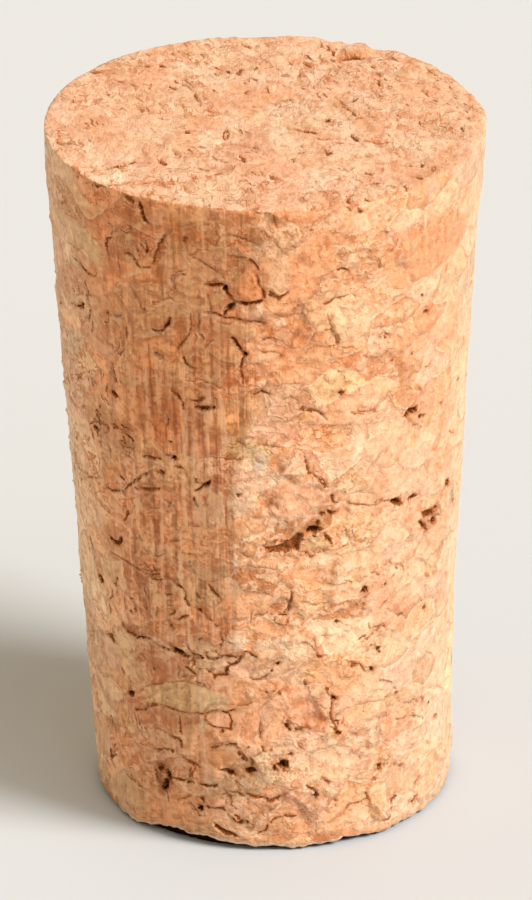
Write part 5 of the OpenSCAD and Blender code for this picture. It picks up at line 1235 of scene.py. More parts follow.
# Faint upright streaks inside smooth granules
STREAKS = [
    [(37.6, 37.27), (38.9, 35.58)],
    [(39.8, 37.5), (41.9, 34.9)],
    [(42.1, 37.7), (44.2, 35.48)],
    [(44.4, 37.43), (47.0, 34.42)],
    [(46.9, 37.62), (49.5, 34.48)],
    [(50.0, 37.63), (52.9, 34.58)],
    [(53.0, 37.52), (56.0, 34.83)],
    [(56.3, 37.38), (58.8, 35.09)],
    [(60.0, 37.18), (62.5, 35.38)],
    [(42.1, 35.38), (43.4, 33.95)],
    [(39.2, 35.57), (40.4, 34.27)],
    [(42.0, 30.87), (43.9, 29.5)],
    [(45.0, 31.03), (47.1, 29.52)],
    [(48.6, 31.13), (51.5, 29.57)],
    [(52.2, 30.98), (54.7, 29.81)],
    [(13.6, 38.28), (14.1, 36.68)],
    [(11.1, 37.83), (11.7, 36.37)],
    [(15.6, 38.58), (15.9, 37.38)],
    [(9.0, 34.7), (9.9, 33.33)],
    [(6.9, 34.5), (7.5, 33.5)],
    [(62.8, 15.42), (65.2, 12.72)],
    [(69.0, 20.49), (71.6, 17.16)],
    [(72.5, 23.28), (75.9, 19.88)],
    [(69.2, 30.92), (74.1, 27.43)],
    [(69.7, 12.33), (72.5, 8.93)],
    [(57.5, 21.47), (59.0, 19.48)],
    [(70.4, 35.66), (78.2, 31.32)],
    [(60.5, 29.82), (64.1, 25.85)],
]

# Pale scratches left by a blade, running up the side: (angle, from, to, strength)
SCRATCHES = [(-22.0, 3.0, 39.0, 0.8), (-27.0, 33.0, 38.0, 0.7), (-27.6, 16.5, 19.5, 0.8), (-30.0, 4.0, 9.0, 0.7),
             (-24.3, 22.0, 30.0, 0.45), (-18.6, 24.0, 33.5, 0.45), (-33.0, 10.0, 15.5, 0.5), (-36.0, 24.0, 31.0, 0.4),
             (-15.2, 14.5, 21.5, 0.45), (-41.0, 3.0, 8.0, 0.45), (-13.0, 28.0, 34.0, 0.4), (-29.0, 26.0, 32.0, 0.35)]

# How high the small end's edge is off the table, round the front: (angle, mm)
FOOT_GAP = [(-60, .10), (-50, .12), (-44, .26), (-41, .40), (-38, .52), (-35, .56), (-32, .60), (-29, .45), (-26, .48), (-23, .52), (-19.4, .44),
            (-16, .36), (-13, .32), (-9.3, .34), (-7.3, .18), (-5, .22), (-2, .24), (2, .24), (4.4, .12), (8, .1), (13, .1), (15, .2), (18, .2),
            (20, .1), (22, .3), (24, .35), (26, .2), (30, .2), (32, .3), (35, .1), (40, .1), (52, .1), (70, .15),
            (90, .25), (105, .1), (120, .3), (135, .15), (150, .2), (165, .4), (180, .2), (200, .1), (215, .3),
            (230, .15), (245, .35), (260, .2), (275, .3), (290, .2)]

# ---------------------------------------------------------------------------
# Plane geometry on lists of points
# ---------------------------------------------------------------------------
def to_wall(pts):
    """(degrees, height) to unrolled millimetres."""
    p = np.array(pts, float)
    p[:, 0] *= math.pi / 180 * R0
    return p


def jag(pts, seed, step=0.28, push=0.045):
    """A drawn line made rough: cut into short steps, each pushed to one side."""
    rng = np.random.default_rng(seed)
    out = [pts[0]]
    for a, b in zip(pts[:-1], pts[1:]):
        n = max(1, int(round(np.hypot(*(b - a)) / step)))
        side = np.array([-(b - a)[1], (b - a)[0]]) / max(np.hypot(*(b - a)), 1e-9)
        for i in range(1, n + 1):
            q = a + (b - a) * i / n
            out.append(q + side * rng.uniform(-push, push) * (1.0 if i < n else 0.5))
    return np.array(out)


def polyline(p, pts):
    """Signed distance to a broken line (sign by side) and the length along it."""
    a, b = pts[:-1], pts[1:]
    ab = b - a
    l2 = np.maximum((ab**2).sum(1), 1e-12)
    ap = p[:, None, :] - a[None]
    t = np.clip((ap * ab[None]).sum(2) / l2, 0, 1)
    off = ap - t[..., None] * ab[None]
    d2 = (off**2).sum(2)
    j = d2.argmin(1)
    i = np.arange(len(p))
    side = np.sign(ab[j, 0] * ap[i, j, 1] - ab[j, 1] * ap[i, j, 0])
    seg = np.sqrt(l2)
    cum = np.concatenate([[0], np.cumsum(seg)])
    return side * np.sqrt(d2[i, j]), cum[j] + t[i, j] * seg[j], cum[-1]


def inside_distance(p, poly):
    """Distance to an outline, positive inside it."""
    a = poly
    b = np.roll(poly, -1, 0)
    ab = b - a
    l2 = np.maximum((ab**2).sum(1), 1e-12)
    ap = p[:, None, :] - a[None]
    t = np.clip((ap * ab[None]).sum(2) / l2, 0, 1)
    off = ap - t[..., None] * ab[None]
    d = np.sqrt((off**2).sum(2).min(1))
    y, x = p[:, 1][:, None], p[:, 0][:, None]
    cross = (a[None, :, 1] > y) != (b[None, :, 1] > y)
    at = a[None, :, 0] + (y - a[None, :, 1]) / np.where(ab[:, 1] == 0, 1e-12, ab[:, 1])[None] * ab[None, :, 0]
    odd = (cross & (x < at)).sum(1) % 2 == 1
    return np.where(odd, d, -d)


class Crack:
    def __init__(self, kind, pts, seed):
        self.width, self.dark, self.depth = kind
        self.pts = jag(pts, seed)
        self.seed = seed
        self.lo, self.hi = self.pts.min(0), self.pts.max(0)

    def measure(self, p):
        """Signed distance, half width here, darkness here."""
        d, along, total = polyline(p, self.pts)
        end = min(0.45, 0.35 * total)
        taper = np.clip(np.minimum(along, total - along) / end, 0, 1) ** 0.6
        k = np.stack([along, np.full_like(along, self.seed * 3.7), np.zeros_like(along)], 1)
        uneven = 0.72 + 0.42 * noise(k, 0.55, 5)
        return d, 0.5 * self.width * taper * np.clip(uneven, 0.25, 1.3), self.dark * (0.85 + 0.2 * noise(k, 0.9, 9))


class Blob:
    """A closed outline, or a round spot, with a depth and a strength."""
    def __init__(self, depth, dark, pts=None, centre=None, radius=0.0, tint=None, soft=0.03):
        self.depth, self.dark, self.tint, self.soft = depth, dark, tint, soft
        self.poly = pts
        self.centre, self.radius = centre, radius
        self.lo = pts.min(0) if pts is not None else centre - radius
        self.hi = pts.max(0) if pts is not None else centre + radius

    def measure(self, p):
        if self.poly is not None:
            return inside_distance(p, self.poly)
        q = (p - self.centre) * np.array([0.8, 1.25])
        return self.radius - np.hypot(q[:, 0], q[:, 1])


def near(p, thing, reach):
    ok = (p[:, 0] > thing.lo[0] - reach) & (p[:, 0] < thing.hi[0] + reach)
    ok &= (p[:, 1] > thing.lo[1] - reach) & (p[:, 1] < thing.hi[1] + reach)
    return np.nonzero(ok)[0]


def pick(mid, things, reach, value, slots):
    """For each face, which things are nearest (lowest value), best first."""
    best = np.full((slots, len(mid)), 99.0)
    which = np.full((slots, len(mid)), -1, int)
    for k, thing in enumerate(things):
        sel = near(mid, thing, reach)
        if not len(sel):
            continue
        v = value(thing, mid[sel])
        for s in range(slots):
            better = v < best[s, sel]
            i = sel[better]
            for low in range(slots - 1, s, -1):
                best[low, i] = best[low - 1, i]
                which[low, i] = which[low - 1, i]
            best[s, i] = v[better]
            which[s, i] = k
            sel, v = sel[~better], v[~better]
    return which


def by_thing(which):
    """Yields each thing's number with the faces it was picked for."""
    order = np.argsort(which, kind="stable")
    ids, start = np.unique(which[order], return_index=True)
    for n, k in enumerate(ids):
        if k >= 0:
            stop = start[n + 1] if n + 1 < len(ids) else len(order)
            yield k, order[start[n]:stop]


# ---------------------------------------------------------------------------
# The large shape
# ---------------------------------------------------------------------------
def ridge_at(z):
    return np.interp(z, [12, 14, 18, 24, 25, 26, 31, 33, 34, 35, 36, 40],
                     [-10.5, -10.5, -10.3, -9, -7.5, -6, -5.5, -4.5, -2.5, -1.5, -1, -0.5])


def side_radius(deg, z):
    """Radius of the side at an angle from -180 to 180 and a height."""
    r = RB + (RT - RB) * z / L
    rad = np.radians(deg)
    right = np.clip(np.sin(rad), 0, 1) ** 0.7
    left = np.clip(-np.sin(rad), 0, 1)
    r = r + right * (0.27 * smooth(33.5, 38.5, z) - 0.10 * smooth(4, 10, z) * (1 - smooth(28, 33, z)) + 0.18 * (1 - smooth(2, 4.5, z)))
    r = r + left * 0.07 * smooth(34, 39, z)
    # the ground-flat quarter at the front left, meeting the rest at a soft edge
    ridge = ridge_at(z)
    amount = smooth(11.5, 15.5, z)
    mid, half = (-38 + ridge) / 2, (ridge + 38) / 2
    t = np.clip((deg - mid) / half, -1, 1)
    flat = 1 - np.cos(np.radians(half)) / np.cos(np.radians(half * t))
    r = r - np.where(np.abs(t) < 1, flat, 0) * r * 0.62 * amount
    mid, half = (ridge + 21) / 2, (21 - ridge) / 2
    t = np.clip((deg - mid) / half, -1, 1)
    flat = 1 - np.cos(np.radians(half)) / np.cos(np.radians(half * t))
    r = r - np.where(np.abs(t) < 1, flat, 0) * r * 0.42 * amount
    # slow unevenness of a hand-turned, much used stopper
    p = np.stack([np.sin(rad) * 11, -np.cos(rad) * 11, z], 1)
    r = r + 0.05 * noise(p, 9.0, 3, (1, 1, 1.6)) + 0.03 * noise(p, 4.0, 4, (1, 1, 2.0))
    r = r + table(deg, [(-62, .0), (-59, .14), (-51, .14), (-44, .06), (-38, -.03), (0, 0), (30, 0), (40, .12), (55, .05), (62, 0)]) * (1 - smooth(0.5, 2.5, z))
    return r


def edge_round_top(deg):
    return table(deg, [(-180, .22), (-125, .2), (-90, .16), (-60, .12), (-35, .12), (-12, .16), (-2, .3), (8, .55), (20, .7), (45, .72), (70, .7), (90, .55), (110, .35), (150, .25)])


def top_height(x, y):
    deg = np.degrees(np.arctan2(x, -y))
    r = np.hypot(x, y)
    rim = smooth(6.0, 11.5, r)
    h = rim * table(deg, [(-180, 0), (-165, .05), (-155, .18), (-108, .18), (-85, .08), (-74, .04), (-42, .0), (-30, -.04), (-25, -.13), (-10, -.14),
                          (0, -.08), (20, -.04), (60, -.03), (95, -.08), (103, -.15), (125, -.15), (134, -.02), (142, .0), (147, -.2), (158, -.22), (166, -.03)])
    p = np.stack([x, y, np.full_like(x, 0.0)], 1)
    return h + 0.05 * noise(p, 5.0, 21) + 0.035 * noise(p, 2.2, 22)


def side_point(u, s):
    """Place in mm for a point of the unrolled side (u round, s up the profile)."""
    th = u / R0
    deg = (np.degrees(th) + 180) % 360 - 180
    sn, cs = np.sin(th), -np.cos(th)

    def profile(s):
        s = np.broadcast_to(s, deg.shape)
        z = np.clip((s - S_BOT) * L / SLANT, 0, L)
        r = side_radius(deg, z)
        low = np.clip(S_BOT - s, 0, None)
        high = np.clip(s - S_TOP, 0, None)
        return r - low - high, z

    r, z = profile(s)
    # rounded edges: a quadratic curve between the two legs
    for corner, rho in ((S_TOP, edge_round_top(deg) + 0.10 * noise(np.stack([sn * 11, cs * 11, 0 * sn], 1), 1.6, 41)),
                        (S_BOT, 0.24 + 0.08 * noise(np.stack([sn * 10, cs * 10, 0 * sn], 1), 1.2, 42))):
        rho = np.clip(rho, 0.08, INSET - 0.03)
        t = (s - (corner - rho)) / (2 * rho)
        on = (t > 0) & (t < 1)
        r0, z0 = profile(corner - rho)
        r1, z1 = profile(corner)
        r2, z2 = profile(corner + rho)
        t = np.clip(t, 0, 1)
        rr = (1 - t) ** 2 * r0 + 2 * t * (1 - t) * r1 + t**2 * r2
        zz = (1 - t) ** 2 * z0 + 2 * t * (1 - t) * z1 + t**2 * z2
        r = np.where(on, rr, r)
        z = np.where(on, zz, z)
    x, y = r * sn, r * cs
    z = z + smooth(S_TOP - 3.0, S_TOP, s) * top_height(x, y)
    return np.stack([x, y, z], 1)


# ---------------------------------------------------------------------------
# Features, listed one by one in front and scattered where the front isn't
# ---------------------------------------------------------------------------
rng = np.random.default_rng(20)


def softer(kind, pts):
    """Cracks are finer and shallower towards the right."""
    t = float(smooth(6, 30, np.mean([deg for deg, _ in pts])))
    return kind[0] * (1 - 0.14 * t), kind[1] * (1 - 0.24 * t), kind[2] * (1 - 0.60 * t)


side_cracks = [Crack(softer(k, p), to_wall(p), i) for i, (k, p) in enumerate(SIDE_CRACKS + MORE_CRACKS)]
ridges = [Crack((w, k, 0.0), to_wall(p), 6000 + i) for i, (w, k, p) in enumerate(RIDGES)]
top_cracks = [Crack(k, np.array(p, float), 1000 + i) for i, (k, p) in enumerate(TOP_CRACKS)]
top_cracks += [Crack(k, np.array(p, float), 9000 + i) for i, (k, p) in enumerate(TOP_MARKS)]
side_cracks += [Crack((0.20, 0.22, 0.0), to_wall(p), 8000 + i) for i, p in enumerate(STREAKS)]
side_pits = [Blob(d, k, to_wall(p)) for d, k, p in SIDE_PITS + MORE_PITS]
side_pits += [Blob(min(0.35, r * 1.6), k, centre=to_wall([(a, z)])[0], radius=r) for a, z, r, k in SIDE_SPOTS]
top_pits = [Blob(min(0.35, r * 1.5), k, centre=np.array([x, y]), radius=r) for x, y, r, k in TOP_SPOTS]
side_patches = [Blob(0, min(0.95, 1.30 * k), to_wall(p), tint=t, soft=0.7 * s) for t, k, s, p in SIDE_PATCHES]
side_patches += [Blob(0, k, to_wall(p), tint=t, soft=s) for t, k, s, p in MORE_PATCHES]
top_patches = [Blob(0, k, np.array(p, float), tint=t, soft=s) for t, k, s, p in TOP_PATCHES + MORE_TOP_PATCHES]


def wander(x, y, length, heading, bend):
    pts = [np.array([x, y])]
    a = heading
    for _ in range(max(2, int(length / 0.45))):
        a += rng.normal(0, bend)
        pts.append(pts[-1] + 0.45 * np.array([math.cos(a), math.sin(a)]))
    return np.array(pts)


g3 = np.random.default_rng(55)
for deg, z, half_w, half_h, count, heading in WRINKLES:
    c = to_wall([(deg, z)])[0]
    for i in range(count):
        q = c + np.array([half_w, half_h]) * g3.uniform(-1, 1, 2)
        a, length, pts = math.radians(heading) + g3.normal(0, 0.45), g3.uniform(0.35, 1.1), [q]
        for _ in range(4):
            a += g3.normal(0, 0.35)
            pts.append(pts[-1] + 0.25 * length * np.array([math.cos(a), math.sin(a)]))
        pts = np.array(pts)
        side_cracks.append(Crack(((0.07, 0.42, 0.03), (0.09, 0.52, 0.05), (0.12, 0.62, 0.08))[i % 3], pts, 5000 + i))
        if i % 2:
            ridges.append(Crack((g3.uniform(0.10, 0.17), g3.uniform(0.35, 0.7), 0.0), pts + np.array([0.13, 0.05]), 7000 + i))


def hidden(deg):
    return abs((deg + 180) % 360 - 180) > 84


n = 0
while n < 280:                                # the side away from the front
    deg, z = rng.uniform(-180, 180), rng.uniform(0.4, 39.4)
    if hidden(deg):
        kind = (S, S, M, M, M, T)[rng.integers(6)]
        side_cracks.append(Crack(kind, wander(deg * math.pi / 180 * R0, z, rng.gamma(2.2, 0.55) + 0.4,
                                              rng.normal(0, 0.5), 0.42), 2000 + n))
        n += 1
n = 0
while n < 120:
    deg, z = rng.uniform(-180, 180), rng.uniform(0.4, 39.4)
    if hidden(deg):
        r = rng.uniform(0.06, 0.17)
        side_pits.append(Blob(r * 1.6, rng.uniform(0.7, 1), centre=to_wall([(deg, z)])[0], radius=r))
        n += 1
for deg, z, wide in ((118, 31.5, 1.6), (-137, 22.0, 2.2), (165, 12.6, 1.5), (-104, 8.4, 1.3), (141, 4.6, 1.7), (-168, 33.4, 1.4), (101, 17.5, 1.2)):
    c = to_wall([(deg, z)])[0]
    a = np.linspace(0, 2 * math.pi, 15)[:-1]
    x = np.cos(a) * 0.62 * wide * rng.uniform(0.72, 1.12, 14)
    ring = c + np.stack([x, np.sin(a) * 0.34 * rng.uniform(0.45, 1.35, 14) + 0.22 * rng.normal() * x + 0.16 * np.sin(2.3 * x + wide)], 1)
    side_pits.append(Blob(0.45, 0.92, ring))
    for k, (way_x, kind) in enumerate(((-1, M), (1, M), (0.4, S))):
        side_cracks.append(Crack(kind, wander(c[0] + way_x * 0.45 * wide, c[1] + 0.1 * way_x, rng.uniform(0.9, 1.9), 0.25 * rng.normal() + (math.pi if way_x < 0 else 0.0), 0.45), 2600 + 10 * len(side_pits) + k))
    side_patches.append(Blob(0, 0.5, c + (ring - c) * np.array([1.35, 1.9]), tint="redbrown", soft=0.12))
n = 0
while n < 46:
    deg, z = rng.uniform(-180, 180), rng.uniform(1.5, 38.5)
    if hidden(deg):
        a = np.linspace(0, 2 * math.pi, 10)[:-1]
        c = to_wall([(deg, z)])[0]
        ring = c + np.stack([np.cos(a) * rng.uniform(0.9, 2.2), np.sin(a) * rng.uniform(0.5, 1.1)], 1) * rng.uniform(0.7, 1.2, (9, 1))
        side_patches.append(Blob(0, rng.uniform(0.3, 0.6), ring, tint=("cream", "redbrown", "orange", "pink", "olive", "cream")[rng.integers(6)], soft=0.12))
        n += 1
# the wide end's own fine marks, and the small end's
for i in range(60):
    a, r = rng.uniform(0, 2 * math.pi), 11.3 * math.sqrt(rng.uniform())
    top_cracks.append(Crack((0.06, 0.40, 0.05) if i % 3 else (0.10, 0.55, 0.10),
                            wander(r * math.cos(a), r * math.sin(a), rng.uniform(0.25, 0.95), rng.uniform(0, math.pi), 0.3), 3000 + i))
bottom_cracks, bottom_pits, bottom_patches = [], [], []
for i in range(90):
    a, r = rng.uniform(0, 2 * math.pi), 9.2 * math.sqrt(rng.uniform())
    bottom_cracks.append(Crack((S, M, M, T)[i % 4], wander(r * math.cos(a), r * math.sin(a), rng.uniform(0.5, 2.4), rng.uniform(0, math.pi), 0.5), 4000 + i))
for i in range(40):
    a, r = rng.uniform(0, 2 * math.pi), 9.2 * math.sqrt(rng.uniform())
    bottom_pits.append(Blob(0.2, 0.9, centre=np.array([r * math.cos(a), r * math.sin(a)]), radius=rng.uniform(0.08, 0.2)))

# ---------------------------------------------------------------------------
# Mesh points: a jittered honeycomb, closer together where there is a crack
# ---------------------------------------------------------------------------
def honeycomb(lo, hi, step, seed):
    g = np.random.default_rng(seed)
    ny = int((hi[1] - lo[1]) / (step * math.sqrt(3) / 2)) + 1
    nx = int((hi[0] - lo[0]) / step) + 1
    jj, ii = np.meshgrid(np.arange(ny), np.arange(nx), indexing="ij")
    x = lo[0] + (ii + 0.5 * (jj % 2)) * step
    y = lo[1] + jj * step * math.sqrt(3) / 2
    p = np.stack([x.ravel(), y.ravel()], 1) + g.uniform(-0.22, 0.22, (nx * ny, 2)) * step
    return p


def closeness(p, cracks, pits):
    """How near each point is to something that is cut into the cork."""
    out = np.full(len(p), 9.0)
    for c in cracks:
        sel = near(p, c, 0.4)
        if len(sel):
            d, _, _ = polyline(p[sel], c.pts)
            out[sel] = np.minimum(out[sel], np.maximum(0, np.abs(d) - 0.4 * c.width) + (0.05 if c.width < 0.1 else 0))
    for b in pits:
        sel = near(p, b, 0.4)
        if len(sel):
            out[sel] = np.minimum(out[sel], np.abs(b.measure(p[sel])) * (0.6 if b.radius else 0.75))
    return out


def wall_deg(p):
    return (p[:, 0] / R0 * 180 / math.pi + 180) % 360 - 180


def side_points(squeeze):
    # the wall's features are kept in (u from -half to half, z); work there and wrap afterwards
    lo, hi = np.array([-U_END / 2, 0.0]), np.array([U_END / 2, S_END])
    zf = L / SLANT

    def to_features(p):
        return np.stack([p[:, 0], (p[:, 1] - S_BOT) * zf], 1)

    out = []
    for step, sd in ((0.085, 1), (0.14, 2)):
        p = honeycomb(lo, hi, step * squeeze, sd)
        deg = wall_deg(p)
        p = p[(np.abs(deg) < 84) & (p[:, 1] > S_BOT - 0.05) & (p[:, 1] < S_TOP + 0.1)]
        d = closeness(to_features(p), [c for c in side_cracks if c.seed < 1000], side_pits)
        out.append(p[d < 0.10] if step < 0.1 else p[(d >= 0.10) & (d < 0.26)])
    for step, low, high, sd in ((0.195, 0, 84, 3), (0.265, 84, 181, 4)):
        p = honeycomb(lo, hi, step * squeeze, sd)
        deg = np.abs(wall_deg(p))
        p = p[(deg >= low) & (deg < high)]
        if low == 0:
            d = closeness(to_features(p), [c for c in side_cracks if c.seed < 1000], side_pits)
            p = p[d >= 0.26]
        else:
            d = closeness(to_features(p), [c for c in side_cracks if c.seed >= 2000 and c.width > 0.1], side_pits[len(SIDE_PITS) + len(MORE_PITS) + len(SIDE_SPOTS):])
            extra = honeycomb(lo, hi, 0.15 * squeeze, 5)
            e = np.abs(wall_deg(extra))
            extra = extra[(e >= low) & (e < high)]
            de = closeness(to_features(extra), [c for c in side_cracks if c.seed >= 2000 and c.width > 0.1], side_pits[len(SIDE_PITS) + len(MORE_PITS) + len(SIDE_SPOTS):])
            out.append(extra[de < 0.12])
            p = p[d >= 0.12]
        out.append(p)
    p = np.concatenate(out)
    gap = 0.10
    return p[(p[:, 1] > gap) & (p[:, 1] < S_END - gap)]


N_TOP, N_BOT = 366, 200
RAD_TOP, RAD_BOT = RT - INSET, RB - INSET


def disc_points(radius, step, cracks, pits, seed, squeeze, inner=0.14):
    lo, hi = np.array([-radius, -radius]), np.array([radius, radius])
    out = []
    p = honeycomb(lo, hi, 0.10 * squeeze, seed)
    d = closeness(p, cracks, pits)
    out.append(p[d < 0.09])
    p = honeycomb(lo, hi, step * squeeze, seed + 1)
    d = closeness(p, cracks, pits)
    out.append(p[d >= 0.09])
    p = np.concatenate(out)
    return p[np.hypot(p[:, 0], p[:, 1]) < radius - inner]


def build_points(squeeze):
    return (side_points(squeeze),
            disc_points(RAD_TOP, 0.19, [c for c in top_cracks if c.seed < 3000], top_pits, 51, squeeze),
            disc_points(RAD_BOT, 0.42, [], [], 61, squeeze, 0.25))


MAX_FACES = 197500
squeeze = 1.0
for _ in range(4):
    side_p, top_p, bot_p = build_points(squeeze)
    faces_to_come = 2 * (len(side_p) + N_TOP + N_BOT + len(top_p) + len(bot_p)) - 4
    if 192500 <= faces_to_come <= MAX_FACES:
        break
    squeeze *= math.sqrt(faces_to_come / 195500.0)
print("points", len(side_p), len(top_p), len(bot_p), "squeeze", round(squeeze, 4), "faces", faces_to_come)

# ---------------------------------------------------------------------------
# Triangles
# ---------------------------------------------------------------------------
def triangulate(p):
    out = delaunay_2d_cdt([Vector((float(x), float(y))) for x, y in p], [], [], 0, 1e-7, False)
    verts, tris = np.array([tuple(v) for v in out[0]]), np.array(out[2])
    if len(verts) != len(p) or np.abs(verts - p).max() > 1e-3:
        raise RuntimeError("triangulation moved or merged points")
    return tris


side_p[:, 0] = (side_p[:, 0] + U_END / 2) % U_END - U_END / 2
side_p = side_p[side_p[:, 0] < U_END / 2 - 0.10]
n_side = len(side_p)
i_bot = n_side + np.arange(N_BOT)
i_top = n_side + N_BOT + np.arange(N_TOP)
ring_bot = np.stack([(np.arange(N_BOT) / N_BOT - 0.5) * U_END, np.zeros(N_BOT)], 1)
ring_top = np.stack([(np.arange(N_TOP) / N_TOP - 0.5) * U_END, np.full(N_TOP, S_END)], 1)
sheet = np.concatenate([side_p, ring_bot, ring_top])
ids = np.arange(len(sheet))
m = 2.0
low, high = sheet[:, 0] < -U_END / 2 + m, sheet[:, 0] > U_END / 2 - m
ext = np.concatenate([sheet, sheet[low] + [U_END, 0], sheet[high] - [U_END, 0]])
ext_id = np.concatenate([ids, ids[low], ids[high]])
tri = triangulate(ext)
cen = ext[tri].mean(1)
# each triangle of the wrapped sheet once: its centre lies in one turn
tri = tri[(cen[:, 0] >= -U_END / 2) & (cen[:, 0] < U_END / 2)]
side_faces, side_flat = ext_id[tri], ext[tri]

th_top, th_bot = ring_top[:, 0] / R0, ring_bot[:, 0] / R0
circle_top = np.stack([np.sin(th_top), -np.cos(th_top)], 1) * RAD_TOP
circle_bot = np.stack([np.sin(th_bot), -np.cos(th_bot)], 1) * RAD_BOT
flat_top = np.concatenate([circle_top, top_p])
flat_bot = np.concatenate([circle_bot, bot_p])
n_ring_end = n_side + N_BOT + N_TOP
id_top = np.concatenate([i_top, n_ring_end + np.arange(len(top_p))])
id_bot = np.concatenate([i_bot, n_ring_end + len(top_p) + np.arange(len(bot_p))])
t_top, t_bot = triangulate(flat_top), triangulate(flat_bot)
top_faces, bot_faces = id_top[t_top], id_bot[t_bot][:, ::-1]
faces = np.concatenate([side_faces, top_faces, bot_faces])
flat = np.concatenate([side_flat, flat_top[t_top], flat_bot[t_bot][:, ::-1]])
part = np.concatenate([np.zeros(len(side_faces), int), np.ones(len(top_faces), int), np.full(len(bot_faces), 2)])

# the undisplaced surface
base = np.zeros((n_ring_end + len(top_p) + len(bot_p), 3))
base[:n_ring_end] = side_point(sheet[:, 0], sheet[:, 1])
r = np.hypot(top_p[:, 0], top_p[:, 1])
deg = np.degrees(np.arctan2(top_p[:, 0], -top_p[:, 1]))
grow = 1 + ((side_radius(deg, np.full_like(r, L)) - INSET) / RAD_TOP - 1) * (r / RAD_TOP) ** 2
tx, ty = top_p[:, 0] * grow, top_p[:, 1] * grow
base[n_ring_end:n_ring_end + len(top_p)] = np.stack([tx, ty, L + top_height(tx, ty)], 1)
r = np.hypot(bot_p[:, 0], bot_p[:, 1])
deg = np.degrees(np.arctan2(bot_p[:, 0], -bot_p[:, 1]))
grow = 1 + ((side_radius(deg, np.zeros_like(r)) - INSET) / RAD_BOT - 1) * (r / RAD_BOT) ** 2
base[n_ring_end + len(top_p):] = np.stack([bot_p[:, 0] * grow, bot_p[:, 1] * grow, np.zeros_like(r)], 1)


def vertex_normals(p, f):
    n = np.cross(p[f[:, 1]] - p[f[:, 0]], p[f[:, 2]] - p[f[:, 0]])
    out = np.zeros_like(p)
    for k in range(3):
        for c in range(3):
            out[:, c] += np.bincount(f[:, k], n[:, c], len(p))
    return out / np.maximum(np.linalg.norm(out, axis=1), 1e-12)[:, None]


edge_count = {}
e = np.sort(np.concatenate([faces[:, [0, 1]], faces[:, [1, 2]], faces[:, [2, 0]]]), 1)
_, c = np.unique(e[:, 0] * len(base) + e[:, 1], return_counts=True)
print("faces", len(faces), "vertices", len(base), "edges not shared by two faces:", int((c != 2).sum()))

# ---------------------------------------------------------------------------
# Cork granules: weighted cells in space, flattened, with wavy borders
# ---------------------------------------------------------------------------
def bent(p):
    w = np.stack([noise(p, 2.2, 61), noise(p, 2.2, 62), noise(p, 2.2, 63)], 1) * 0.55
    w += np.stack([noise(p, 0.7, 64), noise(p, 0.7, 65), noise(p, 0.7, 66)], 1) * 0.16
    q = p + w
    return q * np.array([1, 1, 1.5])


g = np.random.default_rng(7)
seeds = []
cand = np.stack([g.uniform(-13, 13, 26000), g.uniform(-13, 13, 26000), g.uniform(-1, 41, 26000)], 1)
rc = np.hypot(cand[:, 0], cand[:, 1])
edge_r = RB + (RT - RB) * np.clip(cand[:, 2] / L, 0, 1)
cand = cand[(rc < edge_r + 0.6) & ((rc > edge_r - 2.4) | (cand[:, 2] < 1.8) | (cand[:, 2] > 38.2))] * np.array([1, 1, 1.5])
gap = g.choice([1.5, 1.9, 2.4, 3.0], len(cand), p=[0.16, 0.34, 0.32, 0.18])
kept = np.zeros((0, 4))
for p, q in zip(cand, gap):
    if not len(kept) or (((kept[:, :3] - p) ** 2).sum(1) > (0.5 * (kept[:, 3] + q)) ** 2).all():
        kept = np.concatenate([kept, [[*p, q]]])
seed_p, seed_w = kept[:, :3], (kept[:, 3] - 2.2) * 0.42
n_seed = len(seed_p)
print("granules", n_seed)


def nearest_seeds(q, count):
    out = np.zeros((len(q), count), int)
    s32, w32 = seed_p.astype(np.float32), seed_w.astype(np.float32)
    s2 = (s32**2).sum(1)
    for a in range(0, len(q), 6000):
        b = q[a:a + 6000].astype(np.float32)
        d = np.sqrt(np.maximum((b**2).sum(1)[:, None] + s2[None] - 2 * b @ s32.T, 0)) - w32[None]
        for k in range(count):
            j = d.argmin(1)
            out[a:a + 6000, k] = j
            d[np.arange(len(b)), j] = 1e9
    return out


def seed_distance(q, j):
    return np.linalg.norm(q - seed_p[j], axis=-1) - seed_w[j]


def pair_random(a, b, salt):
    return _hash(np.minimum(a, b), np.maximum(a, b), np.full_like(a, salt), salt)


bent_v = bent(base)
near_v = nearest_seeds(bent_v, 3)
mid_f = bent_v[faces].mean(1)
near_f = nearest_seeds(mid_f, 2)
near_f.sort(axis=1)
qa = bent_v[faces]
dist_a = seed_distance(qa, near_f[:, 0][:, None])
dist_b = seed_distance(qa, near_f[:, 1][:, None])
border = (dist_b - dist_a) / 1.7                       # + where the first granule shows
winner = np.where(border.mean(1) > 0, near_f[:, 0], near_f[:, 1])
pair_open = pair_random(near_f[:, 0], near_f[:, 1], 5)

# Small torn flakes inside the granules
def cells(q, salt):
    """The two nearest of one random point per unit cell: places and names."""
    i = np.floor(q).astype(np.int64)
    best = np.full((2, len(q)), 99.0)
    place = np.zeros((2, len(q), 3))
    name = np.zeros((2, len(q)), np.int64)
    for dx in (-1, 0, 1):
        for dy in (-1, 0, 1):
            for dz in (-1, 0, 1):
                c = i + np.array([dx, dy, dz])
                p = c + 0.12 + 0.76 * np.stack([_hash(c[:, 0] + 500, c[:, 1] + 500, c[:, 2] + 500, salt + k) for k in range(3)], 1)
                d = ((q - p) ** 2).sum(1)
                tag = ((c[:, 0] + 500) * 1009 + (c[:, 1] + 500)) * 1009 + (c[:, 2] + 500)
                one = d < best[0]
                two = ~one & (d < best[1])
                for arr, val in ((best, d), (place, p), (name, tag)):
                    arr[1][one] = arr[0][one]
                    arr[0][one] = val[one]
                    arr[1][two] = val[two]
    return place, name


def tag_random(tag, salt):
    return _hash(tag & 0xFFFF, tag >> 16, np.full_like(tag, salt), salt)


seed_shift = np.stack([_hash(np.arange(n_seed), np.full(n_seed, k), np.full(n_seed, 3), 77) for k in range(3)], 1) * 40


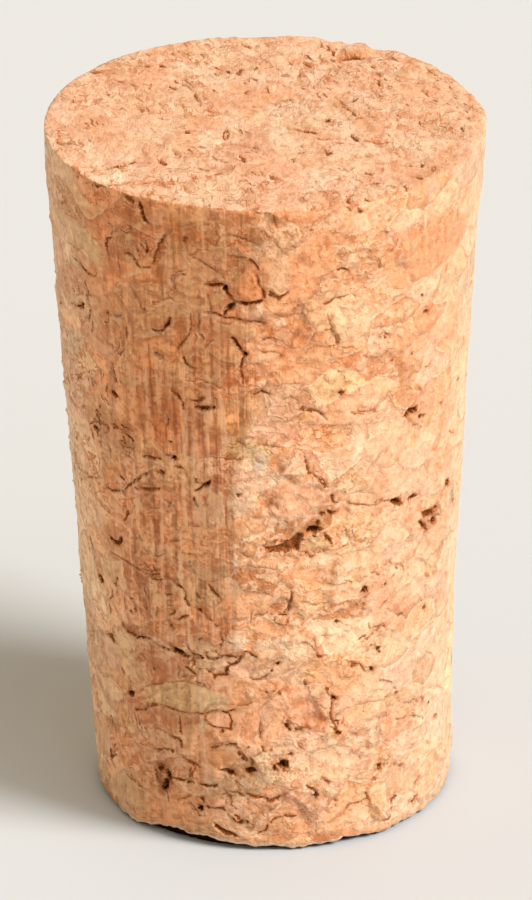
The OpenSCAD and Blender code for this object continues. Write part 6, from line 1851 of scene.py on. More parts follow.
def flake_space(p, owner):
    w = np.stack([noise(p, 0.6, 71), noise(p, 0.6, 72), noise(p, 0.6, 73)], 1) * 0.13
    return (p + w) * np.array([0.95, 0.95, 1.25]) + seed_shift[owner] % 40


flake_v_place, flake_v_name = cells(flake_space(base, near_v[:, 0]), 81)
fm = base[faces].mean(1)
flake_f_place, flake_f_name = cells(flake_space(fm, winner), 81)
swap = flake_f_name[0] > flake_f_name[1]
flake_f_place[:, swap] = flake_f_place[::-1][:, swap]
flake_f_name[:, swap] = flake_f_name[::-1][:, swap]
fq = flake_space(base[faces].reshape(-1, 3), np.repeat(winner, 3)).reshape(-1, 3, 3)
flake_border = (np.linalg.norm(fq - flake_f_place[1][:, None], axis=2) - np.linalg.norm(fq - flake_f_place[0][:, None], axis=2)) / 1.8

# ---------------------------------------------------------------------------
# Displacement
# ---------------------------------------------------------------------------
n_all = len(base)
zf = L / SLANT
wall_uv = np.zeros((n_all, 2))
wall_uv[:n_ring_end] = np.stack([sheet[:, 0], (sheet[:, 1] - S_BOT) * zf], 1)
s_v = np.full(n_all, -1.0)
s_v[:n_ring_end] = sheet[:, 1]
on_top = np.zeros(n_all, bool)
on_top[n_ring_end:n_ring_end + len(top_p)] = True
on_top |= s_v > S_TOP
on_bot = np.zeros(n_all, bool)
on_bot[n_ring_end + len(top_p):] = True
on_bot |= (s_v >= 0) & (s_v < S_BOT)
on_wall = ~(on_top | on_bot)
deg_v = np.degrees(np.arctan2(base[:, 0], -base[:, 1]))
rad_v = np.hypot(base[:, 0], base[:, 1])
z_v = base[:, 2]

# the small end's ragged edge stands a little off the table
foot = 0.36 * (table(deg_v - 1.0, FOOT_GAP) + table(deg_v, FOOT_GAP) + table(deg_v + 1.0, FOOT_GAP)) + 0.06 * noise(base, 0.50, 91) + 0.10 * noise(base, 0.25, 92)
foot = np.clip(foot, 0.0, None)
inner = smooth(0, 1, np.clip((RB - 0.12 - rad_v) / 0.42, 0, 1))
low = np.clip(1 - z_v / 1.5, 0, 1)
placed = base.copy()
placed[:, 2] += foot * low * (1 - inner)

normal = vertex_normals(placed, faces)

# how torn or how smooth, from place to place
left_flat = smooth(11, 15, z_v) * smooth(-86, -76, deg_v) * (1 - smooth(-1.5, 1.5, deg_v - ridge_at(z_v) + 2.6 * noise(base, 1.9, 104) + 1.2 * noise(base, 0.7, 105)))
left_low = (1 - smooth(11, 15, z_v)) * smooth(-86, -70, deg_v) * (1 - smooth(-24, -8, deg_v))
torn = np.where(on_wall, 1 - 0.85 * left_flat - 0.45 * left_low, 0.35)
torn = torn * (0.75 + 0.25 * noise(base, 5.0, 93))
stria = np.where(on_wall, (left_flat + 0.45 * left_low) * (0.30 + 0.70 * smooth(-54, -40, deg_v)) * (1 - 0.42 * smooth(29, 34, z_v)), 0.0)


def carve(p, cracks, pits):
    """Depth cut by cracks and pits, and the small step from one lip of a crack to the other."""
    out, lip = np.zeros(len(p)), np.zeros(len(p))
    for c in cracks:
        sel = near(p, c, 0.5)
        if len(sel):
            d, hw, _ = c.measure(p[sel])
            live = np.clip(hw / (0.5 * c.width), 0, 1)
            out[sel] = np.maximum(out[sel], c.depth * np.clip(1 - np.abs(d) / (hw + 0.05), 0, 1) * (hw > 0.003))
            way = 1 if (c.seed * 7919) % 3 else -1
            lip[sel] += way * np.sign(d) * (0.022 + 0.22 * c.depth) * np.exp(-np.abs(d) / 0.26) * live * smooth(0, 0.03, np.abs(d))
    for b in pits:
        sel = near(p, b, 0.2)
        if len(sel):
            out[sel] = np.maximum(out[sel], b.depth * smooth(-0.05, 0.13, b.measure(p[sel])))
    return out, np.clip(lip, -0.12, 0.12)


depth, lip = np.zeros(n_all), np.zeros(n_all)
w_id = np.nonzero(on_wall)[0]
depth[w_id], lip[w_id] = carve(wall_uv[w_id], side_cracks, side_pits)
t_id = np.nonzero(on_top)[0]
depth[t_id], lip[t_id] = carve(base[t_id, :2], top_cracks, top_pits)
b_id = np.nonzero(on_bot)[0]
depth[b_id], lip[b_id] = carve(base[b_id, :2], bottom_cracks, bottom_pits)
depth *= 0.8 + 0.35 * noise(base, 0.3, 94)

# granules stand a little proud or low, and lean
rise = g.normal(0, 1, n_seed)
lean = g.normal(0, 1, (n_seed, 3)) * 0.35
dv = np.stack([seed_distance(bent_v, near_v[:, k]) for k in range(3)], 1)
wv = np.exp(-(dv - dv[:, :1]) / 0.11)
wv /= wv.sum(1, keepdims=True)
granule = sum(wv[:, k] * (rise[near_v[:, k]] + ((bent_v - seed_p[near_v[:, k]]) * lean[near_v[:, k]]).sum(1)) for k in range(3))
granule = np.clip(granule, -2.4, 2.4)

d1 = np.linalg.norm(flake_space(base, near_v[:, 0]) - flake_v_place[0], axis=1)
d2 = np.linalg.norm(flake_space(base, near_v[:, 0]) - flake_v_place[1], axis=1)
wf = 0.5 + 0.5 * smooth(0, 0.10, d2 - d1)


def flake_rise(k):
    q = flake_space(base, near_v[:, 0]) - flake_v_place[k]
    tilt = np.stack([tag_random(flake_v_name[k], s) for s in (1, 2, 3)], 1) * 2 - 1
    return (tag_random(flake_v_name[k], 4) * 2 - 1) * 0.6 + (q * tilt).sum(1) * 1.5


flake = wf * flake_rise(0) + (1 - wf) * flake_rise(1)

wall_f, top_f, bot_f = on_wall.astype(float), on_top.astype(float), on_bot.astype(float)
move = -depth + lip * (wall_f + 0.5 * top_f)
g2 = np.random.default_rng(77)
calm = 1 - 0.55 * smooth(54, 72, np.abs(deg_v)) - 0.35 * (1 - smooth(0.6, 2.6, z_v)) * smooth(-86, -76, deg_v) * (1 - smooth(60, 80, deg_v))
calm = np.clip(calm, 0.3, 1)
move += granule * (wall_f * (0.018 + 0.045 * torn) * calm + 0.028 * top_f + 0.02 * bot_f)
move += flake * (wall_f * 0.095 * torn * calm + 0.026 * top_f + 0.01 * bot_f)
move += fbm(base, 1.3, 2, 0.5, 95) * (wall_f * 0.055 * torn * calm + 0.035 * top_f)
move += fbm(base, 0.5, 2, 0.6, 97) * (wall_f * (0.012 + 0.045 * torn) + 0.055 * top_f + 0.02 * bot_f)
streak = noise(np.stack([deg_v * math.pi / 180 * R0, z_v / 16, 0 * z_v], 1), 0.55, 98)
move += 0.020 * streak * stria
# loose fibres at the far left, and crumbs along the wide end's rim
fray = smooth(-112, -96, deg_v) * (1 - smooth(-72, -60, deg_v)) * wall_f
move += fray * np.clip(noise(base, 0.42, 99) - 0.25, 0, 1) * 0.07
rim = np.exp(-(((s_v - S_TOP) / 0.28) ** 2)) * (s_v > 0)
move += rim * (0.06 * noise(base, 0.5, 101) + 0.05 * noise(base, 1.3, 102))

place = placed + normal * move[:, None]
spike = np.nonzero(on_wall & (deg_v > -99) & (deg_v < -79) & (z_v > 11) & (z_v < 37.5) & (s_v > 0))[0]
spike = np.sort(g2.choice(spike, 74, replace=False))
place[spike] += normal[spike] * (0.03 + 0.15 * g2.uniform(0, 1, (74, 1)) ** 3) + np.array([0, 0, 1]) * g2.uniform(-0.06, 0.10, (74, 1))
# the crumb and raised scrap near the back right of the wide end
scrap = Blob(0, 0, np.array(TOP_PATCHES[17][3], float))
sel = t_id[near(base[t_id, :2], scrap, 0.3)]
place[sel, 2] += 0.26 * smooth(-0.03, 0.30, scrap.measure(base[sel, :2]) + 0.10 * noise(base[sel], 0.5, 103))
for deg, rr, size, up in ((-121, 11.45, 0.42, 0.17), (-96, 11.6, 0.3, 0.10), (-150, 11.3, 0.5, 0.08), (173, 11.4, 0.4, 0.10), (131, 11.4, 0.5, 0.08)):
    cx, cy = rr * math.sin(math.radians(deg)), -rr * math.cos(math.radians(deg))
    near_it = np.exp(-((base[:, 0] - cx) ** 2 + (base[:, 1] - cy) ** 2) / size**2) * on_top
    place[:, 2] += up * near_it
place[:, 2] = np.maximum(place[:, 2], 0.0)
# the small end's underside rests flat in the middle
place[:, 2] = np.where(on_bot & (rad_v < RB - 2.6), np.clip(place[:, 2], 0, 0.05), place[:, 2])

# to the CAD body's size and place, in metres, and never past its faces
real = place * K
real[:, 0] += SHIFT_X
rr = np.hypot(real[:, 0], real[:, 1])
cap = (cad_hi.x - cad_lo.x) * 500.0 - 0.015
over = np.maximum(rr / cap, 1.0)
real[:, 0] /= over
real[:, 1] /= over
real[:, 2] = np.clip(real[:, 2], 0.0, cad_hi.z * 1000.0)
print("highest", real[:, 2].max(), "lowest", real[:, 2].min(), "clamped in radius", int((over > 1).sum()))

mesh = bpy.data.meshes.new("cork_stopper")
mesh.vertices.add(n_all)
mesh.vertices.foreach_set("co", (real * 0.001).astype(np.float32).ravel())
nf = len(faces)
mesh.loops.add(nf * 3)
mesh.loops.foreach_set("vertex_index", faces.astype(np.int32).ravel())
mesh.polygons.add(nf)
mesh.polygons.foreach_set("loop_start", np.arange(0, nf * 3, 3, dtype=np.int32))
mesh.update(calc_edges=True)
mesh.polygons.foreach_set("use_smooth", np.ones(nf, bool))
if mesh.validate():
    raise RuntimeError("the stopper's mesh needed repair")
stopper = bpy.data.objects.new("cork_stopper", mesh)
bpy.context.scene.collection.objects.link(stopper)

# ---------------------------------------------------------------------------
# What the material reads, stored on the mesh
# ---------------------------------------------------------------------------
def store(name, values, domain="CORNER"):
    a = mesh.attributes.new(name, "FLOAT_VECTOR", domain)
    a.data.foreach_set("vector", np.ascontiguousarray(values, dtype=np.float32).ravel())


def corners(per_face):
    return np.repeat(np.asarray(per_face)[:, None, :], 3, 1)


TINT = {
    "salmon": (0.890, 0.432, 0.206), "cream": (0.930, 0.605, 0.355), "pale": (0.960, 0.695, 0.475),
    "orange": (0.880, 0.385, 0.175), "redbrown": (0.640, 0.240, 0.080), "tan": (0.750, 0.415, 0.190),
    "pink": (0.920, 0.505, 0.305), "brown": (0.440, 0.175, 0.058), "olive": (0.840, 0.580, 0.300),
    "grey": (0.580, 0.430, 0.320),
}
names = ["salmon", "cream", "orange", "redbrown", "tan", "pink", "olive"]
odds = [0.33, 0.20, 0.10, 0.08, 0.09, 0.17, 0.03]
tint = np.array([TINT[names[k]] for k in g.choice(len(names), n_seed, p=odds)])
tint = tint * 0.88 + np.array([0.905, 0.480, 0.262]) * 0.12
seed_deg = np.degrees(np.arctan2(seed_p[:, 0], -seed_p[:, 1]))
# painted rim light: granules towards the left and right outlines, as seen from the front, blend to a pale cream
painted_rim_light = (0.55 * smooth(60, 72, seed_deg) * (1 - smooth(100, 120, seed_deg)) + 0.50 * (1 - smooth(-70, -54, seed_deg)) * smooth(-125, -105, seed_deg))[:, None]
even = (0.26 * smooth(-62, -52, seed_deg) * (1 - smooth(-14, -4, seed_deg)))[:, None]
tint = tint * (1 - even) + np.array([0.885, 0.453, 0.230]) * even
right_even = (0.38 * smooth(14, 30, seed_deg) * (1 - smooth(100, 120, seed_deg)))[:, None]
tint = tint * (1 - right_even) + np.array([0.885, 0.475, 0.254]) * right_even
tint = tint * (1 - painted_rim_light) + np.where(seed_deg[:, None] > 0, np.array([0.955, 0.69, 0.42]), np.array([0.94, 0.635, 0.405])) * painted_rim_light
# granule colours follow the angle round the front: a little paler at the far left (painted rim light), darker round -41
# degrees (painted shade on the side turned from the lamps), with smaller shifts elsewhere, among them darker low on the
# left and redder at the front
tint = tint * (1 + (smooth(-84, -74, seed_deg) * (1 - smooth(-56, -46, seed_deg)))[:, None] * np.array([0.05, 0.05, 0.05]))
tint = tint * (1 + (smooth(36, 48, seed_deg) * (1 - smooth(62, 72, seed_deg)))[:, None] * np.array([0.0, 0.04, 0.075]))
tint = tint * (1 - bell(seed_deg, -41, 13)[:, None] * np.array([0.05, 0.045, 0.035]))
tint = tint * (1 - bell(seed_deg, 24, 10)[:, None] * np.array([0.0, 0.025, 0.03]))
tint = tint * (1 - (smooth(-84, -76, seed_deg) * (1 - smooth(-30, -16, seed_deg)) * (1 - smooth(12, 15, seed_p[:, 2])))[:, None] * np.array([0.045, 0.07, 0.09]))
ahead = (smooth(-14, -4, seed_deg) * (1 - smooth(26, 40, seed_deg)))[:, None]
tint = np.minimum(tint * (1 + ahead * np.array([0.07, 0.0, -0.015])), 0.97)
tint = tint * (1 + g.normal(0, 0.075, (n_seed, 1))) * (1 + g.normal(0, 0.018, (n_seed, 3)))
shift = g.uniform(-50, 50, (n_seed, 3))
way = g.normal(0, 1, (n_seed, 3)) * np.array([1, 1, 0.6])
way /= np.linalg.norm(way, axis=1)[:, None]

a_id, b_id2 = near_f[:, 0], near_f[:, 1]
store("tint_a", corners(tint[a_id]))
store("tint_b", corners(tint[b_id2]))
store("shift_a", corners(shift[a_id]))
store("shift_b", corners(shift[b_id2]))
store("way_a", corners(way[a_id]))
store("way_b", corners(way[b_id2]))
tone = tag_random(flake_f_name, 11) * 2 - 1
store("flake", np.stack([flake_border, np.repeat(tone[0][:, None], 3, 1), np.repeat(tone[1][:, None], 3, 1)], 2))
flake_open = pair_random(flake_f_name[0] & 0xFFFF, flake_f_name[1] & 0xFFFF, 13)
store("border", np.stack([border, np.repeat(pair_open[:, None], 3, 1), np.repeat(flake_open[:, None], 3, 1)], 2))

is_wall = (part == 0)
mid_s = np.where(is_wall, flat[:, :, 1].mean(1), 0)
face_top = (part == 1) | (is_wall & (mid_s > S_TOP))
face_bot = (part == 2) | (is_wall & (mid_s < S_BOT))
face_wall = ~(face_top | face_bot)
flat_wall = flat.copy()
flat_wall[:, :, 1] = (flat[:, :, 1] - S_BOT) * zf
flat_end = base[faces][:, :, :2]

crack = np.zeros((2, nf, 3, 3))
crack[..., 0] = 9.0
ridge = np.zeros((nf, 3, 3))
ridge[..., 0] = 9.0
pit = np.zeros((nf, 3, 3))
pit[..., 0] = -9.0
stain = np.zeros((2, nf, 3, 3))
stain[..., 0] = -9.0
stain_tint = np.full((2, nf, 3), 0.5)
for mask, here, cracks, pits, patches in (
        (face_wall, flat_wall, side_cracks, side_pits, side_patches),
        (face_top, flat_end, top_cracks, top_pits, top_patches),
        (face_bot, flat_end, bottom_cracks, bottom_pits, bottom_patches)):
    fid = np.nonzero(mask)[0]
    mid = here[fid].mean(1)
    which = pick(mid, cracks, 0.6, lambda c, p: np.abs(polyline(p, c.pts)[0]) - 0.5 * c.width, 2)
    for slot_n in (0, 1):
        for k, at in by_thing(which[slot_n]):
            d, hw, dark = cracks[k].measure(here[fid[at]].reshape(-1, 2))
            crack[slot_n, fid[at]] = np.stack([d, hw, dark], 1).reshape(-1, 3, 3)
    which = pick(mid, pits, 0.5, lambda b, p: -b.measure(p), 1)
    for k, at in by_thing(which[0]):
        d = pits[k].measure(here[fid[at]].reshape(-1, 2))
        pit[fid[at]] = np.stack([d, np.full_like(d, pits[k].dark), np.full_like(d, pits[k].radius > 0)], 1).reshape(-1, 3, 3)
    which = pick(mid, patches, 0.6, lambda b, p: -b.measure(p), 2)
    for slot_n in (0, 1):
        for k, at in by_thing(which[slot_n]):
            d = patches[k].measure(here[fid[at]].reshape(-1, 2))
            stain[slot_n, fid[at]] = np.stack([d, np.full_like(d, patches[k].dark), np.full_like(d, patches[k].soft)], 1).reshape(-1, 3, 3)
            stain_tint[slot_n, fid[at]] = TINT[patches[k].tint]
fid = np.nonzero(face_wall)[0]
which = pick(flat_wall[fid].mean(1), ridges, 0.6, lambda c, p: np.abs(polyline(p, c.pts)[0]) - 0.5 * c.width, 1)
for k, at in by_thing(which[0]):
    d, hw, strong = ridges[k].measure(flat_wall[fid[at]].reshape(-1, 2))
    ridge[fid[at]] = np.stack([d, hw, strong], 1).reshape(-1, 3, 3)
store("ridge", ridge)
store("crack_1", crack[0])
store("crack_2", crack[1])
store("pit", pit)
store("stain_1", stain[0])
store("stain_2", stain[1])
store("stain_tint_1", corners(stain_tint[0]))
store("stain_tint_2", corners(stain_tint[1]))

mm_c = base[faces].copy()
mm_c[face_top] *= np.array([1.0, 0.55, 1.0])
store("mm", mm_c)
roll = np.concatenate([flat_wall, np.zeros((nf, 3, 1))], 2)
store("roll", roll)
wrinkled = wall_f * np.clip(0.85 * torn + 0.9 * (1 - smooth(-56, -44, deg_v)) * smooth(-120, -100, deg_v) + 0.55 * left_low + 0.76, 0, 1) + 1.00 * top_f
# painted shade: the front-left side, turned from the lamps, is darkened and warmed in colour, most round -34 degrees,
# and the lowest millimetre of the side is darker all round
painted_shade = np.where(on_wall, left_flat * 0.9 + 0.5 * left_low, 0.0)
painted_shade = painted_shade * table(deg_v, [(-180, 0), (-84, 0), (-66, .25), (-56, .70), (-46, 1.05), (-34, 1.28), (-22, 1.16), (-12, .95), (0, .8), (179, .8)])
painted_shade = np.maximum(painted_shade, 0.8 * (1 - smooth(0.1, 0.9, z_v)) * wall_f)
# slow changes of colour over areas of the side, one factor per area: (from angle, to angle, from z, to z, factor)
tone = np.ones((len(base), 3))
for lo, hi, z_lo, z_hi, rgb in (
        (0, 26, 25, 42, (0.99, 0.915, 0.85)), (-9, 8, 34, 42, (0.93, 0.87, 0.81)), (30, 72, 25, 42, (0.985, 0.94, 0.91)),
        (30, 72, 12, 25, (0.97, 0.925, 0.92)), (0, 28, 12, 25, (1.04, 1.08, 1.12)), (-90, -58, 25, 42, (0.915, 0.86, 0.83)),
        (-90, -56, 12, 25, (1.055, 1.15, 1.19)), (-90, -22, -3, 12, (0.94, 0.895, 0.85)), (0, 26, -3, 12, (0.985, 0.94, 0.925)), (30, 72, -3, 12, (0.985, 1.04, 1.08)),
        (-52, -6, 12, 25, (1.03, 1.06, 1.09)), (-52, -6, 25, 42, (0.99, 0.955, 0.90)), (-41, -30, 12, 40, (0.97, 0.97, 0.97))):
    tone_w = smooth(lo - 5, lo + 5, deg_v) * (1 - smooth(hi - 5, hi + 5, deg_v)) * on_wall
    tone_w = tone_w * smooth(z_lo - 1.5, z_lo + 1.5, z_v) * (1 - smooth(z_hi - 1.5, z_hi + 1.5, z_v))
    tone *= 1 + tone_w[:, None] * (np.array(rgb) - 1)
tone *= 1 + top_f[:, None] * (np.array([0.975, 0.965, 0.975]) - 1)
store("tone", tone, "POINT")
store("zone", np.stack([stria, np.clip(torn, 0, 1.2), top_f], 1), "POINT")
store("zone_2", np.stack([painted_shade, np.where(on_bot, 1.0, 0.0), wrinkled], 1), "POINT")

# painted contact shadow: the band just under the small end's edge and an outer ring of its underside, later painted
# near black
painted_contact_shadow = np.where(s_v >= 0, 1 - smooth(S_BOT - 0.16, S_BOT + 0.02, s_v), 0.0)
painted_contact_shadow = np.where(on_bot & (s_v < 0), smooth(RB - 2.2, RB - 1.2, rad_v), painted_contact_shadow)
lip_edge = np.where(s_v >= 0, np.exp(-(((s_v - S_BOT - 0.12) / 0.12) ** 2)), 0.0) * smooth(-70, -55, deg_v) * (1 - smooth(20, 45, deg_v))
smooth_side = wall_f * smooth(20, 46, deg_v) * (1 - smooth(100, 125, deg_v)) * np.clip(0.85 + 0.3 * noise(base, 4.0, 106), 0, 1)
store("foot", np.stack([painted_contact_shadow, lip_edge, smooth_side], 1), "POINT")
# painted shade on slopes: how far the relief's normal turns from the smooth surface's, none on the painted contact
# shadow
turned = smooth(0.02, 0.24, 1 - (vertex_normals(place, faces) * normal).sum(1)) * (1 - painted_contact_shadow)
store("turned", np.stack([turned, 0 * turned, 0 * turned], 1), "POINT")
scratch = np.zeros((nf, 3))
for deg, lo_z, hi_z, strength in SCRATCHES:
    u0 = deg * math.pi / 180 * R0
    for c in range(3):
        u, z = flat_wall[:, c, 0], flat_wall[:, c, 1]
        wob = 0.05 * np.sin(z * 0.9 + deg) + 0.02 * np.sin(z * 3.1)
        line = np.exp(-(((u - u0 - wob) / 0.10) ** 2)) * smooth(lo_z - 0.6, lo_z + 0.6, z) * (1 - smooth(hi_z - 0.6, hi_z + 0.6, z))
        scratch[:, c] = np.maximum(scratch[:, c], line * strength * face_wall)
store("scratch", np.stack([scratch, 0 * scratch, 0 * scratch], 2))

uv = mesh.uv_layers.new(name="OFBake")
ATLAS = 70.0
uvs = np.zeros((nf, 3, 2))
uvs[part == 0] = (flat[part == 0] + [U_END / 2 + 0.1, 0.2]) / ATLAS
uvs[part == 1] = (flat[part == 1] + [RAD_TOP + 0.6, S_END + 0.9 + RAD_TOP]) / ATLAS
uvs[part == 2] = (flat[part == 2] + [2 * RAD_TOP + RAD_BOT + 1.8, S_END + 0.9 + RAD_BOT]) / ATLAS
uv.data.foreach_set("uv", uvs.astype(np.float32).ravel())

# ---------------------------------------------------------------------------
# The cork material
# ---------------------------------------------------------------------------
cork = bpy.data.materials.new("cork")
cork.use_nodes = True
tree = cork.node_tree
tree.nodes.clear()


def node(kind, **props):
    n = tree.nodes.new(kind)
    for k, v in props.items():
        setattr(n, k, v)
    return n


def put(sock, value):
    if isinstance(value, bpy.types.NodeSocket):
        tree.links.new(value, sock)
    else:
        sock.default_value = value


def calc(op, a, b=0.0, c=0.0, clamp=False):
    n = node("ShaderNodeMath", operation=op, use_clamp=clamp)
    put(n.inputs[0], a)
    put(n.inputs[1], b)
    put(n.inputs[2], c)
    return n.outputs[0]


def add(a, b):
    return calc("ADD", a, b)


def sub(a, b):
    return calc("SUBTRACT", a, b)


def mul(a, b):
    return calc("MULTIPLY", a, b)


def ramp(x, lo, hi, out_lo=0.0, out_hi=1.0, kind="SMOOTHSTEP"):
    n = node("ShaderNodeMapRange", interpolation_type=kind)
    put(n.inputs["Value"], x)
    put(n.inputs["From Min"], lo)
    put(n.inputs["From Max"], hi)
    put(n.inputs["To Min"], out_lo)
    put(n.inputs["To Max"], out_hi)
    return n.outputs["Result"]


def vmath(op, a, b=(0, 0, 0), scale=None):
    n = node("ShaderNodeVectorMath", operation=op)
    put(n.inputs[0], a)
    put(n.inputs[1], b)
    if scale is not None:
        put(n.inputs["Scale"], scale)
    return n.outputs["Value"] if op in ("DOT_PRODUCT", "LENGTH") else n.outputs["Vector"]


def blend_vec(f, a, b):
    n = node("ShaderNodeMix", data_type="VECTOR", clamp_factor=True)
    put(n.inputs["Factor"], f)
    put(n.inputs[4], a)
    put(n.inputs[5], b)
    return n.outputs[1]


def blend_col(f, a, b, how="MIX"):
    n = node("ShaderNodeMix", data_type="RGBA", blend_type=how, clamp_factor=True)
    put(n.inputs["Factor"], f)
    put(n.inputs[6], a if isinstance(a, bpy.types.NodeSocket) else (*a, 1))
    put(n.inputs[7], b if isinstance(b, bpy.types.NodeSocket) else (*b, 1))
    return n.outputs[2]


def attr(name):
    n = node("ShaderNodeAttribute", attribute_name=name, attribute_type="GEOMETRY")
    return n.outputs["Vector"]


def split(v):
    n = node("ShaderNodeSeparateXYZ")
    put(n.inputs[0], v)
    return n.outputs[0], n.outputs[1], n.outputs[2]


def join(x, y, z):
    n = node("ShaderNodeCombineXYZ")
    put(n.inputs[0], x)
    put(n.inputs[1], y)
    put(n.inputs[2], z)
    return n.outputs[0]


def fine(vector, scale, detail=2.0, rough=0.5, distort=0.0):
    """Noise from about -1 to 1; scale is features per millimetre."""
    n = node("ShaderNodeTexNoise", noise_dimensions="3D", normalize=True)
    put(n.inputs["Vector"], vector)
    n.inputs["Scale"].default_value = scale
    n.inputs["Detail"].default_value = detail
    n.inputs["Roughness"].default_value = rough
    n.inputs["Distortion"].default_value = distort
    return ramp(n.outputs["Fac"], 0.25, 0.75, -1.0, 1.0, "LINEAR")


mm = attr("mm")
stria_n, torn_n, top_n = split(attr("zone"))
painted_shade_n, under_n, wrinkle_n = split(attr("zone_2"))
roll_u, roll_z, _ = split(attr("roll"))
contact_shadow_n, lip_e, calm_n = split(attr("foot"))
slope_shade_n, _, _ = split(attr("turned"))

n_coarse = fine(mm, 1.5, 1)
n_mid = fine(vmath("ADD", mm, (7, 3, 5)), 4.2, 2)
n_fine = fine(vmath("ADD", mm, (1, 9, 2)), 11.0, 1, 0.6)
rag = add(mul(n_mid, 0.060), mul(n_fine, 0.024))

# which granule
border_d, open_g, open_f = split(attr("border"))
g_edge = add(border_d, add(mul(n_coarse, 0.14), mul(rag, 1.6)))
in_a = ramp(g_edge, -0.085, 0.085)
tint_c = blend_vec(in_a, attr("tint_b"), attr("tint_a"))
tint_c = blend_vec(mul(top_n, 0.58), tint_c, (0.920, 0.480, 0.285))
in_hard = calc("GREATER_THAN", g_edge, 0.0)
own = vmath("ADD", mm, blend_vec(in_hard, attr("shift_b"), attr("shift_a")))
luck, luck_2, _ = split(blend_vec(in_hard, attr("shift_b"), attr("shift_a")))
lively = ramp(luck, -38.0, 24.0, 0.0, 1.15, "LINEAR")
wrinkle_n = mul(mul(wrinkle_n, lively), sub(1.0, mul(calm_n, 0.45)))
grain = vmath("DOT_PRODUCT", mm, blend_vec(in_hard, attr("way_b"), attr("way_a")))

# mottling inside a granule
bent_own = vmath("ADD", own, join(mul(n_coarse, 0.26), sub(mul(n_mid, 0.12), mul(n_coarse, 0.20)), add(mul(n_coarse, 0.14), mul(n_mid, 0.10))))
m1 = fine(bent_own, 0.8, 1, 0.5)
m2 = fine(bent_own, 2.1, 1, 0.62)
layers = fine(join(mul(add(grain, add(mul(m1, 0.5), mul(m2, 0.10))), 3.0), mul(m1, 0.6), 0.0), 1.0, 1, 0.6)
rough_n = sub(1.0, mul(stria_n, 0.35))

wr = fine(vmath("MULTIPLY", bent_own, (0.82, 0.82, 1.35)), 1.75, 1, 0.66)
hollow = mul(sub(1.0, ramp(calc("ABSOLUTE", wr), 0.02, 0.25)), mul(wrinkle_n, ramp(add(n_coarse, m1), -0.9, 0.6, 0.10, 1.0)))
crest = mul(ramp(wr, 0.16, 0.60), wrinkle_n)
level = add(1.035, add(mul(m1, 0.050), mul(m2, sub(0.135, mul(calm_n, 0.045)))))
level = add(level, add(mul(mul(wr, wrinkle_n), 0.10), mul(n_mid, 0.040)))
level = add(level, mul(n_fine, add(sub(0.030, mul(torn_n, 0.014)), mul(add(mul(top_n, 0.3), mul(stria_n, 0.35)), 0.045))))
level = add(level, mul(mul(n_mid, add(stria_n, top_n)), 0.055))
level = add(level, mul(mul(layers, sub(0.125, mul(lively, 0.070))), rough_n))

tone_top = add(fine(vmath("ADD", mm, (31.0, 12.0, 0.0)), 0.55, 0, 0.6), mul(n_coarse, 0.45))
body_top_a = mul(mul(top_n, ramp(tone_top, 0.05, 0.80)), 0.62)
body_top_b = mul(mul(top_n, ramp(tone_top, -0.05, -0.75)), 0.70)
# short curved dashes, mostly on the wide end
dash_n = fine(vmath("MULTIPLY", vmath("ADD", own, vmath("SCALE", join(n_coarse, m1, 0.0), scale=0.20)), (1.0, 1.35, 1.35)), 2.6, 0, 0.5, 0.6)
dash = mul(sub(1.0, ramp(calc("ABSOLUTE", add(dash_n, mul(n_mid, 0.05))), 0.05, 0.23)), ramp(add(n_mid, mul(n_coarse, 0.9)), -0.35, 0.30))
dash = mul(dash, add(mul(lively, add(0.10, mul(torn_n, 0.10))), mul(top_n, 0.58)))

level = add(level, mul(stria_n, add(mul(n_coarse, 0.060), mul(m1, 0.050))))
# torn flakes
flake_d, tone_a, tone_b = split(attr("flake"))
f_edge = add(flake_d, mul(rag, 1.5))
in_f = ramp(f_edge, -0.035, 0.035)
tone = add(mul(tone_a, in_f), mul(tone_b, sub(1.0, in_f)))
level = add(level, mul(tone, mul(torn_n, sub(0.090, mul(calm_n, 0.025)))))
level = add(1.0, mul(sub(level, 1.0), add(1.0, mul(stria_n, 1.05))))

shade = join(level, calc("POWER", level, 1.22), calc("POWER", level, 1.46))
body = vmath("MULTIPLY", tint_c, shade)
body = blend_col(body_top_a, body, (0.90, 0.405, 0.205))
body = blend_col(body_top_b, body, (0.98, 0.650, 0.430))
redder = add(mul(ramp(add(sub(mul(m1, 0.35), m2), mul(n_mid, 0.10)), 0.14, 0.40), 0.42), mul(ramp(sub(mul(m1, 0.35), m2), 0.40, 1.0), 0.45))
body = blend_col(mul(redder, sub(add(0.54, mul(stria_n, 0.34)), mul(calm_n, 0.18))), body, (0.62, 0.212, 0.066))
paler = add(mul(ramp(add(sub(m2, mul(m1, 0.45)), mul(n_mid, 0.10)), 0.22, 0.44), 0.45), mul(ramp(sub(m2, mul(m1, 0.45)), 0.45, 1.1), 0.45))
body = blend_col(mul(paler, sub(add(0.52, mul(stria_n, 0.22)), mul(calm_n, 0.18))), body, (0.97, 0.68, 0.45))
# wrinkles: crests painted pale as a highlight and hollows painted dark red-brown as shade, partly the cork's own darker
# hollows
body = blend_col(mul(crest, 0.44), body, (0.97, 0.68, 0.45))
body = blend_col(mul(hollow, sub(0.86, mul(torn_n, 0.52))), body, (0.50, 0.150, 0.040))

# granules and stains that stand out
for name in ("1", "2"):
    d, strength, soft = split(attr("stain_" + name))
    f = mul(ramp(add(d, mul(rag, 2.4)), mul(soft, -1.1), mul(soft, 1.1)), strength)
    f = mul(f, add(0.84, mul(m2, 0.30)))
    body = blend_col(f, body, vmath("MULTIPLY", attr("stain_tint_" + name), shade))

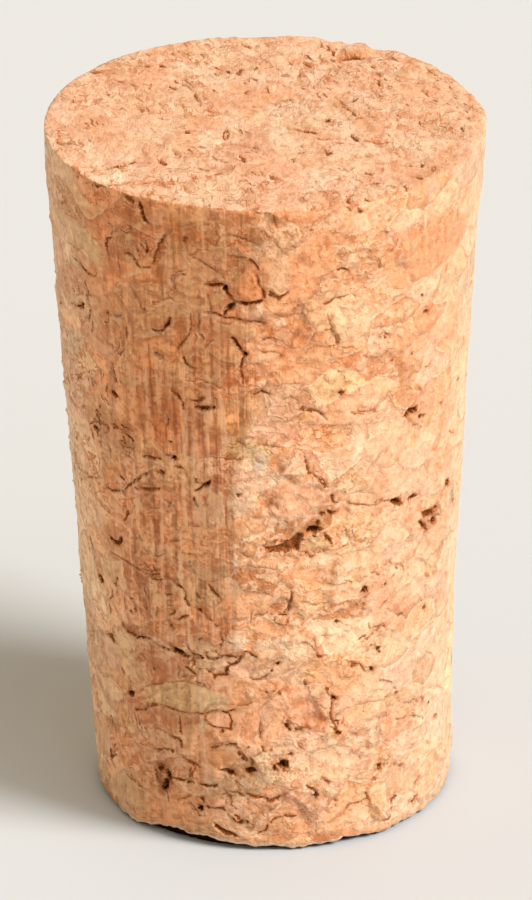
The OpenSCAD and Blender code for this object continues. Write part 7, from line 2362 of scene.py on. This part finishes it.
# each granule's near edge catches the light, and shades the one it lies on
g_show = mul(ramp(add(open_g, mul(n_coarse, 0.35)), 0.22, 0.80), sub(1.0, mul(top_n, 0.8)))
g_back = mul(g_edge, -1.0)
g_under = mul(mul(ramp(g_back, 0.0, 0.05), sub(1.0, ramp(g_back, 0.06, 0.48))), g_show)
g_brow = mul(mul(ramp(g_edge, 0.0, 0.05), sub(1.0, ramp(g_edge, 0.07, 0.28))), g_show)
body = blend_col(mul(g_under, 0.40), body, (0.50, 0.160, 0.046))
body = blend_col(mul(g_brow, 0.46), body, (0.97, 0.72, 0.50))
# creases and thin outlines: winding lines that come and go
g_open = ramp(add(open_g, mul(n_coarse, 0.55)), 0.45, 0.95)
g_line = mul(sub(1.0, ramp(calc("ABSOLUTE", add(border_d, mul(rag, 1.5))), 0.010, 0.095)), mul(g_open, sub(0.80, mul(add(top_n, mul(stria_n, 0.4)), 0.40))))
f_open = ramp(add(open_f, mul(n_coarse, 0.45)), 0.60, 1.0)
f_line = mul(sub(1.0, ramp(calc("ABSOLUTE", f_edge), 0.008, 0.070)), mul(mul(f_open, torn_n), sub(0.44, mul(calm_n, 0.22))))
line = mul(calc("MAXIMUM", g_line, f_line), ramp(n_mid, -0.9, 0.5, 0.35, 1.0))
body = blend_col(mul(line, 0.76), body, (0.50, 0.155, 0.042))
# a painted highlight: a pale lip beside the open ones, also raised a little in the relief
lip_n = mul(mul(ramp(f_edge, 0.03, 0.09), sub(1.0, ramp(f_edge, 0.09, 0.24))), mul(mul(f_open, torn_n), sub(0.50, mul(calm_n, 0.20))))
body = blend_col(lip_n, body, (0.97, 0.71, 0.48))

# the blade's marks on the smooth side
rub = fine(join(mul(roll_u, 2.6), mul(roll_z, 0.16), 0.0), 1.0, 2, 0.62)
rub_low = ramp(add(n_coarse, m1), -1.1, 0.7, 0.45, 1.25)
rub_all = mul(mul(rub, add(stria_n, mul(calm_n, 0.16))), rub_low)
body = vmath("SCALE", body, scale=add(1.0, mul(rub_all, 0.50)))
body = blend_col(mul(ramp(rub_all, 0.12, 0.65), 0.74), body, (0.96, 0.69, 0.49))
body = blend_col(mul(ramp(rub_all, -0.15, -0.70), 0.46), body, (0.45, 0.145, 0.042))
scr, _, _ = split(attr("scratch"))
scr = mul(scr, ramp(add(rub, n_coarse), -0.9, 0.9, 0.20, 1.0))
body = blend_col(mul(scr, 0.86), body, (0.96, 0.74, 0.55))
# painted shade on the front-left side and along the bottom edge
body = blend_col(mul(painted_shade_n, add(0.82, mul(m2, 0.14))), body, vmath("MULTIPLY", body, (0.87, 0.645, 0.475)))

# little dark flecks, longer along than high
fleck_p = vmath("MULTIPLY", vmath("ADD", mm, vmath("SCALE", join(n_mid, n_fine, n_coarse), scale=0.06)), (1.0, 1.0, 1.9))
v = node("ShaderNodeTexVoronoi", voronoi_dimensions="3D", feature="F1")
put(v.inputs["Vector"], fleck_p)
v.inputs["Scale"].default_value = 1.9
v.inputs["Randomness"].default_value = 1.0
pr, pg, pb = split(v.outputs["Color"])
f_size = ramp(pr, 0.45, 1.0, 0.0, 0.20, "LINEAR")
fleck = mul(sub(1.0, ramp(v.outputs["Distance"], mul(f_size, 0.45), add(f_size, 0.03))), ramp(pr, 0.45, 0.55))
fleck = mul(fleck, ramp(pg, 0.0, 1.0, 0.20, 0.85))
v2 = node("ShaderNodeTexVoronoi", voronoi_dimensions="3D", feature="F1")
put(v2.inputs["Vector"], vmath("ADD", fleck_p, (13, 5, 8)))
v2.inputs["Scale"].default_value = 4.0
qr, qg, qb = split(v2.outputs["Color"])
q_size = ramp(qr, sub(0.50, mul(top_n, 0.35)), 1.0, 0.0, add(0.30, mul(top_n, 0.06)), "LINEAR")
fleck2 = mul(sub(1.0, ramp(v2.outputs["Distance"], mul(q_size, 0.3), add(q_size, 0.06))), ramp(qr, sub(0.50, mul(top_n, 0.35)), sub(0.58, mul(top_n, 0.35))))
fleck2 = mul(fleck2, ramp(qg, 0.0, 1.0, 0.12, 0.62))
flecks = calc("MAXIMUM", mul(fleck, 0.80), mul(fleck2, add(0.50, mul(top_n, 0.28))))
body = blend_col(dash, body, (0.60, 0.195, 0.058))
body = blend_col(flecks, body, vmath("SCALE", (0.40, 0.120, 0.032), scale=add(0.80, mul(top_n, 0.42))))

# colour factors by area; then painted shade: the slopes of the relief are made darker and warmer in colour than the
# faces between them
body = vmath("MULTIPLY", body, attr("tone"))
body = blend_col(mul(slope_shade_n, 0.62), body, vmath("MULTIPLY", body, (0.92, 0.680, 0.470)))

# pits and cracks
halo, dark, broad = None, None, None
comes = ramp(add(n_mid, mul(n_coarse, 0.6)), -0.80, 0.25, 0.28, 1.0)
crook = add(mul(n_coarse, 0.075), add(mul(n_mid, 0.060), mul(n_fine, 0.030)))
swell = ramp(add(n_mid, mul(n_coarse, 0.7)), -1.0, 0.9, 0.55, 1.45)
lit = None
for name in ("crack_1", "crack_2"):
    d, hw, k = split(attr(name))
    there = ramp(hw, 0.003, 0.016)
    hw = mul(hw, swell)
    d = add(d, crook)
    ad = calc("ABSOLUTE", d)
    live = mul(mul(there, calc("MAXIMUM", comes, ramp(k, 0.72, 1.0, 0.0, 0.85))), k)
    h = mul(sub(1.0, ramp(ad, mul(hw, 0.7), add(mul(hw, 1.3), 0.15))), live)
    c = mul(sub(1.0, ramp(ad, mul(hw, 0.30), add(mul(hw, 1.10), 0.022))), live)
    w = mul(mul(sub(1.0, ramp(ad, 0.06, 0.75)), mul(there, k)), ramp(d, -0.30, 0.10, 0.40, 1.0))
    below = mul(d, -1.0)
    l = mul(mul(ramp(below, add(hw, 0.02), add(hw, 0.09)), sub(1.0, ramp(below, add(hw, 0.10), add(hw, 0.27)))), mul(there, k))
    halo = h if halo is None else calc("MAXIMUM", halo, h)
    dark = c if dark is None else calc("MAXIMUM", dark, c)
    broad = w if broad is None else calc("MAXIMUM", broad, w)
    lit = l if lit is None else calc("MAXIMUM", lit, l)
ridge_d, ridge_hw, ridge_k = split(attr("ridge"))
ridge_d = add(ridge_d, mul(crook, 0.7))
ridge_a = calc("ABSOLUTE", ridge_d)
ridge_on = mul(mul(ramp(ridge_hw, 0.003, 0.016), ridge_k), ramp(add(n_mid, mul(n_coarse, 0.7)), -0.75, 0.45, 0.10, 1.0))
ridge_top = mul(sub(1.0, ramp(ridge_a, mul(ridge_hw, 0.45), add(ridge_hw, 0.045))), ridge_on)
ridge_b = mul(ridge_d, -1.0)
ridge_shade = mul(mul(ramp(ridge_b, mul(ridge_hw, 0.6), add(ridge_hw, 0.05)), sub(1.0, ramp(ridge_b, add(ridge_hw, 0.06), add(ridge_hw, 0.32)))), ridge_on)
dark = mul(dark, sub(1.0, mul(calm_n, 0.20)))
halo = mul(halo, sub(1.0, mul(calm_n, 0.25)))
pit_d, pit_k, pit_round = split(attr("pit"))
pd = add(pit_d, mul(rag, 1.5))
dark = calc("MAXIMUM", dark, mul(ramp(pd, -0.040, 0.050), mul(pit_k, add(0.86, add(mul(n_fine, 0.32), mul(ramp(n_mid, 0.10, 0.6), -0.36))))))
halo = calc("MAXIMUM", halo, mul(ramp(pd, -0.17, 0.03), mul(pit_k, 0.9)))
broad = calc("MAXIMUM", broad, mul(ramp(pd, -0.50, -0.05), pit_k))
broad = mul(broad, ramp(add(n_mid, mul(m1, 0.4)), -0.25, 0.65))
# painted shade beside cracks and round pits (broad, stronger above a crack, partly the brown the cork has round them),
# then a painted highlight on a crack's lower lip (lit)
body = blend_col(mul(broad, 0.66), body, (0.51, 0.155, 0.042))
body = blend_col(mul(mul(lit, ramp(n_mid, -0.6, 0.6, 0.25, 1.0)), 0.70), body, (0.97, 0.68, 0.43))
body = blend_col(mul(halo, 0.64), body, (0.46, 0.132, 0.030))
# raised lines: painted shade along one side, painted highlight on top
body = blend_col(mul(ridge_shade, 0.66), body, (0.46, 0.140, 0.038))
body = blend_col(mul(ridge_top, 0.72), body, (0.94, 0.660, 0.420))
dark = mul(dark, sub(1.0, mul(torn_n, 0.13)))
body = blend_col(mul(ramp(add(lip_e, mul(rag, 1.6)), 0.30, 0.72), 0.66), body, (0.84, 0.72, 0.56))
# painted contact shadow under the small end's edge, taken into the darkness of cracks and pits
dark = calc("MAXIMUM", dark, ramp(add(contact_shadow_n, mul(rag, 2.0)), 0.42, 0.60))
deep = node("ShaderNodeValToRGB")
deep.color_ramp.elements[0].position, deep.color_ramp.elements[0].color = 0.25, (0.46, 0.135, 0.032, 1)
deep.color_ramp.elements[1].position, deep.color_ramp.elements[1].color = 0.96, (0.018, 0.007, 0.003, 1)
mid_stop = deep.color_ramp.elements.new(0.68)
mid_stop.color = (0.215, 0.055, 0.010, 1)
put(deep.inputs[0], dark)
body = blend_col(ramp(dark, 0.05, 0.42), body, deep.outputs["Color"])
# relief finer than the mesh, in millimetres
height = add(mul(n_fine, add(0.005, mul(top_n, 0.009))), mul(m2, add(0.010, mul(torn_n, 0.017))))
height = add(height, mul(n_mid, add(0.006, add(mul(torn_n, 0.009), mul(top_n, 0.015)))))
height = add(height, mul(rub_all, 0.030))
height = add(height, mul(mul(wr, wrinkle_n), sub(0.042, mul(torn_n, 0.016))))
height = add(height, mul(ridge_top, 0.045))
height = add(height, mul(mul(layers, torn_n), 0.010))
height = sub(height, mul(line, 0.022))
height = add(height, mul(lip_n, 0.030))
height = sub(height, mul(dark, 0.07))
bump = node("ShaderNodeBump")
bump.inputs["Strength"].default_value = 1.0
bump.inputs["Distance"].default_value = 0.001
put(bump.inputs["Height"], height)

bsdf = node("ShaderNodeBsdfPrincipled")
put(bsdf.inputs["Base Color"], body)
put(bsdf.inputs["Roughness"], add(0.72, add(mul(n_fine, 0.05), mul(dark, 0.18))))
deepness = calc("MAXIMUM", calc("MAXIMUM", dark, mul(halo, 0.9)), calc("MAXIMUM", mul(broad, 0.5), calc("MAXIMUM", mul(hollow, 0.8), mul(flecks, 0.9))))
put(bsdf.inputs["Specular IOR Level"], mul(0.26, sub(1.0, deepness)))
put(bsdf.inputs["Sheen Weight"], mul(0.35, sub(1.0, deepness)))
bsdf.inputs["Sheen Roughness"].default_value = 0.45
bsdf.inputs["Sheen Tint"].default_value = (1.0, 0.83, 0.63, 1)
put(bsdf.inputs["Normal"], bump.outputs["Normal"])
out = node("ShaderNodeOutputMaterial")
put(out.inputs["Surface"], bsdf.outputs["BSDF"])
mesh.materials.append(cork)

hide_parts("stopper")
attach(stopper, "root")

# ---------------------------------------------------------------------------
# Floor, light, camera
# ---------------------------------------------------------------------------
def plain(name, colour, rough):
    mat = bpy.data.materials.new(name)
    mat.use_nodes = True
    b = mat.node_tree.nodes["Principled BSDF"]
    b.inputs["Base Color"].default_value = (*colour, 1)
    b.inputs["Roughness"].default_value = rough
    b.inputs["Specular IOR Level"].default_value = 0.2
    return mat


floor_mesh = bpy.data.meshes.new("floor")
floor_mesh.from_pydata([(-6, -6, 0), (6, -6, 0), (6, 6, 0), (-6, 6, 0)], [], [(0, 1, 2, 3)])
floor = bpy.data.objects.new("floor", floor_mesh)
floor.location.z = -0.00002
bpy.context.scene.collection.objects.link(floor)
floor_mesh.materials.append(plain("pale_floor", (0.718, 0.728, 0.738), 0.9))


def sun(name, round_deg, up_deg, strength, colour, size_deg):
    lamp = bpy.data.lights.new(name, "SUN")
    lamp.energy, lamp.color, lamp.angle = strength, colour, math.radians(size_deg)
    o = bpy.data.objects.new(name, lamp)
    a, e = math.radians(round_deg), math.radians(up_deg)
    toward = Vector((math.sin(a) * math.cos(e), -math.cos(a) * math.cos(e), math.sin(e)))
    o.rotation_euler = (-toward).to_track_quat("-Z", "Y").to_euler()
    o.location = toward * 2
    bpy.context.scene.collection.objects.link(o)
    return o


sun("window_light", 63, 40, 2.96, (1.015, 1.0, 0.985), 22)
sun("second_light", 48, 45, 0.72, (0.975, 1.0, 1.045), 60)

world = bpy.data.worlds.new("room")
bpy.context.scene.world = world
world.use_nodes = True
wt = world.node_tree
wt.nodes.clear()
# a soft warm room, lighter towards the back left, where the wall is
fill = wt.nodes.new("ShaderNodeBackground")
fill.inputs["Color"].default_value = (0.44, 0.385, 0.290, 1)
where = wt.nodes.new("ShaderNodeTexCoord")
lean_dot = wt.nodes.new("ShaderNodeVectorMath")
lean_dot.operation = "DOT_PRODUCT"
lean_dot.inputs[1].default_value = (-0.88, 0.47, 0.0)
wt.links.new(where.outputs["Generated"], lean_dot.inputs[0])
lean_mul = wt.nodes.new("ShaderNodeMath")
lean_mul.operation = "MULTIPLY_ADD"
lean_mul.inputs[1].default_value = 0.90
lean_mul.inputs[2].default_value = 0.96
wt.links.new(lean_dot.outputs["Value"], lean_mul.inputs[0])
wt.links.new(lean_mul.outputs[0], fill.inputs["Strength"])
seen = wt.nodes.new("ShaderNodeBackground")
seen.inputs["Color"].default_value = (0.85, 0.82, 0.765, 1)
seen.inputs["Strength"].default_value = 1.0
path = wt.nodes.new("ShaderNodeLightPath")
pickm = wt.nodes.new("ShaderNodeMixShader")
wo = wt.nodes.new("ShaderNodeOutputWorld")
wt.links.new(path.outputs["Is Camera Ray"], pickm.inputs[0])
wt.links.new(fill.outputs[0], pickm.inputs[1])
wt.links.new(seen.outputs[0], pickm.inputs[2])
wt.links.new(pickm.outputs[0], wo.inputs["Surface"])

F_PX, EL, ROLL = 8973.6, math.radians(25.783), math.radians(-0.863)
T_X, T_Y, DIST = 2.523, 16.501, 500.0
back = Vector((0, -math.cos(EL), math.sin(EL)))
eye = Vector((0, 0, 19)) + back * DIST
right = Vector((1, 0, 0))
fwd = -back
up = right.cross(fwd)
r2 = right * math.cos(ROLL) + up * math.sin(ROLL)
u2 = -right * math.sin(ROLL) + up * math.cos(ROLL)
look = (fwd - r2 * (T_X / F_PX) + u2 * (T_Y / F_PX)).normalized()
side = look.cross(u2).normalized()
top_dir = side.cross(look).normalized()
cam_data = bpy.data.cameras.new("camera")
cam_data.sensor_fit = "VERTICAL"
cam_data.sensor_height = 36.0
cam_data.sensor_width = 36.0
cam_data.lens = F_PX / 900.0 * 36.0
cam_data.clip_start, cam_data.clip_end = 0.02, 100.0
cam = bpy.data.objects.new("camera", cam_data)
rot = Matrix((side, top_dir, -look)).transposed().to_4x4()
cam.matrix_world = Matrix.Translation((eye * K + Vector((SHIFT_X, 0, 0))) * 0.001) @ rot
bpy.context.scene.collection.objects.link(cam)
bpy.context.scene.camera = cam

scene = bpy.context.scene
scene.view_settings.view_transform = "Standard"
scene.view_settings.look = "None"
scene.cycles.use_denoising = True
scene.cycles.max_bounces = 4
scene.cycles.diffuse_bounces = 1

bpy.context.view_layer.update()
